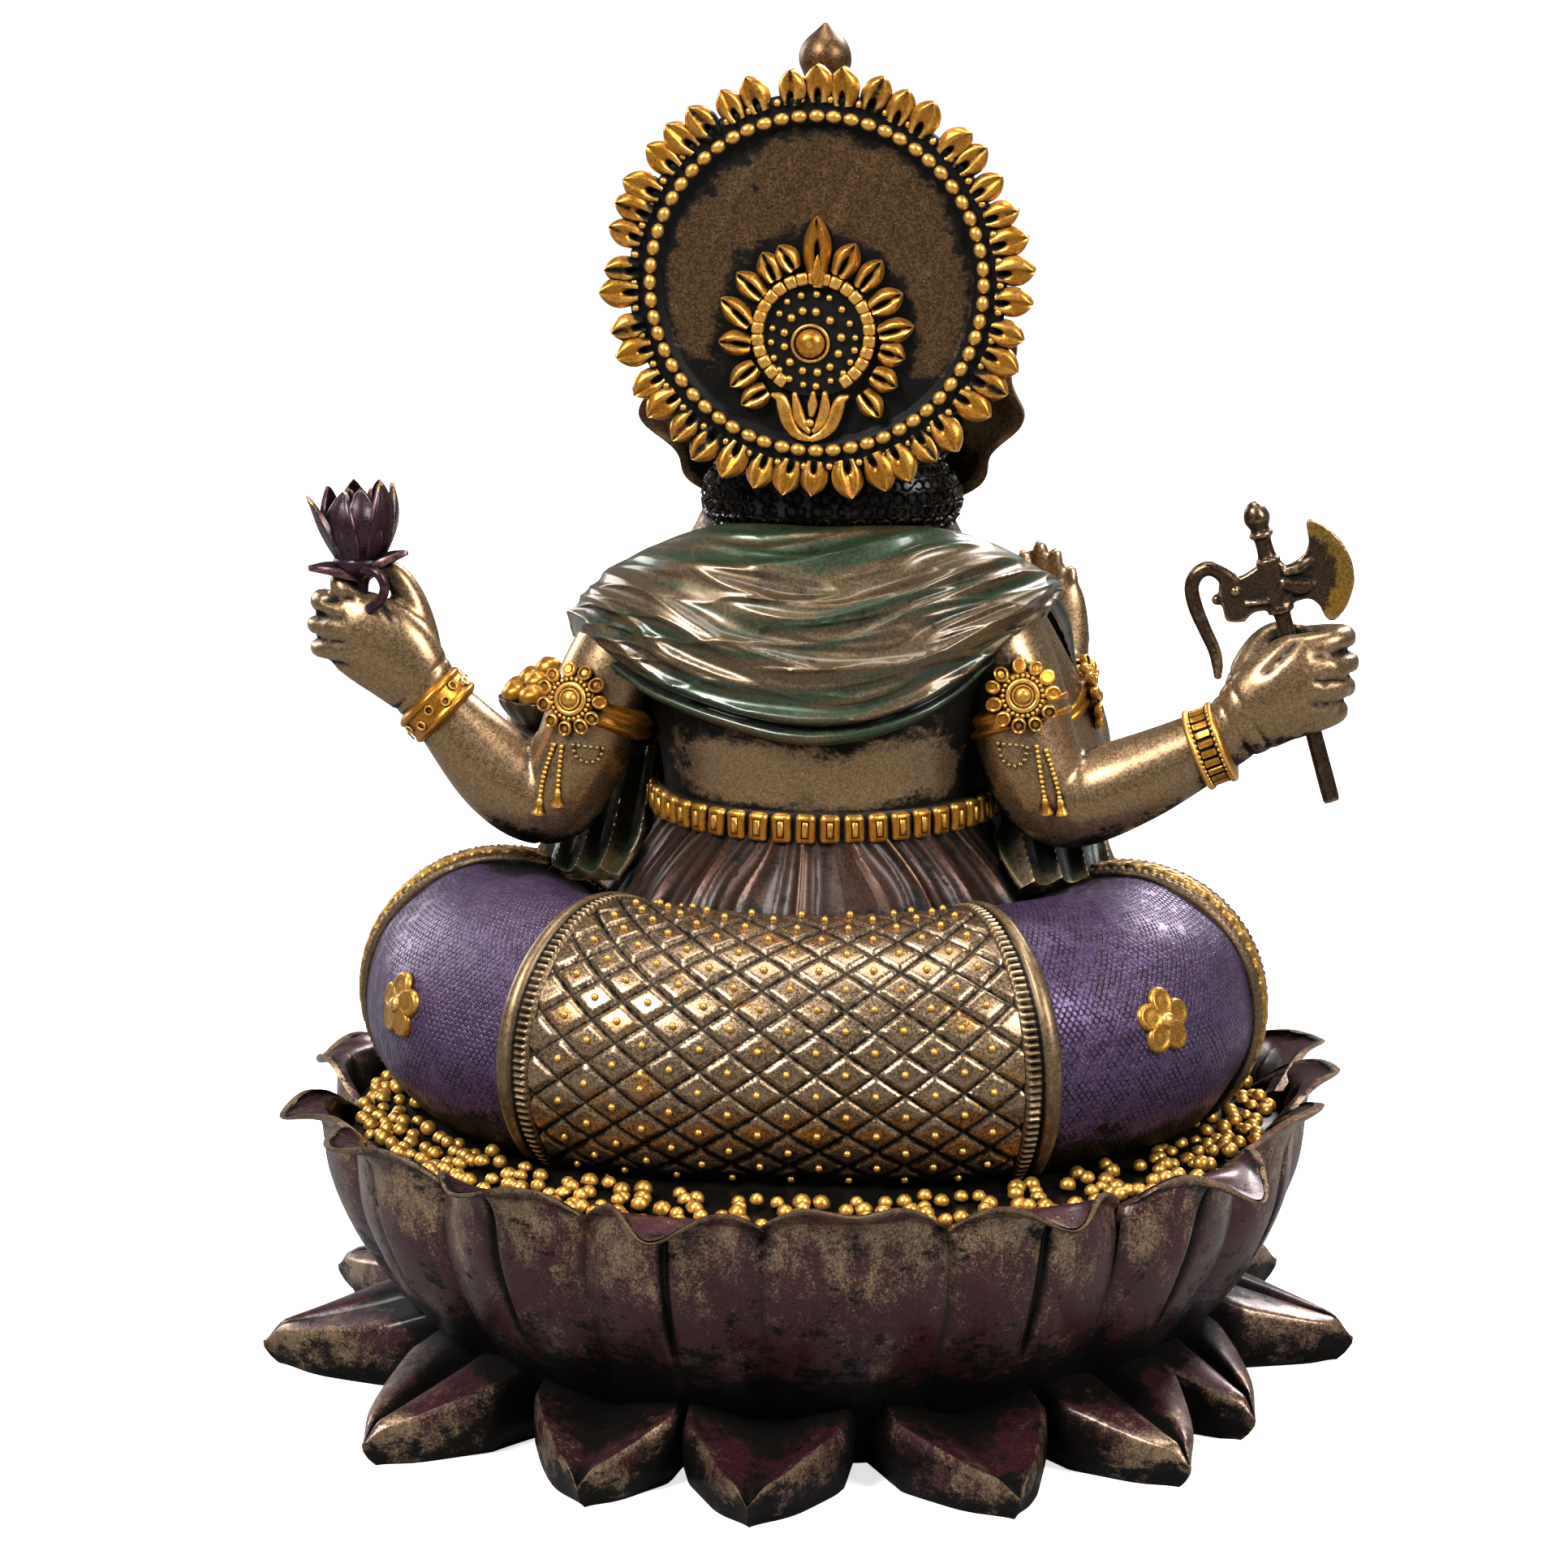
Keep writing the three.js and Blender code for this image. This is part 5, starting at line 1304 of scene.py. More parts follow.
def rear_left_arm():
    arm = [
        (22, 4, 116, 8.5, 8.5), (29.4, 8, 105, 7.3, 7.5), (33.6, 9.5, 94, 7, 7.2), (38.4, 9, 87, 6.8, 6.8),
        (45.6, 9, 90.8, 6.8, 6.6), (55.4, 9, 101.4, 4.6, 4.5),
    ]
    palm = [
        (54.5, 9, 100.5, 4.4, 4.2), (60.5, 9.5, 107.5, 6.6, 4.2), (66.0, 9.5, 111.5, 6.6, 3.8),
        (68.6, 9, 113.5, 5.2, 3.2),
    ]
    shapes = [limb(arm, sides=44, steps=12), limb(palm, sides=32, steps=10, across=(1, 0, -1)), ball((38.6, 9, 87.6), (7.3, 7, 7.2))]
    for i in range(3):
        z = 115.4 - 3.45 * i
        reach = (0.0, 0.5, 0.1)[i]
        shapes.append(finger([
            (66.4, 10.2, z - 1.2, 2.0), (70.6 + reach, 9.0, z - 0.1, 1.85), (72.3 + reach, 6.2, z + 0.1, 1.75),
            (70.5, 3.6, z - 0.4, 1.65), (66.8, 3.2, z - 1.0, 1.5)]))
    shapes.append(finger([(64.5, 9.8, 113.5, 2.3), (68.2, 9.6, 117.6, 2.0), (68.6, 8.0, 119.8, 1.7), (66.6, 7, 120.6, 1.4)]))
    shapes.append(finger([
        (57.0, 7.8, 105.5, 3.1), (57.6, 7.2, 110.5, 2.9), (59.0, 6.8, 115.5, 2.5), (61.0, 6.8, 119.2, 2.0),
        (63.2, 7.2, 120.8, 1.4)]))
    creases = [((55.8, 9, 102.2), (0.72, 0, 0.69)), ((57.2, 9, 103.8), (0.72, 0, 0.69))]
    piece = skin_piece("rear_left_arm", shapes, 0.45, 3, relief=lambda p: sum(crease_at(p, c, w) for c, w in creases))
    return finger_gaps(piece, [((68.4, 113.9), (76, 113.6)), ((68.0, 110.4), (76, 110.1)), ((67.6, 107.0), (76, 106.6)),
                               ((66.5, 116.9), (71, 116.3)), ((60.8, 113.6), (63.4, 118.6))])


def rear_right_arm():
    arm = [
        (-24, 4, 116, 8.5, 8.5), (-29.6, 8, 105, 7.5, 7.6), (-32.8, 9.5, 94, 7.4, 7.4), (-37.6, 9, 88.4, 7, 7),
        (-48, 9, 91.8, 6.4, 6.4), (-61.5, 9, 98.8, 4.6, 4.5),
    ]
    palm = [
        (-60.5, 9, 98.2, 4.4, 4.4), (-66, 10, 103, 6.4, 4.4), (-71.5, 10, 107, 7, 4.2), (-75, 9.4, 109, 5.6, 3.6),
    ]
    shapes = [limb(arm, sides=44, steps=12), limb(palm, sides=32, steps=10, across=(1, 0, 1)), ball((-38.2, 9, 88.6), (7.6, 7.2, 7.2))]
    for i in range(4):
        z = 112.8 - 3.6 * i
        reach = (0.5, 1.0, 0.6, -0.4)[i]
        shapes.append(finger([
            (-70.5, 10.6, z - 1.4, 2.2), (-75.2 - reach, 9.4, z - 0.3, 2.0), (-77.0 - reach, 6.2, z, 1.9),
            (-75.0, 3.4, z - 0.4, 1.85), (-70.8, 2.4, z - 0.9, 1.7)]))
    shapes.append(finger([
        (-62.8, 7.6, 101, 3.2), (-63.9, 5.4, 107, 2.9), (-66.2, 3.0, 111.0, 2.4), (-69.2, 1.8, 112.4, 2.0),
        (-72.0, 1.4, 111.6, 1.7)]))
    creases = [((-62.5, 9, 99.8), (-0.8, 0, 0.5)), ((-64.6, 9, 101.6), (-0.8, 0, 0.5))]
    piece = skin_piece("rear_right_arm", shapes, 0.45, 3, relief=lambda p: sum(crease_at(p, c, w) for c, w in creases))
    return finger_gaps(piece, [((-73.4, 111.3), (-82, 111.0)), ((-73.8, 107.6), (-82, 107.3)), ((-73.6, 104.0), (-82, 103.7)),
                               ((-66.4, 108.6), (-70.6, 113.0))])


def front_right_arm():
    arm = [
        (-25, -4, 113, 8, 8.5), (-32, -8, 101, 7, 7), (-36.5, -14, 90, 6.4, 6.4), (-37, -22, 92.5, 5.6, 5.4),
        (-34.6, -28, 101.5, 4.4, 3.8),
    ]
    palm = [
        (-34.8, -28, 100.5, 4.2, 3.6), (-34.0, -28.8, 105.5, 5.2, 3.0), (-33.3, -29.4, 110.5, 5.2, 2.4),
        (-32.9, -29.6, 112.5, 4.8, 1.9),
    ]
    shapes = [limb(arm, sides=40, steps=12), limb(palm, sides=32, steps=10)]
    tips = ((-28.9, 119.0, 1.2), (-31.4, 120.4, 1.25), (-33.8, 119.3, 1.2), (-36.2, 116.8, 1.05))
    for i, (x, z, r) in enumerate(tips):
        root = -29.6 - 2.3 * i
        shapes.append(finger([
            (root, -29.3, 109.5, r + 0.25), (root * 0.5 + x * 0.5, -29.6, 114.5 - 0.3 * i, r + 0.1), (x, -29.9, z - 1.0, r - 0.15)]))
    shapes.append(finger([(-31.0, -28.8, 103.5, 2.0), (-28.0, -29.8, 107.5, 1.7), (-26.6, -30.6, 111.0, 1.5), (-26.4, -31.0, 113.0, 1.1)]))
    creases = [((x * 0.6 + (-29.6 - 2.3 * i) * 0.4, -29.7, 115.2 - 0.4 * i), (0.1, 0, 1)) for i, (x, z, r) in enumerate(tips)]
    return skin_piece("front_right_arm", shapes, 0.45, 4, relief=lambda p: sum(
        crease_at(p, c, w, 0.12, 0.25) * (np.linalg.norm(p - np.array(c), axis=1) < 2.2) for c, w in creases))


def front_left_arm():
    arm = [
        (23, -4, 113, 8, 8.5), (31, -8, 101, 7, 7), (35.5, -13, 89.5, 6.4, 6.4), (38.5, -22, 86, 5.6, 5.4),
        (42, -30, 87, 4.4, 4),
    ]
    palm = [
        (41, -28, 86.6, 4.4, 3.4), (43.6, -32.5, 86.6, 5.6, 2.6), (45.6, -37, 86.8, 5.8, 2.2), (46.6, -40, 87.2, 5.2, 1.8),
    ]
    shapes = [limb(arm, sides=40, steps=12), limb(palm, sides=32, steps=10, across=(1, 0.4, 0))]
    for i, reach in enumerate((0.6, 1.4, 0.9, -0.6)):
        x = 51.4 - 3.1 * i
        shapes.append(finger([
            (x - 1.2, -38, 87.0, 1.7), (x, -43.2 - 0.4 * reach, 88.0, 1.5), (x + 0.3, -46.4 - reach, 91.2, 1.3)]))
    shapes.append(finger([(39.8, -30.5, 87.2, 2.1), (37.2, -34.6, 89.6, 1.8), (37.0, -37.6, 93.2, 1.4)]))
    return skin_piece("front_left_arm", shapes, 0.45, 4)


def foot(name, heel, toe, ankle):
    """A bare foot with its sole turned forward, from heel to toes."""
    heel, toe, ankle = (np.array(p, float) for p in (heel, toe, ankle))
    ahead = toe - heel
    at = [(*(heel + t * ahead), w, h) for t, w, h in ((0, 4.2, 4.3), (0.3, 4.3, 4.0), (0.6, 4.6, 3.4), (0.95, 5.3, 2.5))]
    shapes = [limb(at, sides=32, steps=10, across=Z_AXIS)]
    shapes.append(limb([(*ankle, 5.2, 5.0), (*(heel + 0.15 * ahead), 4.2, 4.2)], sides=28, steps=10, across=Z_AXIS))
    for i, (size, reach) in enumerate(((1.7, 1.3), (1.25, 1.34), (1.2, 1.31), (1.1, 1.26), (1.05, 1.18))):
        rise = (4.0, 1.3, -0.9, -2.9, -4.6)[i]
        root, end = heel + 0.9 * ahead + (0, 0, rise), heel + reach * ahead + (0, 0, rise * 1.05)
        shapes.append(finger([(*root, size + 0.1), (*((root + end) / 2), size), (*end, size * 0.95)]))
    return skin_piece(name, shapes, 0.45, 4, 0.8)


def legs_and_feet():
    """The knees and crossed shins that come out of the braided hems, and the feet."""
    for name, side, stations in (
            ("right_shin", -1, [
                (-46.8, 4, 57, 18.8, 19.4), (-46.4, -8, 56.6, 18.8, 19.2), (-42.5, -20, 53.8, 17.4, 17), (-27, -36.5, 49.2, 13.2, 12.6),
                (-6, -46.6, 45.6, 9.8, 9.2), (12, -49, 44.1, 7.4, 7.0)]),
            ("left_shin", 1, [
                (46.8, 4, 57, 18.8, 19.4), (46.4, -8, 56.6, 18.8, 19.2), (42.5, -20, 53.8, 17.4, 17), (30, -33, 48.8, 13, 12.3),
                (10, -39, 45.6, 9.2, 8.8), (-9, -42, 43.2, 7.2, 6.8)])):
        knee = (45.5 * side, -13.5, 58.5)
        shapes = [limb(stations, sides=56, steps=10, across=Z_AXIS), ball(knee, (17.6, 16, 15.4), 48, 30)]

        def creases(points, side=side):
            way = unit((0.8 * side, 0.55, 0.25))
            across = (points - np.array([39 * side, -24, 55])) @ way
            folds = sum(np.exp(-((across - c) / 0.55) ** 2) for c in (-5.5, 0.0, 5.0))
            inner = smooth_step(4, -8, points @ np.array([0.9 * side, -0.4, 0.35]) - 52)
            return -0.45 * folds * inner + 0.12 * wobble(points, 9, 3)
        skin_piece(name, shapes, 0.75, 6, relief=creases)
    foot("right_foot", (21, -48.5, 44), (35.5, -44.5, 45.6), (11, -48.8, 44))
    foot("left_foot", (-17, -44.5, 42.5), (-31.5, -43.2, 42.5), (-9, -42.5, 43))


# Small shapes of the jewellery

def looped(rings):
    """A body over rings of points that closes on itself both ways, such as a hoop."""
    count, around = rings.shape[:2]
    row, column = np.meshgrid(np.arange(count), np.arange(around), indexing="ij")
    right, below = (column + 1) % around, (row + 1) % count
    faces = np.stack([row * around + column, row * around + right, below * around + right, below * around + column], -1)
    return outward(rings.reshape(-1, 3), faces.reshape(-1, 4).tolist())


def hoop(radius, tube, around=28, sides=8, flat=1.0):
    """A plain ring that lies in X and Y."""
    turn, section = np.meshgrid(
        2 * math.pi * np.arange(around) / around, 2 * math.pi * np.arange(sides) / sides, indexing="ij")
    reach = radius + tube * np.cos(section)
    return looped(np.stack([reach * np.cos(turn), reach * np.sin(turn), flat * tube * np.sin(section)], -1))


def turn_matrix(angle, axis):
    return np.array(Matrix.Rotation(angle, 3, axis))


def moved(shape, place, turn=None, scale=1.0):
    return copies(shape, [(place, np.eye(3) if turn is None else turn, scale)])


def spaced(path, gap, closed=False):
    """Points at even gaps along a path."""
    path = np.asarray(path, float)
    if closed:
        path = np.vstack([path, path[:1]])
    length = np.concatenate([[0], np.cumsum(np.linalg.norm(np.diff(path, axis=0), axis=1))])
    count = max(2, int(round(length[-1] / gap)))
    at = np.linspace(0, length[-1], count + (0 if closed else 1), endpoint=not closed)
    return np.stack([np.interp(at, length, path[:, k]) for k in range(3)], 1)


def beads_along(path, radius, gap=2.02, closed=False, bead=None):
    centres = spaced(path, gap * radius, closed)
    uneven = 0.92 + 0.14 * scatter(np.arange(len(centres)), 4)
    return copies(bead or bead_shape(1), [(c, np.eye(3), radius * s) for c, s in zip(centres, uneven)])


def circle_of(radius, count, height=0.0, start=0.0):
    turn = start + 2 * math.pi * np.arange(count) / count
    return np.stack([radius * np.cos(turn), radius * np.sin(turn), np.full(count, height)], -1)


def leaf_shape(length, width, height, rim=0.5, slit=0.5, slit_from=0.0, slit_to=0.6, slit_width=0.15, rows=13,
               columns=13, base=0.6):
    """A leaf that lies along +Y from the origin and faces +Z: raised sides and a slit up its middle with painted shade
    in it.
    Returns the shape and how much painted shade each point has."""
    s, t = np.linspace(0, 1, rows)[:, None], np.linspace(-1, 1, columns)[None]
    half = base + (1 - base) * np.sin(math.pi * np.minimum(s / 1.1, 1)) ** 0.8
    half = width / 2 * half * (1 - s ** 4.2) ** 0.75 + 0.03
    across = np.abs(t)
    sides = height * (0.5 + rim * np.exp(-((across - 0.5) / 0.34) ** 2)) * (1 - across ** 5 * 0.85)
    cut = np.exp(-(across / slit_width) ** 2) * smooth_step(slit_from - 0.08, slit_from + 0.04, s) * (
        1 - smooth_step(slit_to - 0.15, slit_to + 0.1, s))
    top = (sides - slit * height * cut) * (1 - 0.3 * s ** 3)
    outer = np.stack([t * half, s * length + 0 * t, top], -1)
    inner = np.stack([t * half, s * length + 0 * t, 0 * top - 0.3 * height], -1)
    points, faces = shell(outer, inner)
    dark = np.concatenate([np.clip(1.3 * cut - 0.2, 0, 1).ravel(), np.zeros(cut.size)])
    return (points, faces), dark


def petal_disc(radius, height, dent):
    """A round petal that faces +Z, with a raised rim and a dimple."""
    profile = [(radius * 0.82, -height * 0.6), (radius, 0), (radius * 0.95, height * 0.7), (radius * 0.78, height),
               (radius * 0.5, height - dent), (radius * 0.2, height - dent * 0.9)]
    return turned(rounded(profile, 2), 14)


def rosette(seed, radius=6.1, petals=11):
    """A round clasp that faces +Z: petals, a ring of beads, two rims and a domed middle."""
    shapes = [turned(rounded([(radius * 0.62, -1.2), (radius * 0.66, 0.1), (radius * 0.5, 0.6), (radius * 0.2, 0.7)], 3), 40)]
    bead = bead_shape(1)
    for i in range(petals):
        turn = 2 * math.pi * (i + 0.3 * (scatter(i, seed) - 0.5)) / petals
        reach = radius * (0.78 + 0.05 * scatter(i, seed, 2))
        size = radius * (0.185 + 0.03 * scatter(i, seed, 3))
        tip = facing((0.35 * math.cos(turn), 0.35 * math.sin(turn), 1))
        shapes.append(moved(petal_disc(size, 0.75, 0.35 * scatter(i, seed, 4)),
                            (reach * math.cos(turn), reach * math.sin(turn), 0.1), tip, (1, 1.18, 1)))
    shapes.append(copies(bead, [(c, np.eye(3), 0.36) for c in circle_of(radius * 0.55, 24, 0.75)]))
    shapes.append(moved(hoop(radius * 0.40, 0.42, 36, 8), (0, 0, 0.8)))
    shapes.append(moved(hoop(radius * 0.27, 0.2, 30, 6), (0, 0, 1.15)))
    dome = [(radius * 0.235, 0.6), (radius * 0.22, 1.25), (radius * 0.15, 1.75), (radius * 0.05, 1.95)]
    shapes.append(turned(rounded(dome, 3), 24))
    return merged(shapes)


def band_profile(half, depths):
    """A (radius, distance) profile of a band from depths at even places across it."""
    return [(d, x) for d, x in zip(depths, np.linspace(-half, half, len(depths)))]


# The photograph's line of sight

CAMERA_TARGET = (4.5, 0.0, 88.0)
CAMERA_DISTANCE = 800.0
CAMERA_AZIMUTH = 186.0
CAMERA_ELEVATION = 11.8
FOCAL_PIXELS = 6650.0
FRAME_PIXELS = 1932.0


def camera_ways():
    """Unit vectors of the camera: backward, to its right and up."""
    turn, rise = math.radians(CAMERA_AZIMUTH), math.radians(CAMERA_ELEVATION)
    back = Vector((math.sin(turn) * math.cos(rise), -math.cos(turn) * math.cos(rise), math.sin(rise)))
    right = (-back).cross(Vector(Z_AXIS)).normalized()
    return back, right, right.cross(-back)


def carried_at(pieces, px, py, lift=0.0):
    """Where the photograph's pixel (px, py) shows one of the pieces: the point in millimetres and its outward way."""
    back, right, up = camera_ways()
    start = (Vector(CAMERA_TARGET) + CAMERA_DISTANCE * back) * MM
    half = FRAME_PIXELS / 2
    bpy.context.view_layer.update()
    way = (-back + right * ((px - half) / FOCAL_PIXELS) - up * ((py - half) / FOCAL_PIXELS)).normalized()
    hits = [piece.ray_cast(start, way) for piece in pieces]
    hits = [(place, normal) for hit, place, normal, _ in hits if hit]
    if not hits:
        raise RuntimeError(f"no piece lies behind the photograph's pixel {px}, {py}")
    place, normal = min(hits, key=lambda found: (found[0] - start).length)
    return np.array(place) / MM + lift * np.array(normal), np.array(normal)


def onto(pieces, start, way, lift=0.0):
    """Where a line from `start` along `way` first meets one of the pieces: the point and its outward way."""
    bpy.context.view_layer.update()
    hits = [piece.ray_cast(Vector(start) * MM, Vector(way).normalized()) for piece in pieces]
    hits = [(place, normal) for hit, place, normal, _ in hits if hit]
    if not hits:
        raise RuntimeError(f"no piece lies from {start} along {way}")
    place, normal = min(hits, key=lambda found: (found[0] - Vector(start) * MM).length)
    return np.array(place) / MM + lift * np.array(normal), np.array(normal)


def path_on(pieces, pixels, lift, steps=10):
    """A path over the pieces through pixels of the photograph."""
    line = spline(np.array(pixels, float), np.linspace(0, 1, steps * (len(pixels) - 1) + 1))
    return np.array([carried_at(pieces, px, py, lift)[0] for px, py in line])


def armlet(name, arm, pixel, seed, axis_point, axis_way, loop, strings):
    """A clasp on an upper arm with its band, a beaded loop and two strings that end in bells."""
    centre, out = carried_at([arm], *pixel, -0.4)
    out = unit(out + 0.9 * np.array([0, 1, 0.12]))
    shapes = [moved(rosette(seed, 5.3), centre + 0.9 * out, facing(out))]
    profile = rounded(band_profile(2.3, (6.6, 7.7, 8.15, 7.95, 7.75, 7.95, 8.15, 7.7, 6.6)), 2)
    shapes.append(turned(profile, 64, axis_point, axis_way))
    gold = object_of(name, merged(shapes))
    finished(gold, "gold", angle=50)
    bead = bead_shape(1)
    beads = [beads_along(path_on([arm], loop, 0.2), 0.45, closed=True, bead=bead)]
    dark = object_of(f"{name}_loop", merged(beads))
    finished(dark, "dark_beads", angle=80)
    hung = []
    for line in strings:
        path = path_on([arm], line, 0.3)
        hung.append(beads_along(path[:-3], 0.42, 1.75, bead=bead))
        way = unit(path[-1] - path[-5])
        bell = rounded([(0.2, -1.6), (0.5, -1.2), (0.55, -0.4), (0.85, 0.5), (0.95, 0.9), (0.6, 1.0)], 2)
        hung.append(turned(bell, 12, path[-2], way))
    tassels = object_of(f"{name}_tassels", merged(hung))
    return finished(tassels, "gold", angle=60)


def wrist_band(name, place, way, radius, half, depths, beads=(), bead_size=0.5, circles=0, ribs=0):
    def ribbed(along, turn):
        return 0.4 * (np.cos(ribs * turn) > -0.7) * (np.abs(along) < 0.42 * half)
    shapes = [turned(rounded(band_profile(half, [radius + d for d in depths]), 3), 168 if ribs else 72, place, way,
                     ribbed if ribs else None)]
    turn = facing(way)
    for at, rise in beads:
        count = int(2 * math.pi * (radius + rise) / (2.05 * bead_size))
        row = circle_of(radius + rise, count, at) @ turn.T + np.array(place, float)
        shapes.append(copies(bead_shape(1), [(c, np.eye(3), bead_size) for c in row]))
    if circles:
        for i, local in enumerate(circle_of(radius + max(depths) + 0.02, circles)):
            out = unit(local)
            out_world = turn @ out
            centre = turn @ (local + (0, 0, 0.4 * (-1) ** i)) + np.array(place, float)
            shapes.append(moved(hoop(0.62, 0.16, 14, 6), centre, facing(out_world, way)))
    return finished(object_of(name, merged(shapes)), "gold", angle=45)


def bracelets():
    wrist_band("left_bracelet", (54.8, 9, 100.7), (0.72, 0, 0.69), 5.0, 2.7,
               (-0.6, 0.65, 1.0, 0.75, 0.75, 0.75, 0.75, 0.75, 1.0, 0.65, -0.6), circles=14)
    wrist_band("right_bracelet", (-58.6, 9, 96.9), (-0.93, 0, 0.37), 5.0, 2.7,
               (-0.5, 0.9, 1.1, 0.5, 0.35, 0.35, 0.35, 0.35, 0.5, 1.1, 0.9, -0.5), beads=((-1.55, 0.75), (1.55, 0.75)),
               bead_size=0.4, ribs=24)
    wrist_band("front_right_bracelet", (-35.2, -26.8, 100.2), (0.12, -0.36, 0.92), 4.6, 1.9,
               (-0.6, 0.5, 0.8, 0.3, 0.3, 0.8, 0.5, -0.6), beads=((0.0, 0.6),), bead_size=0.55)
    wrist_band("front_left_bracelet", (41.0, -27.6, 86.8), (0.5, -0.86, 0.05), 4.7, 1.9,
               (-0.6, 0.5, 0.8, 0.3, 0.3, 0.8, 0.5, -0.6), beads=((0.0, 0.6),), bead_size=0.55)
    flower = object_of("wrist_flower", moved(rosette(9, 4.6, 8), (-38.6, -22.4, 99.6), facing((-1, 0.35, 0))))
    finished(flower, "gold", angle=50)
    for name, place, way in (("right_anklet", (15.5, -49.0, 44.1), (1, 0.1, 0)), ("left_anklet", (-12.6, -43.2, 42.9), (-1, -0.1, 0))):
        wrist_band(name, place, way, 5.6, 1.8, (-0.8, 0.4, 0.7, 0.2, 0.2, 0.7, 0.4, -0.8), beads=((0.0, 0.5), (-2.1, 0.1)),
                   bead_size=0.6)


def front_armlets():
    for name, place, way, out, seed in (
            ("front_right_armlet", (-33.4, -9.6, 98.4), (-0.4, -0.3, -0.86), (-0.95, -0.25, 0.2), 21),
            ("front_left_armlet", (32.2, -9.4, 98.0), (0.38, -0.36, -0.86), (0.45, -0.88, -0.15), 22)):
        place, out = np.array(place), unit(out)
        shapes = [turned(rounded(band_profile(2.0, (5.8, 7.0, 7.4, 7.15, 7.4, 7.0, 5.8)), 3), 60, place, way)]
        shapes.append(moved(rosette(seed, 5.0, 9), place + 7.2 * out, facing(out)))
        finished(object_of(name, merged(shapes)), "gold", angle=50)


def chest_path(points, lift):
    """A path over the chest through (sideways turn in degrees from straight ahead, height)."""
    line = spline(np.array(points, float), np.linspace(0, 1, 24 * (len(points) - 1) + 1))
    return torso_at(np.radians(line[:, 0] - 90), line[:, 1], np.full(len(line), lift))[0]


def necklaces():
    bead = bead_shape(1)
    shapes = []
    for half, top, low, radius in ((66, 122, 112.5, 0.75), (62, 119, 106.0, 0.95), (56, 116, 98.5, 0.8)):
        path = chest_path([(-half, top), (-half * 0.62, (top + low) / 2 + 1), (0, low), (half * 0.62, (top + low) / 2 + 1),
                           (half, top)], 2.2)
        shapes.append(beads_along(path, radius, bead=bead_shape(2)))
    pendant, out = torso_at(np.array([-math.pi / 2]), np.array([96.0]), np.array([1.6]))
    shapes.append(moved(rosette(31, 4.4, 9), pendant[0], facing(out[0])))
    leaf, _ = leaf_shape(5.2, 3.4, 1.1)
    shapes.append(moved(leaf, pendant[0] - (0, 0, 3.2), facing(out[0], (0, 0, -1))))
    finished(object_of("necklaces", merged(shapes)), "gold", angle=70, keep=0.6)
    thread = chest_path([(52, 121), (34, 108), (8, 96), (-22, 86), (-58, 82), (-92, 86)], 1.4)
    cords = [string_along(thread + (0, 0, dz), 0.6) for dz in (-0.75, 0.0, 0.75)]
    cords.append(beads_along(thread + (0, -0.4, 0), 0.5, 5.0, bead=bead))
    finished(object_of("sacred_thread", merged(cords)), "band", angle=70)
    return shapes


# Head, ears, crown

HEAD_CENTRE = (-2.0, -7.0, 146.0)


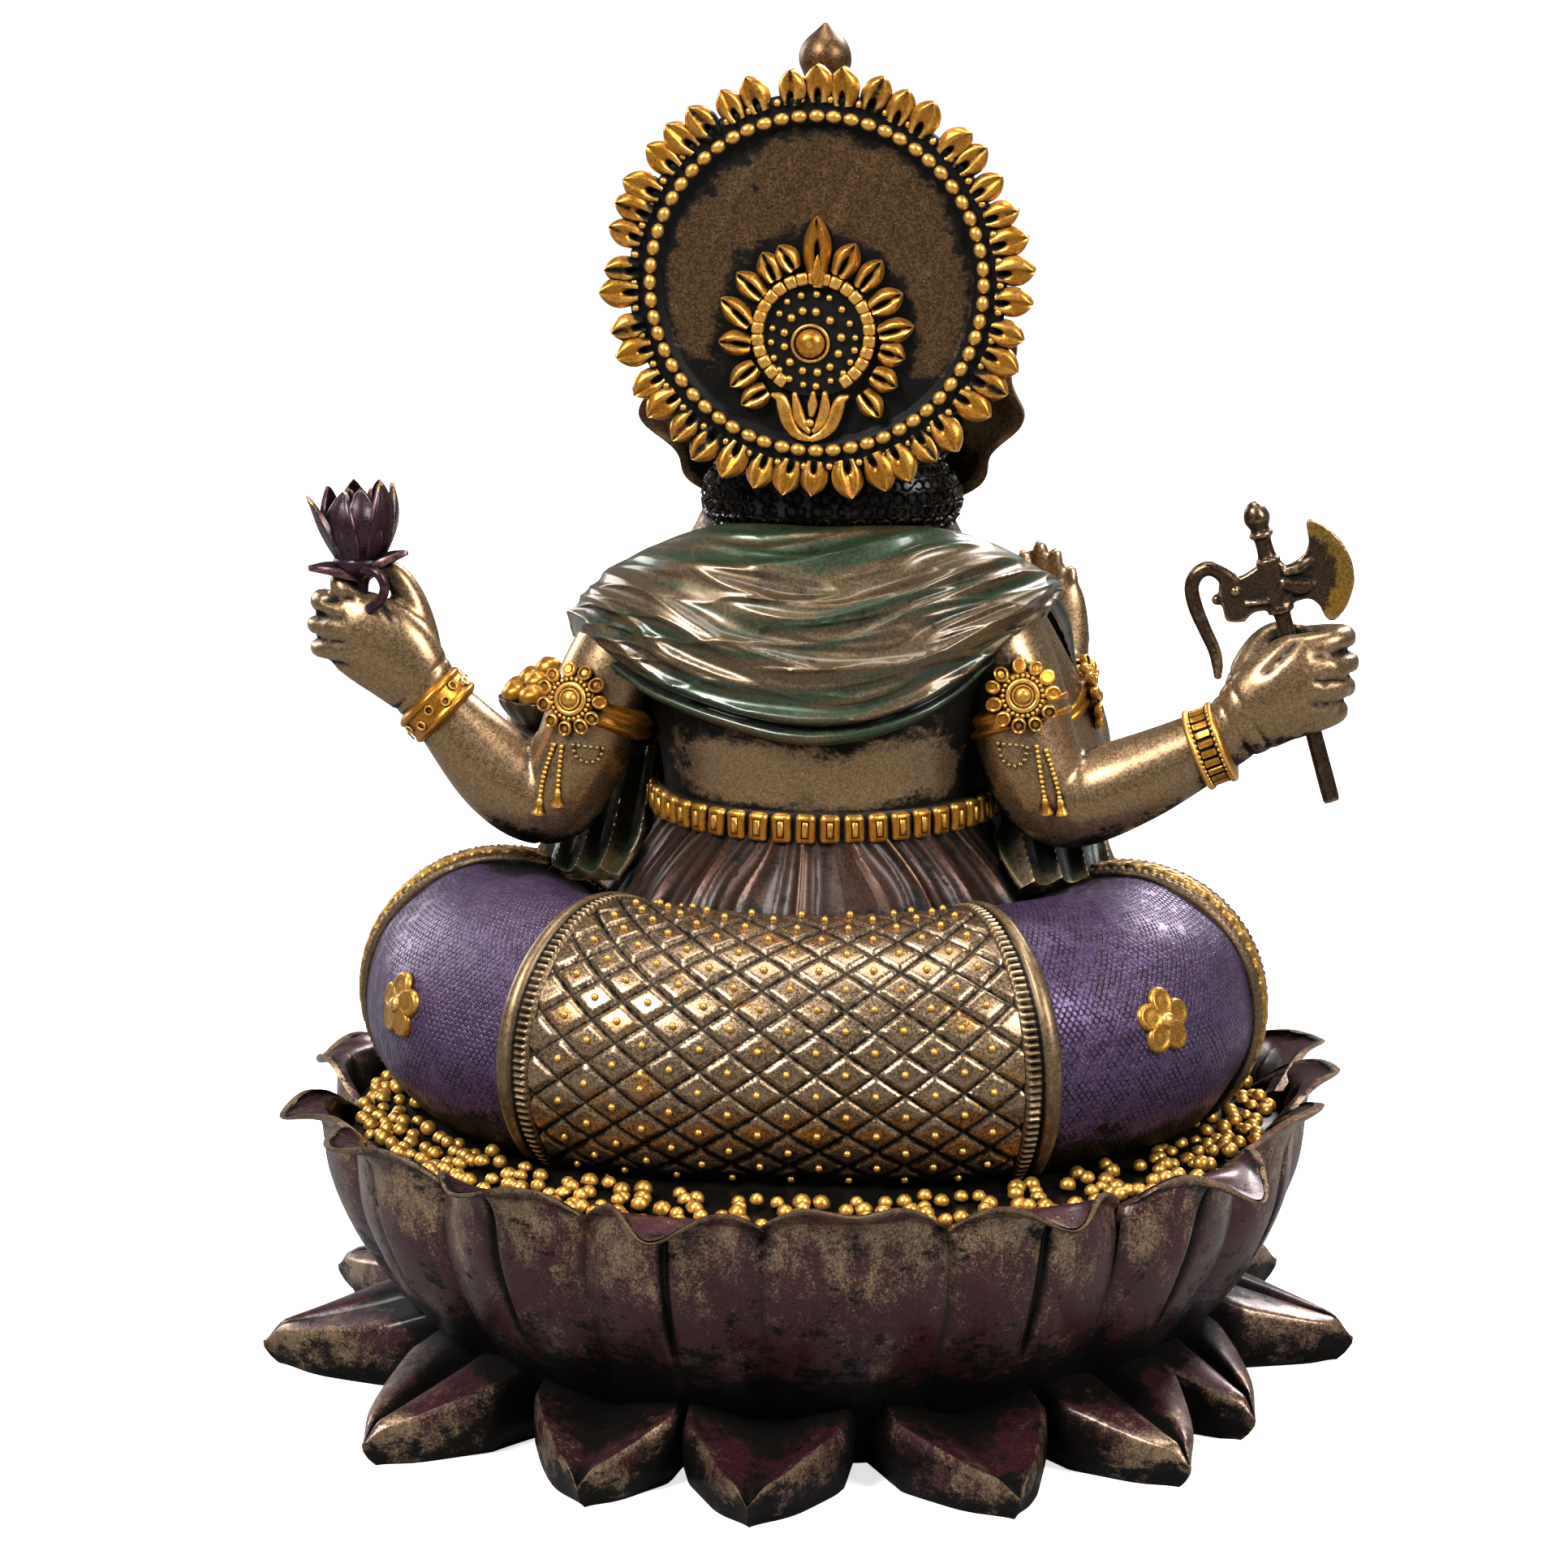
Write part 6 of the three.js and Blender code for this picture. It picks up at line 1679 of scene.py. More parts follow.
def head():
    x0, y0, z0 = HEAD_CENTRE
    trunk = [
        (-2, -18, 147, 10.5, 9), (-2, -26.5, 138, 8.6, 7.8), (-1, -33.5, 127, 7, 6.6), (3, -39, 115, 5.8, 5.6),
        (11, -43.5, 106.5, 4.9, 4.8), (22, -45.5, 102.5, 4.1, 4), (32, -43.5, 102.8, 3.4, 3.3), (38.6, -39.8, 100.6, 2.7, 2.7),
    ]

    def rings(shares):
        ridge = 1 - np.abs(np.sin(math.pi * 30 * shares ** 0.9)) ** 0.7
        return 1 + 0.055 * (0.6 - ridge) * smooth_step(0.08, 0.2, shares)
    shapes = [ball((x0, y0, z0), (18, 18, 17), 64, 44), limb(trunk, sides=44, steps=30, swell=rings)]
    shapes.append(ball((x0, y0 - 4, z0 + 12), (13.5, 12, 8), 48, 30))
    for side in (1, -1):
        shapes.append(ball((x0 + 6 * side, -16, 154), (7, 8, 7), 40, 26))
        shapes.append(ball((x0 + 9.0 * side, -16.5, 139.5), (6.6, 8, 7.4), 40, 26))
        shapes.append(limb([(x0 + 3.8 * side, -25.4, 149.2, 1.5, 1.3), (x0 + 8 * side, -23.4, 151.6, 1.8, 1.4),
                            (x0 + 12.6 * side, -18.8, 150.6, 1.6, 1.3)], sides=16, steps=8))
        shapes.append(limb([(x0 + 7.2 * side, -23.2, 137.5, 3.6, 3.4), (x0 + 9.4 * side, -28.0, 133.6, 2.9, 2.8)],
                           sides=24, steps=8))
    shapes.append(limb([(x0, -17, 131, 5.6, 4.2), (x0, -24.5, 128.2, 4.0, 2.6), (x0, -28.2, 126.2, 2.6, 1.6)], sides=28, steps=8))
    shapes.append(ball((-3, 2, 133), (16.5, 9, 8), 48, 30))

    def sockets(points):
        total = 0 * points[:, 0]
        for side in (1, -1):
            eye = np.array([x0 + 9.6 * side, -21.6, 146.6])
            offset = points - eye
            total -= 1.5 * np.exp(-(offset[:, 0] / 3.4) ** 2 - (offset[:, 1] / 4) ** 2 - (offset[:, 2] / 2.3) ** 2)
        return total
    piece = skin_piece("head", shapes, 0.6, 3, relief=sockets)
    for side in (1, -1):
        eye = np.array([x0 + 9.6 * side, -21.3, 146.6])
        out = unit(np.array([0.55 * side, -0.85, 0.05]))
        turn = facing(out)
        white = object_of(f"eye_{'left' if side > 0 else 'right'}", moved(
            turned(rounded([(0.2, 1.5), (1.2, 1.25), (2.1, 0.6), (2.5, -0.4), (1.6, -1.2)], 4)[::-1], 28), eye + 0.1 * out, turn, (1.0, 0.72, 0.8)))
        finished(white, "hair", angle=70)
        lids = []
        for rise in (1, -1):
            arc = np.array([(-3.1, 0.0, 0.1), (-1.7, 1.35 * rise, 0.75), (0, 1.75 * rise, 1.0), (1.7, 1.3 * rise, 0.75), (3.1, -0.1, 0.1)])
            arc = spline(arc, np.linspace(0, 1, 21)) @ turn.T + eye + 0.15 * out
            lids.append(string_along(arc, 0.5 if rise > 0 else 0.38, 10))
        finished(object_of(f"eyelids_{'left' if side > 0 else 'right'}", merged(lids)), "skin", angle=70)
    return piece


def tusks():
    for side, name, end in ((1, "left_tusk", 1.0), (-1, "right_tusk", 0.62)):
        path = np.array([(6.6, -22, 137.4, 2.3), (9.4, -28.6, 133.6, 2.05), (11.2, -33.0, 132.6, 1.6), (12.2, -36.4, 133.6, 0.9)])
        path = spline(path, np.linspace(0, end, 9))
        stations = [(HEAD_CENTRE[0] + side * x, y, z, r, r) for x, y, z, r in path]
        piece = object_of(name, limb(stations, sides=24, steps=3, cap=0.35 if side < 0 else 1.0))
        finished(piece, "tusk", angle=70)


EAR_OUTLINE = [
    (9, 158), (15, 160.2), (21, 158.6), (25.6, 154), (27.4, 148.4), (26.6, 143.5), (24.6, 138.6), (21.2, 134.2),
    (17.0, 130.6), (12.0, 129.6), (8.4, 134),
]


def ear(side, name):
    """A large ear: a fan from the side of the head with a rolled rim, soft waves and veins."""
    rows, columns = 44, 120
    along = np.linspace(0, 1, columns)
    rim = spline(np.array(EAR_OUTLINE, float), along)
    root = np.stack([np.full(columns, 6.5), 156 - 20 * along], -1)
    s = np.linspace(0, 1, rows)[:, None]
    flat = root[None] * (1 - s[..., None]) + rim[None] * s[..., None]
    edge = 1 + 0.05 * np.sin(9 * math.pi * along)[None] * s ** 3
    x = flat[..., 0] * edge
    z = flat[..., 1]
    waves = 0.9 * np.sin(4.2 * math.pi * along[None] + 0.7) * s ** 2 + 0.35 * np.sin(11 * math.pi * along[None]) * s ** 2
    back = -3.4 + 0.022 * (x - 8).clip(0) ** 2 + waves
    roll = 1.15 * np.exp(-((s - 0.93) / 0.06) ** 2)
    veins = 0.35 * np.exp(-(np.sin(7 * math.pi * along[None] + 1.5 * s) / 0.28) ** 2) * smooth_step(0.1, 0.4, s) * (1 - smooth_step(0.6, 0.88, s))
    bowl = 1.3 * np.sin(math.pi * s ** 0.8) ** 2
    front = back - 1.1 - roll - veins + bowl
    rear = back + 1.1 + 0.5 * roll + 0.3 * veins
    place = np.stack([-3 + side * x, back, z], -1)
    outer, inner = place.copy(), place.copy()
    outer[..., 1], inner[..., 1] = rear, front
    piece = object_of(name, shell(outer, inner))
    return finished(piece, "skin", angle=75, keep=0.45)


def curl_shape():
    """One curl of hair: a small open ring that rises a little along its length."""
    turn = np.linspace(0, 1.75 * math.pi, 8)
    path = np.stack([np.cos(turn), np.sin(turn), 0.25 * turn / math.pi], -1)
    return limb([(*p, 0.26, 0.26) for p in path], sides=3, steps=1, across=Z_AXIS, cap=0.6)


def neck_hair():
    """Tight curls over the back of the neck and head, below the disc."""
    base = ball((-3, 5, 132), (18.6, 9.6, 9.5), 48, 28)
    cap = ball((-2.5, -1, 146), (18.8, 16, 17.5), 48, 32)
    piece = object_of("hair_base", merged([base, cap]))
    finished(piece, "hair", angle=80)
    places = []
    shape = curl_shape()
    for centre, half, rows in (((-3, 5, 132), (18.6, 9.6, 9.5), 16), ((-2.5, -1, 146), (18.8, 16, 17.5), 24)):
        for row in range(rows):
            rise = -math.pi / 2 + math.pi * (row + 0.5) / rows
            count = max(3, int(2 * math.pi * half[0] * math.cos(rise) / 1.9))
            for i in range(count):
                turn = 2 * math.pi * (i + scatter(i, row) * 0.7) / count
                out = np.array([math.cos(turn) * math.cos(rise), math.sin(turn) * math.cos(rise), math.sin(rise)])
                place = np.array(centre) + np.array(half) * out
                if place[1] < 1.5 or place[2] > 152 or place[2] < 124:
                    continue
                spin = scatter(i, row, 3) * 6.28
                turned_up = (math.cos(spin), 0.2, math.sin(spin))
                size = 0.62 + 0.35 * scatter(i, row, 5)
                places.append((place + 0.1 * out, facing(unit(out / np.array(half)), turned_up), size))
    piece = object_of("hair_curls", copies(shape, places))
    return finished(piece, "hair", angle=80)


CROWN_Y = 3.0
CROWN_TIERS = ((18.0, 153.0, 160.5), (14.3, 161.5, 170.0), (10.8, 170.8, 179.4))


def crown():
    """A tall tiered crown with bead rows, a fringe of leaves on each tier, and a bud-shaped finial."""
    profile = []
    for radius, low, high in CROWN_TIERS:
        tall = high - low
        profile += [(radius * 0.93, low), (radius, low + 0.6), (radius, low + 1.6), (radius * 0.95, low + 2.2),
                    (radius * 0.93, low + 0.5 * tall), (radius * 0.96, high - 1.6), (radius * 1.0, high - 0.9), (radius * 0.97, high)]
    profile += [(7.4, 180.4), (7.3, 182), (5.6, 185.2), (4.4, 188), (3.1, 190.4), (2.6, 192), (3.0, 192.6), (2.2, 193.2)]
    profile = np.array(profile)
    shapes = [turned(rounded(profile, 3), 96, (BODY_X, CROWN_Y, 0))]
    bead = bead_shape(1)
    for tier, (radius, low, high) in enumerate(CROWN_TIERS):
        for height, size in ((low + 1.1, 0.62), (high - 0.8, 0.55)):
            count = int(2 * math.pi * radius / (2.2 * size))
            centres = circle_of(radius + 0.15, count, height) + (BODY_X, CROWN_Y, 0)
            shapes.append(copies(bead, [(c, np.eye(3), size) for c in centres]))
        count = (18, 16, 12)[tier]
        leaf, _ = leaf_shape((high - low) * 0.72, 2 * math.pi * radius / count * 0.86, 0.9)
        for i in range(count):
            turn = 2 * math.pi * i / count - math.pi / 2
            out = np.array([math.cos(turn), math.sin(turn), 0.05])
            place = np.array([BODY_X, CROWN_Y, low + 2.2]) + out * (radius * 0.94)
            shapes.append(moved(leaf, place, facing(out)))
    for i in range(10):
        turn = 2 * math.pi * i / 10
        out = np.array([math.cos(turn), math.sin(turn), 0.45])
        leaf, _ = leaf_shape(6.0, 3.6, 0.8)
        shapes.append(moved(leaf, np.array([BODY_X, CROWN_Y, 181.2]) + np.array([math.cos(turn), math.sin(turn), 0]) * 6.9, facing(unit(out))))
    plaque_out = unit((0, -1, 0.1))
    shapes.append(moved(rosette(41, 6.4, 11), (BODY_X, CROWN_Y - 18.4, 157.5), facing(plaque_out)))
    shapes.append(moved(rosette(42, 4.6, 9), (BODY_X, CROWN_Y - 14.6, 166.4), facing(plaque_out)))
    points, faces = merged(shapes)
    points[:, 1] = np.minimum(points[:, 1], 16.4)
    finished(object_of("crown", (points, faces)), "gold", angle=50, keep=0.35)
    finial = rounded([(1.6, 191.6), (2.9, 192.4), (3.3, 193.2), (3.75, 194.6), (3.65, 196.2), (2.9, 197.7), (1.7, 198.9), (0.8, 199.7),
        (0.25, 200.2)], 5)
    piece = object_of("finial", turned(finial, 48, (BODY_X, CROWN_Y, 0), detail=lambda h, t: 0.05 * np.sin(3 * t + h)))
    return finished(piece, "disc_bronze", angle=80, keep=0.5)


def forehead_band():
    """A jewelled band over the brow, under the crown."""
    head_piece = [bpy.data.objects["head"]]
    turns = np.radians(np.linspace(-72, 72, 49))
    rows = []
    for rise, lift in ((0.0, 0.35), (-1.7, 0.2), (1.6, 0.3)):
        row = []
        for turn in turns:
            start = np.array([HEAD_CENTRE[0] + 60 * math.sin(turn), HEAD_CENTRE[1] - 60 * math.cos(turn), 155.2 + rise])
            row.append(onto(head_piece, start, (-math.sin(turn), math.cos(turn), 0), lift)[0])
        rows.append(np.array(row))
    shapes = [beads_along(rows[0], 0.85), beads_along(rows[1], 0.5), string_along(rows[2], 0.6)]
    place, out = onto(head_piece, (HEAD_CENTRE[0], -60, 152.8), (0, 1, 0), 0.3)
    drop, _ = leaf_shape(4.6, 3.4, 1.0)
    shapes.append(moved(drop, place, facing(out, (0, 0, -1))))
    return finished(object_of("forehead_band", merged(shapes)), "gold", angle=60)


# The disc behind the head

DISC_CENTRE = (-2.2, 19.0, 164.6)
FACE_BACK = np.array([[-1.0, 0, 0], [0, 0, 1.0], [0, 1.0, 0]]).T


def on_disc(points, centre=DISC_CENTRE):
    """Points given as (across to the figure's left, up, out to the back) from the disc's middle."""
    points = np.asarray(points, float)
    return np.stack([points[..., 0], points[..., 2], points[..., 1]], -1) + np.asarray(centre, float)


def disc_turn(angle, tip=0.0):
    """The turn of a leaf that points outward at an angle from straight up, facing the back, its tip bent by `tip`."""
    radial = np.array([math.sin(angle), 0, math.cos(angle)])
    out = unit(np.array([0, 1.0, 0]) - tip * radial)
    radial = unit(radial - (radial @ out) * out)
    return np.stack([np.cross(radial, out), radial, out], 1)


def disc(leaves, beads):
    place, way = DISC_CENTRE, Y_AXIS
    field = rounded([(25.6, -2.0), (26.8, -1.4), (26.9, 0.2), (26.2, 0.9), (25.4, 0.9), (24.4, 0.9), (23.2, 1.2), (22.6, 0.9), (22.0, 0.35)], 2)
    radii = np.linspace(21.6, 0.5, 60)
    inner = np.stack([radii, 0.35 + 0.25 * (1 - (radii / 22) ** 2)], -1)
    profile = np.vstack([[(20, -1.6)], [(24.6, -1.8)], field, inner])
    points, faces = turned(profile, 200, place, way)
    flat = points - np.array(place)
    reach = np.hypot(flat[:, 0], flat[:, 2])
    dents = 0.16 * wobble(points, 5, 3) + 0.05 * wobble(points, 1.4, 5)
    points[:, 1] += dents * (reach < 21.8) * (flat[:, 1] > 0)
    piece = object_of("disc_field", (points, faces))
    around_flower = np.hypot(flat[:, 0] - 0.4, (flat[:, 2] + 8.2) * 0.96)
    # Painted shade towards the rim under the leaves and beads and round the raised flower, and darker low on the disc
    grime = 0.5 * smooth_step(17.5, 22.4, reach) + 0.62 * (1 - smooth_step(12.6, 18.5, around_flower))
    grime = grime + 0.35 * smooth_step(-10, -20, flat[:, 2]) + 1.0 * (reach > 22.3)
    set_mask(piece, "grime", grime * (flat[:, 1] > -0.5))
    finished(piece, "disc_bronze", angle=60, keep=0.4)
    bead = bead_shape(2)
    number = np.arange(beads)
    turn = 2 * math.pi * (number + 0.1 * (scatter(number, 1) - 0.5)) / beads
    centres = on_disc(np.stack([23.75 * np.sin(turn), 23.75 * np.cos(turn), np.full(beads, 1.25)], -1))
    places = [(c, disc_turn(t), (1.16, 0.92, 0.9)) for c, t in zip(centres, turn)]
    ring_beads = copies(bead, places)
    dots = []
    for i in range(leaves):
        angle = 2 * math.pi * (i + 0.5 + 0.2 * (scatter(i, 4) - 0.5)) / leaves
        dots.append((on_disc((26.1 * math.sin(angle), 26.1 * math.cos(angle), 1.0)), disc_turn(angle), (0.55, 0.55, 0.5)))
    rim = [moved(hoop(22.5, 0.28, 160, 6), place, FACE_BACK)]
    piece = object_of("disc_beads", merged([ring_beads, copies(bead, dots)] + rim))
    finished(piece, "gold", angle=80)
    shape, dark = leaf_shape(5.2, 4.35, 1.6, rim=0.25, slit=0.8, slit_from=-0.2, slit_to=0.36, slit_width=0.17,
                             rows=15, base=0.66)
    places, darks = [], []
    for i in range(leaves):
        angle = 2 * math.pi * (i + 0.25 * (scatter(i, 7) - 0.5)) / leaves
        spin = 0.28 * (scatter(i, 8) - 0.5)
        reach = 25.6 + 0.5 * (scatter(i, 9) - 0.5)
        turn = disc_turn(angle + spin, 0.05 + 0.22 * scatter(i, 10))
        twist = 0.6 * (scatter(i, 11) - 0.5)
        turn = turn @ np.array([[math.cos(twist), 0, math.sin(twist)], [0, 1, 0], [-math.sin(twist), 0, math.cos(twist)]])
        size = 0.94 + 0.16 * scatter(i, 12)
        places.append((on_disc((reach * math.sin(angle), reach * math.cos(angle), 0.5)), turn, (size, size, 1.0)))
        darks.append(dark)
    piece = object_of("disc_leaves", copies(shape, places))
    set_mask(piece, "dark", np.concatenate(darks))
    # Painted shade at the foot of each leaf; some leaves are duller at random
    root = 0.5 * smooth_step(1.9, 0.3, shape[0][:, 1])
    dull = 0.38 * scatter(np.arange(leaves), 41) ** 3
    set_mask(piece, "grime", (root[None] + dull[:, None]).ravel())
    return finished(piece, "gold", angle=60, keep=0.55)


def disc_front():
    """The side of the disc that faces forward: rays and a plain rim, quieter than the back."""
    rays, number = [], 32
    for i in range(number):
        angle = 2 * math.pi * i / number
        out = np.array([math.sin(angle), 0, math.cos(angle)])
        start, end = np.array(DISC_CENTRE) + 13 * out + (0, -1.9, 0), np.array(DISC_CENTRE) + 24.4 * out + (0, -1.9, 0)
        rays.append(limb([(*start, 0.5, 0.35), (*((start + end) / 2), 0.9, 0.5), (*end, 0.5, 0.35)], sides=8, steps=3, across=np.cross(out, Y_AXIS), cap=0.8))
    rays.append(moved(hoop(25.2, 0.7, 160, 10), np.array(DISC_CENTRE) + (0, -1.6, 0), FACE_BACK))
    return finished(object_of("disc_front_rays", merged(rays)), "gold", angle=60)


MEDALLION_CENTRE = (-1.4, 19.8, 156.2)
# Foot and tip of each leaf, across and up from the boss
MEDALLION_LEAVES = [
    (2.3, 10.6, 4.4, 13.7), (5.0, 9.0, 6.7, 12.7), (6.9, 6.6, 10.3, 9.8), (8.7, 2.6, 12.5, 6.2), (8.6, -0.3, 12.9, 0.2),
    (7.8, -3.3, 11.2, -6.1), (6.2, -6.7, 9.7, -8.7), (-4.0, 9.8, -6.3, 14.0), (-7.1, 8.0, -10.0, 11.7),
    (-8.8, 5.0, -12.9, 7.2), (-9.9, 1.5, -14.5, 2.6), (-10.0, -0.9, -13.3, -1.9), (-8.9, -4.3, -12.2, -5.9),
    (-7.4, -7.0, -9.9, -10.2),
]
MEDALLION_DOTS = [
    (1.3, 6.8), (-0.9, 7.0), (-2.7, 6.5), (3.3, 5.9), (-4.5, 4.9), (1.1, 4.6), (-0.8, 4.5), (2.7, 3.6), (-2.8, 3.3),
    (4.4, 4.2), (-5.6, 2.9), (5.4, 2.1), (3.7, 1.5), (-4.4, 0.9), (-6.4, 0.9), (5.6, 0.1), (3.7, -0.5), (-4.0, -1.4),
    (-6.3, -0.9), (5.2, -2.1), (2.9, -2.7), (-5.7, -2.6), (4.4, -3.8), (1.1, -3.9), (-1.0, -4.1), (-2.8, -3.3),
    (-4.7, -4.2), (3.0, -5.1), (1.0, -5.9), (-2.9, -5.3), (-0.8, -6.1),
]
TULIP_PETALS = [
    ([(5.3, -7.4, 0.35), (4.3, -7.9, 0.8), (3.7, -9.2, 1.05), (3.1, -11.2, 1.05), (1.9, -12.9, 0.8), (0.3, -13.6, 0.5)], 0.0),
    ([(-5.2, -7.6, 0.35), (-4.3, -8.2, 0.8), (-3.6, -10.0, 1.0), (-2.8, -11.7, 1.0), (-1.6, -12.9, 0.8), (-0.2, -13.6, 0.5)], 0.0),
    ([(2.2, -7.3, 0.4), (1.75, -9.6, 0.75), (1.2, -11.2, 0.75), (0.2, -12.5, 0.4)], 0.25),
    ([(-2.1, -7.1, 0.4), (-2.1, -9.1, 0.75), (-1.6, -11.0, 0.75), (-0.6, -12.4, 0.4)], 0.25),
    ([(-0.45, -7.1, 0.35), (-0.35, -8.7, 0.7), (-0.2, -10.1, 0.4)], 0.3),
]


def flat_limb(points, lift, thick=0.7):
    """A bar of the flower on the disc along (across, up, half width)."""
    stations = [(MEDALLION_CENTRE[0] + a, MEDALLION_CENTRE[1] + 0.5 + lift, MEDALLION_CENTRE[2] + b, thick, w)
                for a, b, w in points]
    return limb(stations, sides=12, steps=6, across=Y_AXIS, cap=0.7)


def medallion():
    """The flower on the disc: a boss among dots, a notched ring, leaves, a bud above and a tulip below."""
    centre = np.array(MEDALLION_CENTRE)
    bead = bead_shape(2)
    shapes = []
    dome = rounded([(2.15, -0.6), (2.1, 0.6), (1.85, 1.3), (1.2, 1.9), (0.4, 2.15)], 4)
    shapes.append(turned(dome, 32, centre, Y_AXIS))
    shapes.append(moved(hoop(2.55, 0.26, 40, 8), centre + (0, 0.6, 0), FACE_BACK))
    dots = []
    for i, (a, b) in enumerate(MEDALLION_DOTS):
        near = math.hypot(a, b) < 5.2
        size = (0.62 if near else 0.5) * (0.92 + 0.16 * scatter(i, 2))
        dots.append((centre + (a, 0.6, b), np.eye(3), size))
    shapes.append(copies(bead, dots))
    ring_centre = centre + (-0.45, 0.55, 1.3)
    block = []
    count = 30
    for i in range(count):
        angle = 2 * math.pi * (i + 0.12 * (scatter(i, 5) - 0.5)) / count
        if abs((angle + math.pi) % (2 * math.pi) - math.pi) > 2.62:
            continue
        turn = disc_turn(angle)
        outline = np.array([(-0.78, -0.86), (0.78, -0.86), (0.86, 0.86), (-0.86, 0.86)])
        rings = []
        for size, height in ((1.0, -0.5), (1.02, 0.35), (0.94, 0.7), (0.72, 0.86)):
            loop = []
            for k in range(4):
                a, b = outline[k], outline[(k + 1) % 4]
                loop += [a * 0.86 + b * 0.14, a * 0.5 + b * 0.5, a * 0.14 + b * 0.86]
            rings.append(np.column_stack([np.array(loop) * size, np.full(12, height)]))
        body, faces = closed_tube(np.array(rings))
        block.append((body @ turn.T + ring_centre + 8.0 * np.array([math.sin(angle), 0, math.cos(angle)]), faces))
    shapes.append(merged(block))
    for points, lift in TULIP_PETALS:
        shapes.append(flat_limb(points, lift))
    shapes.append(moved(bead, centre + (0.05, 1.1, -11.3), None, 0.62))
    piece = object_of("medallion", merged(shapes))
    finished(piece, "gold", angle=55)
    leaves, darks = [], []
    for i, (a, b, c, d) in enumerate(MEDALLION_LEAVES + [(-1.0, 9.6, -1.0, 17.7)]):
        length = math.hypot(c - a, d - b) * 1.06
        width = 4.1 if i == 14 else 3.5 + 0.5 * scatter(i, 3)
        shape, dark = leaf_shape(length, width, 1.3, rim=0.5, slit=0.9, slit_from=0.05, slit_to=0.55, slit_width=0.13,
                                 base=0.62)
        leaves.append(moved(shape, centre + (a, 0.35, b), disc_turn(math.atan2(c - a, d - b), 0.1)))
        darks.append(dark)
    bud, dark = leaf_shape(4.6, 2.5, 2.2, rim=0.0, slit=0.0, base=0.5)
    leaves.append(moved(bud, centre + (-1.1, 0.9, 8.0), disc_turn(0.0, -0.15)))
    darks.append(0 * dark)
    piece = object_of("medallion_leaves", merged(leaves))
    set_mask(piece, "dark", np.concatenate(darks))
    finished(piece, "gold", angle=60)
    ground = turned(rounded([(8.8, -0.8), (8.9, 0.25), (8.4, 0.5), (4, 0.5), (1, 0.5)], 3), 64, ring_centre - (0, 0.75, 0), Y_AXIS)
    return finished(object_of("medallion_ground", ground), "seat", angle=50)


# The lotus bud, the bowl of sweets and the axe

def bud_petal(length, width, curl, thick=0.7, rows=22, columns=13):
    """A petal that rises from the origin along +Z and bows outward along +Y, with a raised middle and edge."""
    s, t = np.linspace(0, 1, rows)[:, None], np.linspace(-1, 1, columns)[None]
    half = width / 2 * np.sin(math.pi * (0.14 + 0.86 * s)).clip(0) ** 0.8 + 0.05
    out = curl[0] * np.sin(math.pi * s * 0.86) + curl[1] * s ** 3
    cup = 0.30 * half * t ** 2
    x, y, z = t * half, out - cup, s * length + 0 * t
    rib = 0.12 * np.exp(-(t / 0.16) ** 2) * np.sin(math.pi * s)
    edge = 0.14 * np.exp(-((np.abs(t) - 0.9) / 0.12) ** 2)
    thickness = thick * (1 - 0.55 * s)
    outer = np.stack([x, y + rib + edge, z], -1)
    inner = np.stack([x * 0.94, y - thickness, z], -1)
    points, faces = shell(outer, inner)
    tip = smooth_step(0.72, 1.0, s + 0 * t) * 0.35 + 0.35 * smooth_step(0.8, 1.0, np.abs(t) + 0 * s)
    return (points, faces), np.concatenate([tip.ravel(), (tip * 0.6).ravel()])


def lotus_bud():
    """The opening lotus that the rear left hand holds, with its open leaves and curled stem."""
    x, y, z = 66.0, 9.0, 121.4
    shapes, paint = [], []
    tips = [  # turn in degrees (0 towards the camera), lean, length, width
        (-70, 1.5, 10.4, 6.0), (-30, -0.2, 11.2, 6.2), (14, -0.5, 11.6, 6.0), (60, 0.1, 12.6, 5.8), (104, 0.4, 12.0, 5.8),
        (150, 0.3, 12.0, 6.0), (200, 0.2, 12.0, 6.0), (248, 0.6, 11.2, 6.0),
    ]
    for degrees, lean, length, width in tips:
        shape, tip = bud_petal(length, width, (2.5, 2.6 * lean), 1.1)
        turn = turn_matrix(math.radians(degrees), "Z")
        shapes.append(moved(shape, np.array([x, y, z]) + turn @ (0, 3.0, 0), turn))
        paint.append(tip)
    for k in range(5):
        shape, tip = bud_petal(11.2, 4.6, (1.2, 0.6))
        turn = turn_matrix(math.radians(36 + 72 * k), "Z")
        shapes.append(moved(shape, np.array([x, y, z]) + turn @ (0, 0.7, 0), turn))
        paint.append(tip)
    for way, length in (((1, 0.25, -0.05), 7.6), ((-1, 0.25, 0.3), 8.2), ((-0.1, -1, 0.1), 7.0)):
        shape, tip = bud_petal(length, 4.8, (1.2, 0.4), 1.5)
        shapes.append(moved(shape, (x, y, z - 0.6), facing(way)))
        paint.append(0.4 * tip)
    cup = turned(rounded([(1.1, -5.0), (1.3, -2.8), (2.0, -1.6), (3.4, -0.5), (3.9, 0.8), (2.6, 2.2)], 4), 32, (x, y, z))
    shapes.append(cup)
    paint.append(np.zeros(len(cup[0])))
    curl = spline(np.array([
        (64.9, 12.0, 121.2), (62.6, 13.4, 120.8), (61.6, 13.6, 118.8), (62.4, 13.3, 116.6), (64.2, 12.4, 115.4)]), np.linspace(0, 1, 25))
    stem = limb([(*p, 0.75, 0.75) for p in curl], sides=12, steps=1, across=Y_AXIS)
    shapes.append(stem)
    paint.append(np.zeros(len(stem[0])))
    piece = object_of("lotus_bud", merged(shapes))
    set_mask(piece, "paint", np.concatenate(paint))
    return finished(piece, "bud", angle=70, keep=0.7)


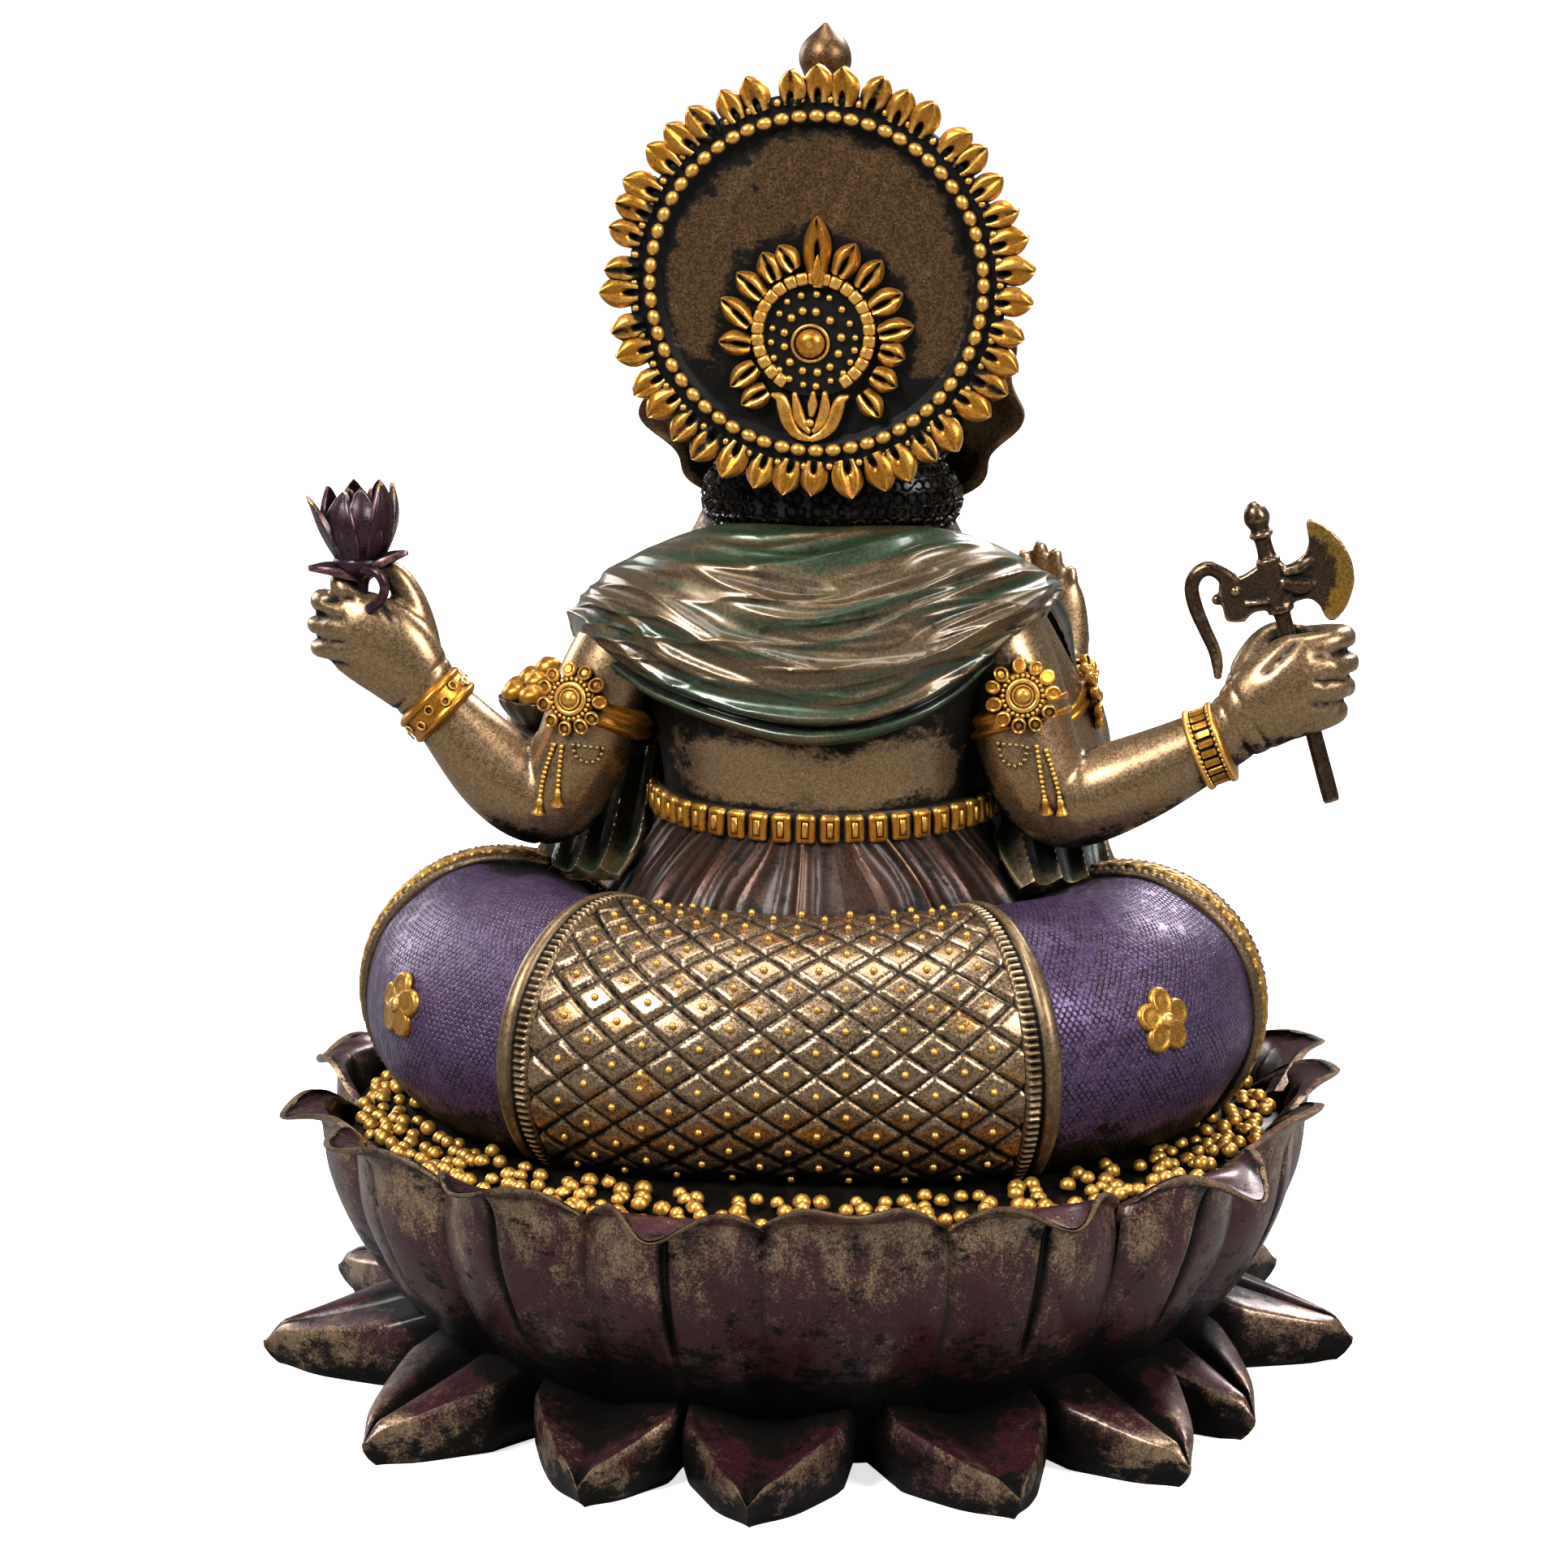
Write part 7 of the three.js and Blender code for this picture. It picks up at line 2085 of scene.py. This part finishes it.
def bowl_of_sweets():
    """A footed bowl heaped with round sweets, on the front left hand."""
    x, y, z = 45.0, -36.5, 87.6
    bowl = rounded([(3.0, 0.4), (3.4, 1.0), (5.4, 2.2), (7.2, 4.2), (7.9, 5.6), (7.7, 6.0), (7.0, 5.6), (3.0, 5.0)], 4)
    finished(object_of("sweet_bowl", turned(bowl, 72, (x, y, z), detail=lambda h, t: 0.16 * np.cos(18 * t) * (h > 2))), "dark_beads", angle=60)
    sweet = turned(rounded([(0.6, -1.0), (0.98, -0.5), (1.0, 0.1), (0.8, 0.62), (0.42, 0.86), (0.15, 1.0)], 3), 18, detail=lambda h, t: 0.03 * np.cos(6 * t))
    places = []
    for reach, count, height, size in ((5.3, 8, 6.4, 2.3), (2.7, 5, 8.2, 2.3), (0, 1, 10.0, 2.3)):
        for i in range(count):
            turn = 2 * math.pi * (i + 0.3 * reach) / max(count, 1)
            out = np.array([math.cos(turn), math.sin(turn), 0])
            places.append((np.array([x, y, z + height]) + reach * out, facing(unit(np.array([0, 0, 1.6]) + 0.5 * out)), size * (0.94 + 0.1 * scatter(i, count))))
    return finished(object_of("sweets", copies(sweet, places)), "gold", angle=75)


AXE_TOP = np.array([-64.0, 6.5, 132.6])
AXE_BOTTOM = np.array([-76.3, 6.5, 88.6])
AXE_BLADE = [
    (-67.6, 123.2), (-69.4, 123.3), (-71.4, 124.7), (-72.2, 126.6), (-71.8, 129.5), (-72.6, 129.9), (-74.6, 129.0), (-76.8, 127.0), (-78.4, 124.2),
    (-78.9, 121.8), (-78.8, 120.2), (-77.9, 117.4), (-76.4, 115.5), (-75.5, 115.3), (-74.7, 116.0), (-73.9, 117.5), (-72.4, 118.4), (-70.2, 117.9),
    (-68, 118),
]
AXE_HUB = [
    (-64.4, 122.6), (-66.2, 123.9), (-68.5, 123.6), (-69.4, 121.0), (-70, 117.9), (-68.2, 116.2), (-66.4, 116.6), (-64.6, 116.3), (-63.6, 115.4), (-63.1, 114.9),
    (-60.7, 115.0), (-60.1, 116.6), (-59.6, 118.2), (-59.4, 120), (-60.4, 121.6), (-62.4, 121.4),
]


def slab(outline, half, middle):
    """A plate with an outline in X and Z, this thick to both sides of Y = middle."""
    corners = spline(np.array(outline + outline[:1], float), np.linspace(0, 1, 6 * len(outline) + 1))[:-1]
    count = len(corners)
    sides = [np.column_stack([corners[:, 0], np.full(count, middle + d), corners[:, 1]]) for d in (-half, half)]
    faces = [[i, (i + 1) % count, count + (i + 1) % count, count + i] for i in range(count)]
    faces += [list(range(count)), list(range(2 * count - 1, count - 1, -1))]
    return np.vstack(sides), faces


def axe():
    """A small axe with an elephant goad's hook, cast rough, with gold worn along its edge."""
    way = unit(AXE_TOP - AXE_BOTTOM)
    length = np.linalg.norm(AXE_TOP - AXE_BOTTOM)
    shaft = rounded([
        (0.9, 0), (1.25, 0.5), (1.25, 8), (1.2, 20), (1.25, length - 17.4), (1.95, length - 16.9), (1.95, length - 15.9),
        (1.75, length - 15.4), (1.75, length - 9.6), (1.95, length - 8.9), (1.35, length - 8.4), (1.25, length - 5.9), (1.75, length - 5.4), (1.8, length - 4.9),
        (1.3, length - 4.4), (1.75, length - 3.4), (1.95, length - 2.6), (1.5, length - 1.2), (0.6, length - 0.25)], 4)
    shapes = [turned(shaft, 40, AXE_BOTTOM, way)]
    shapes.append(slab(AXE_BLADE, 0.7, AXE_TOP[1]))
    shapes.append(slab(AXE_HUB, 1.15, AXE_TOP[1]))
    hook = [
        (-61.6, 120.2, 1.5), (-60.6, 121.2, 1.35), (-59.2, 122.2, 1.15), (-57.6, 122.5, 1.1), (-56.1, 121.5, 1.1), (-55.5, 119.5, 1.1),
        (-56.2, 116.6, 1.1), (-57.5, 113.6, 1.0), (-58.9, 110.6, 0.95), (-59.4, 108.4, 0.85), (-59.5, 106.6, 0.6),
    ]
    shapes.append(limb([(x, AXE_TOP[1], z, r, r) for x, z, r in hook], sides=20, steps=8, across=Y_AXIS))
    for side in (-1, 1):
        y = AXE_TOP[1] + 1.25 * side
        shapes.append(ball((-61.8, y, 119.4), (0.75, 0.6, 0.7), 16, 10))
        shapes.append(limb([(-68.6, y, 120.8, 0.8, 0.6), (-71.2, y - 0.35 * side, 120.2, 1.1, 0.6), (-73.4, y - 0.6 * side, 120.9, 0.4, 0.3)], sides=14, steps=6, across=Z_AXIS))
        shapes.append(limb([(-68.9, y, 122.4, 0.6, 0.5), (-71.2, y - 0.4 * side, 123.0, 0.7, 0.45), (-73.0, y - 0.6 * side, 124.4, 0.3, 0.3)], sides=14, steps=6, across=Z_AXIS))
        shapes.append(limb([(-63.4, y - 0.1 * side, 117.6, 0.35, 0.4), (-65.4, y, 117.9, 0.45, 0.5), (-67.4, y - 0.1 * side, 118.2, 0.35, 0.4)], sides=12, steps=6, across=Z_AXIS))
    shapes.append(ball((-60.4, AXE_TOP[1], 117.9 + 0.6), (0.9, 0.9, 0.85), 20, 12))
    shapes.append(ball((-59.2, AXE_TOP[1], 118.0), (0.85, 0.85, 0.85), 20, 12))
    piece = fused("axe_casting", shapes, 0.24, 3)
    points = points_of(piece)
    offset = points[:, [0, 2]] - np.array([-69.4, 121.4])
    reach = np.hypot(*offset.T)
    blade = (points[:, 0] < -70.6) & (points[:, 2] > 114)
    edge = smooth_step(5.6, 8.6, reach + 1.2 * wobble(points, 3.2, 1)) * blade
    set_mask(piece, "paint", edge)
    return finished(piece, "axe", slot="axe", angle=75, keep=0.5)


def cloth_flower(name, pieces, pixel, size):
    """A five-petalled flower embossed on the wrapped cloth."""
    centre, out = carried_at(pieces, *pixel, 0.1)
    turn = facing(out)
    shapes = []
    petal = petal_disc(size * 0.235, 0.85, 0.22)
    for k in range(5):
        angle = 2 * math.pi * k / 5 + 0.3
        radial = np.array([math.cos(angle), math.sin(angle), 0])
        across = np.array([-radial[1], radial[0], 0])
        spin = np.stack([-across, radial, (0, 0, 1)], 1)
        shapes.append(moved(petal, 0.3 * size * radial, spin, (1, 1.1, 1)))
    shapes.append(turned(rounded([(1.2, -0.4), (1.2, 0.8), (0.9, 1.35), (0.3, 1.6)], 3), 20))
    points, faces = merged(shapes)
    drop = 0.5 * (points[:, 0] ** 2 + points[:, 1] ** 2) / 22
    points = points - np.column_stack([0 * drop, 0 * drop, drop])
    return finished(object_of(name, (points @ turn.T + centre, faces)), "gold_bronze", angle=55)



LEFT_SHAWL_END = [
    (22, 4, 118, 4, 1.5), (28, -8, 114, 5.5, 2.2), (29, -14, 104, 8, 3), (29.5, -9, 91, 8.5, 3), (31.5, 1, 81, 9, 2.8),
    (35, 9, 75.5, 8.5, 2.2),
]
RIGHT_SHAWL_END = [
    (-26, 4, 118, 4, 1.5), (-31, -8, 113, 5, 2.2), (-31.5, -14, 104, 7.5, 3), (-32, -9, 91, 8.5, 3),
    (-34.5, 1, 82, 9.5, 2.8), (-39, 8.5, 75.5, 9, 2.4),
]


def shawl_ends():
    hanging_cloth("left_shawl_end", LEFT_SHAWL_END, (0.8, -0.6, 0), 4, 0.4, (1, 0.3, 0))
    hanging_cloth("right_shawl_end", RIGHT_SHAWL_END, (-0.8, -0.6, 0), 4, 1.2, (-1, 0.3, 0))


def cloth_flowers():
    for name, side, pixel in (("left_flower", "left", (493, 1238)), ("right_flower", "right", (1434, 1258))):
        cloth_flower(name, [bpy.data.objects[f"violet_cloth_{side}"]], pixel, 9.0)


def armlets():
    armlet("left_armlet", bpy.data.objects["rear_left_arm"], (706, 861), 1, (30.4, 8.5, 100.4), (0.36, 0.14, -1),
           [(706, 918), (710, 932), (722, 939), (737, 936), (743, 922)],
           [[(684, 918), (671, 957), (663.1, 999.2)], [(693, 920), (689, 957), (687, 987.7)]])
    armlet("right_armlet", bpy.data.objects["rear_right_arm"], (1260, 857), 2, (-30.4, 8.4, 100.8), (-0.28, 0.14, -1),
           [(1230, 916), (1236, 936), (1249, 944), (1262, 938), (1266, 920)],
           [[(1277, 920), (1283, 960), (1289.7, 998.1)], [(1288, 925), (1300, 962), (1308.8, 1000)]])


# Operators and panel

class FIGURINE_OT_paints(bpy.types.Operator):
    """Makes the paints of the casting"""
    bl_idname = "figurine.paints"
    bl_label = "Paints"

    def execute(self, context):
        make_paints(context.scene.figurine_colours)
        return {"FINISHED"}


class FIGURINE_OT_lotus(bpy.types.Operator):
    """Models the double lotus and its beaded seat"""
    bl_idname = "figurine.lotus"
    bl_label = "Lotus"

    def execute(self, context):
        ground_petals()
        rising_petals()
        seat(context.scene.figurine_sizes.seat_bead / MM)
        return {"FINISHED"}


class FIGURINE_OT_legs(bpy.types.Operator):
    """Models the wrapped legs with their lattice, ribbed edges and braided hems"""
    bl_idname = "figurine.legs"
    bl_label = "Wrapped legs"

    def execute(self, context):
        roll_pieces(context.scene.figurine_sizes)
        return {"FINISHED"}


class FIGURINE_OT_body(bpy.types.Operator):
    """Models the trunk with its shawl, pleated skirt and belt"""
    bl_idname = "figurine.body"
    bl_label = "Body and shawl"

    def execute(self, context):
        torso()
        shawl()
        shawl_ends()
        skirt()
        belt(context.scene.figurine_sizes.belt_links)
        cloth_flowers()
        necklaces()
        return {"FINISHED"}


class FIGURINE_OT_limbs(bpy.types.Operator):
    """Models the four arms, the shins and feet, and their jewellery"""
    bl_idname = "figurine.limbs"
    bl_label = "Arms and feet"

    def execute(self, context):
        rear_left_arm()
        rear_right_arm()
        front_right_arm()
        front_left_arm()
        legs_and_feet()
        bracelets()
        armlets()
        front_armlets()
        return {"FINISHED"}


class FIGURINE_OT_head(bpy.types.Operator):
    """Models the elephant head with its ears, tusks, hair and crown"""
    bl_idname = "figurine.head"
    bl_label = "Head and crown"

    def execute(self, context):
        head()
        tusks()
        ear(1, "left_ear")
        ear(-1, "right_ear")
        neck_hair()
        crown()
        forehead_band()
        return {"FINISHED"}


class FIGURINE_OT_disc(bpy.types.Operator):
    """Models the disc behind the head with its leaves, beads and flower"""
    bl_idname = "figurine.disc"
    bl_label = "Head disc"

    def execute(self, context):
        sizes = context.scene.figurine_sizes
        disc(sizes.disc_leaves, sizes.disc_beads)
        disc_front()
        medallion()
        return {"FINISHED"}


class FIGURINE_OT_held(bpy.types.Operator):
    """Models what the hands hold: the lotus bud, the bowl of sweets and the axe"""
    bl_idname = "figurine.held"
    bl_label = "Held things"

    def execute(self, context):
        lotus_bud()
        bowl_of_sweets()
        axe()
        return {"FINISHED"}


def area_light(name, place, target, size, power, colour=(1, 1, 1)):
    data = bpy.data.lights.new(name, "AREA")
    data.shape = "DISK"
    data.size = size
    data.energy = power
    data.color = colour
    lamp = bpy.data.objects.new(name, data)
    bpy.context.scene.collection.objects.link(lamp)
    lamp.location = place
    lamp.rotation_euler = (Vector(target) - Vector(place)).to_track_quat("-Z", "Y").to_euler()
    return lamp


class FIGURINE_OT_stage(bpy.types.Operator):
    """Sets up the pale floor, the soft studio lights and the camera"""
    bl_idname = "figurine.stage"
    bl_label = "Stage"

    def execute(self, context):
        deselect()
        bpy.ops.mesh.primitive_circle_add(vertices=64, radius=7, fill_type="NGON", location=(0, 0, 0))
        floor = context.object
        floor.name = "floor"
        material = bpy.data.materials.new("floor")
        material.use_nodes = True
        tree = material.node_tree
        tree.nodes.clear()
        tone = ramp(tree, noise_of(tree, object_place(tree), 6.0), 0.2, 0.8)
        pale = tuple(context.scene.figurine_colours.floor)
        colour = mix_colours(tree, tone, pale, tuple(0.97 * c for c in pale))
        seen = tree.nodes.new("ShaderNodeLightPath").outputs["Is Camera Ray"]
        colour = mix_colours(tree, seen, linear("#777777"), colour)
        away = node(tree, "ShaderNodeVectorMath", {0: object_place(tree)}, operation="LENGTH").outputs["Value"]
        glow = calc(tree, "MULTIPLY", seen, ramp(tree, away, 0.3, 1.6, 0.72, 1.0))
        shader = node(tree, "ShaderNodeBsdfPrincipled", {
            "Base Color": colour, "Roughness": 0.8, "Emission Color": (1, 1, 1, 1), "Emission Strength": glow})
        output = tree.nodes.new("ShaderNodeOutputMaterial")
        tree.links.new(shader.outputs[0], output.inputs["Surface"])
        floor.data.materials.append(material)
        floor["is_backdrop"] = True
        back = camera_ways()[0]
        camera = bpy.data.objects.new("camera", bpy.data.cameras.new("camera"))
        context.scene.collection.objects.link(camera)
        camera.data.sensor_width = 36
        camera.data.lens = 36 * FOCAL_PIXELS / FRAME_PIXELS
        camera.data.clip_start = 0.05
        camera.location = (Vector(CAMERA_TARGET) + CAMERA_DISTANCE * back) * MM
        camera.rotation_euler = (-back).to_track_quat("-Z", "Y").to_euler()
        context.scene.camera = camera
        middle = (0, 0, 0.09)
        area_light("key", (0.5, 0.62, 0.85), middle, 0.42, 17)
        area_light("second", (-0.75, 0.5, 0.7), middle, 0.4, 11)
        area_light("top", (0.0, -0.1, 1.2), middle, 0.5, 7)
        area_light("front_key", (-0.45, -0.8, 0.8), middle, 0.45, 13)
        area_light("front_fill", (0.8, -0.6, 0.4), middle, 0.5, 5)
        world = bpy.data.worlds.new("studio")
        world.use_nodes = True
        world.node_tree.nodes["Background"].inputs["Color"].default_value = (1, 1, 1, 1)
        backdrop = world.node_tree.nodes["Background"]
        seen = world.node_tree.nodes.new("ShaderNodeLightPath").outputs["Is Camera Ray"]
        world.node_tree.links.new(ramp(world.node_tree, seen, 0.0, 1.0, 0.2, 1.0), backdrop.inputs["Strength"])
        context.scene.world = world
        context.scene.view_settings.view_transform = "Standard"
        return {"FINISHED"}


OPERATORS = (
    FIGURINE_OT_paints, FIGURINE_OT_lotus, FIGURINE_OT_legs, FIGURINE_OT_body, FIGURINE_OT_limbs, FIGURINE_OT_head,
    FIGURINE_OT_disc, FIGURINE_OT_held, FIGURINE_OT_stage,
)


class FIGURINE_PT_panel(bpy.types.Panel):
    """Lists the steps of the figurine"""
    bl_label = "Ganesha figurine"
    bl_space_type = "VIEW_3D"
    bl_region_type = "UI"
    bl_category = "Figurine"

    def draw(self, context):
        for group in (context.scene.figurine_sizes, context.scene.figurine_colours):
            for name in group.bl_rna.properties.keys():
                if name not in ("rna_type", "name"):
                    self.layout.prop(group, name)
        for operator in OPERATORS:
            self.layout.operator(operator.bl_idname)


CLASSES = (FigurineSizes, FigurineColours, *OPERATORS, FIGURINE_PT_panel)


def register():
    for entry in CLASSES:
        bpy.utils.register_class(entry)
    bpy.types.Scene.figurine_sizes = PointerProperty(type=FigurineSizes)
    bpy.types.Scene.figurine_colours = PointerProperty(type=FigurineColours)


def unregister():
    del bpy.types.Scene.figurine_colours
    del bpy.types.Scene.figurine_sizes
    for entry in reversed(CLASSES):
        bpy.utils.unregister_class(entry)


def write_sizes():
    """Puts the solids' box and the finished model's box side by side; nothing is done with them."""
    boxes = {"cad": CAD_BOX, "visual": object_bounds()}


def main():
    register()
    for operator in OPERATORS:
        group, name = operator.bl_idname.split(".")
        getattr(getattr(bpy.ops, group), name)()
    write_sizes()


if __name__ == "__main__":
    main()
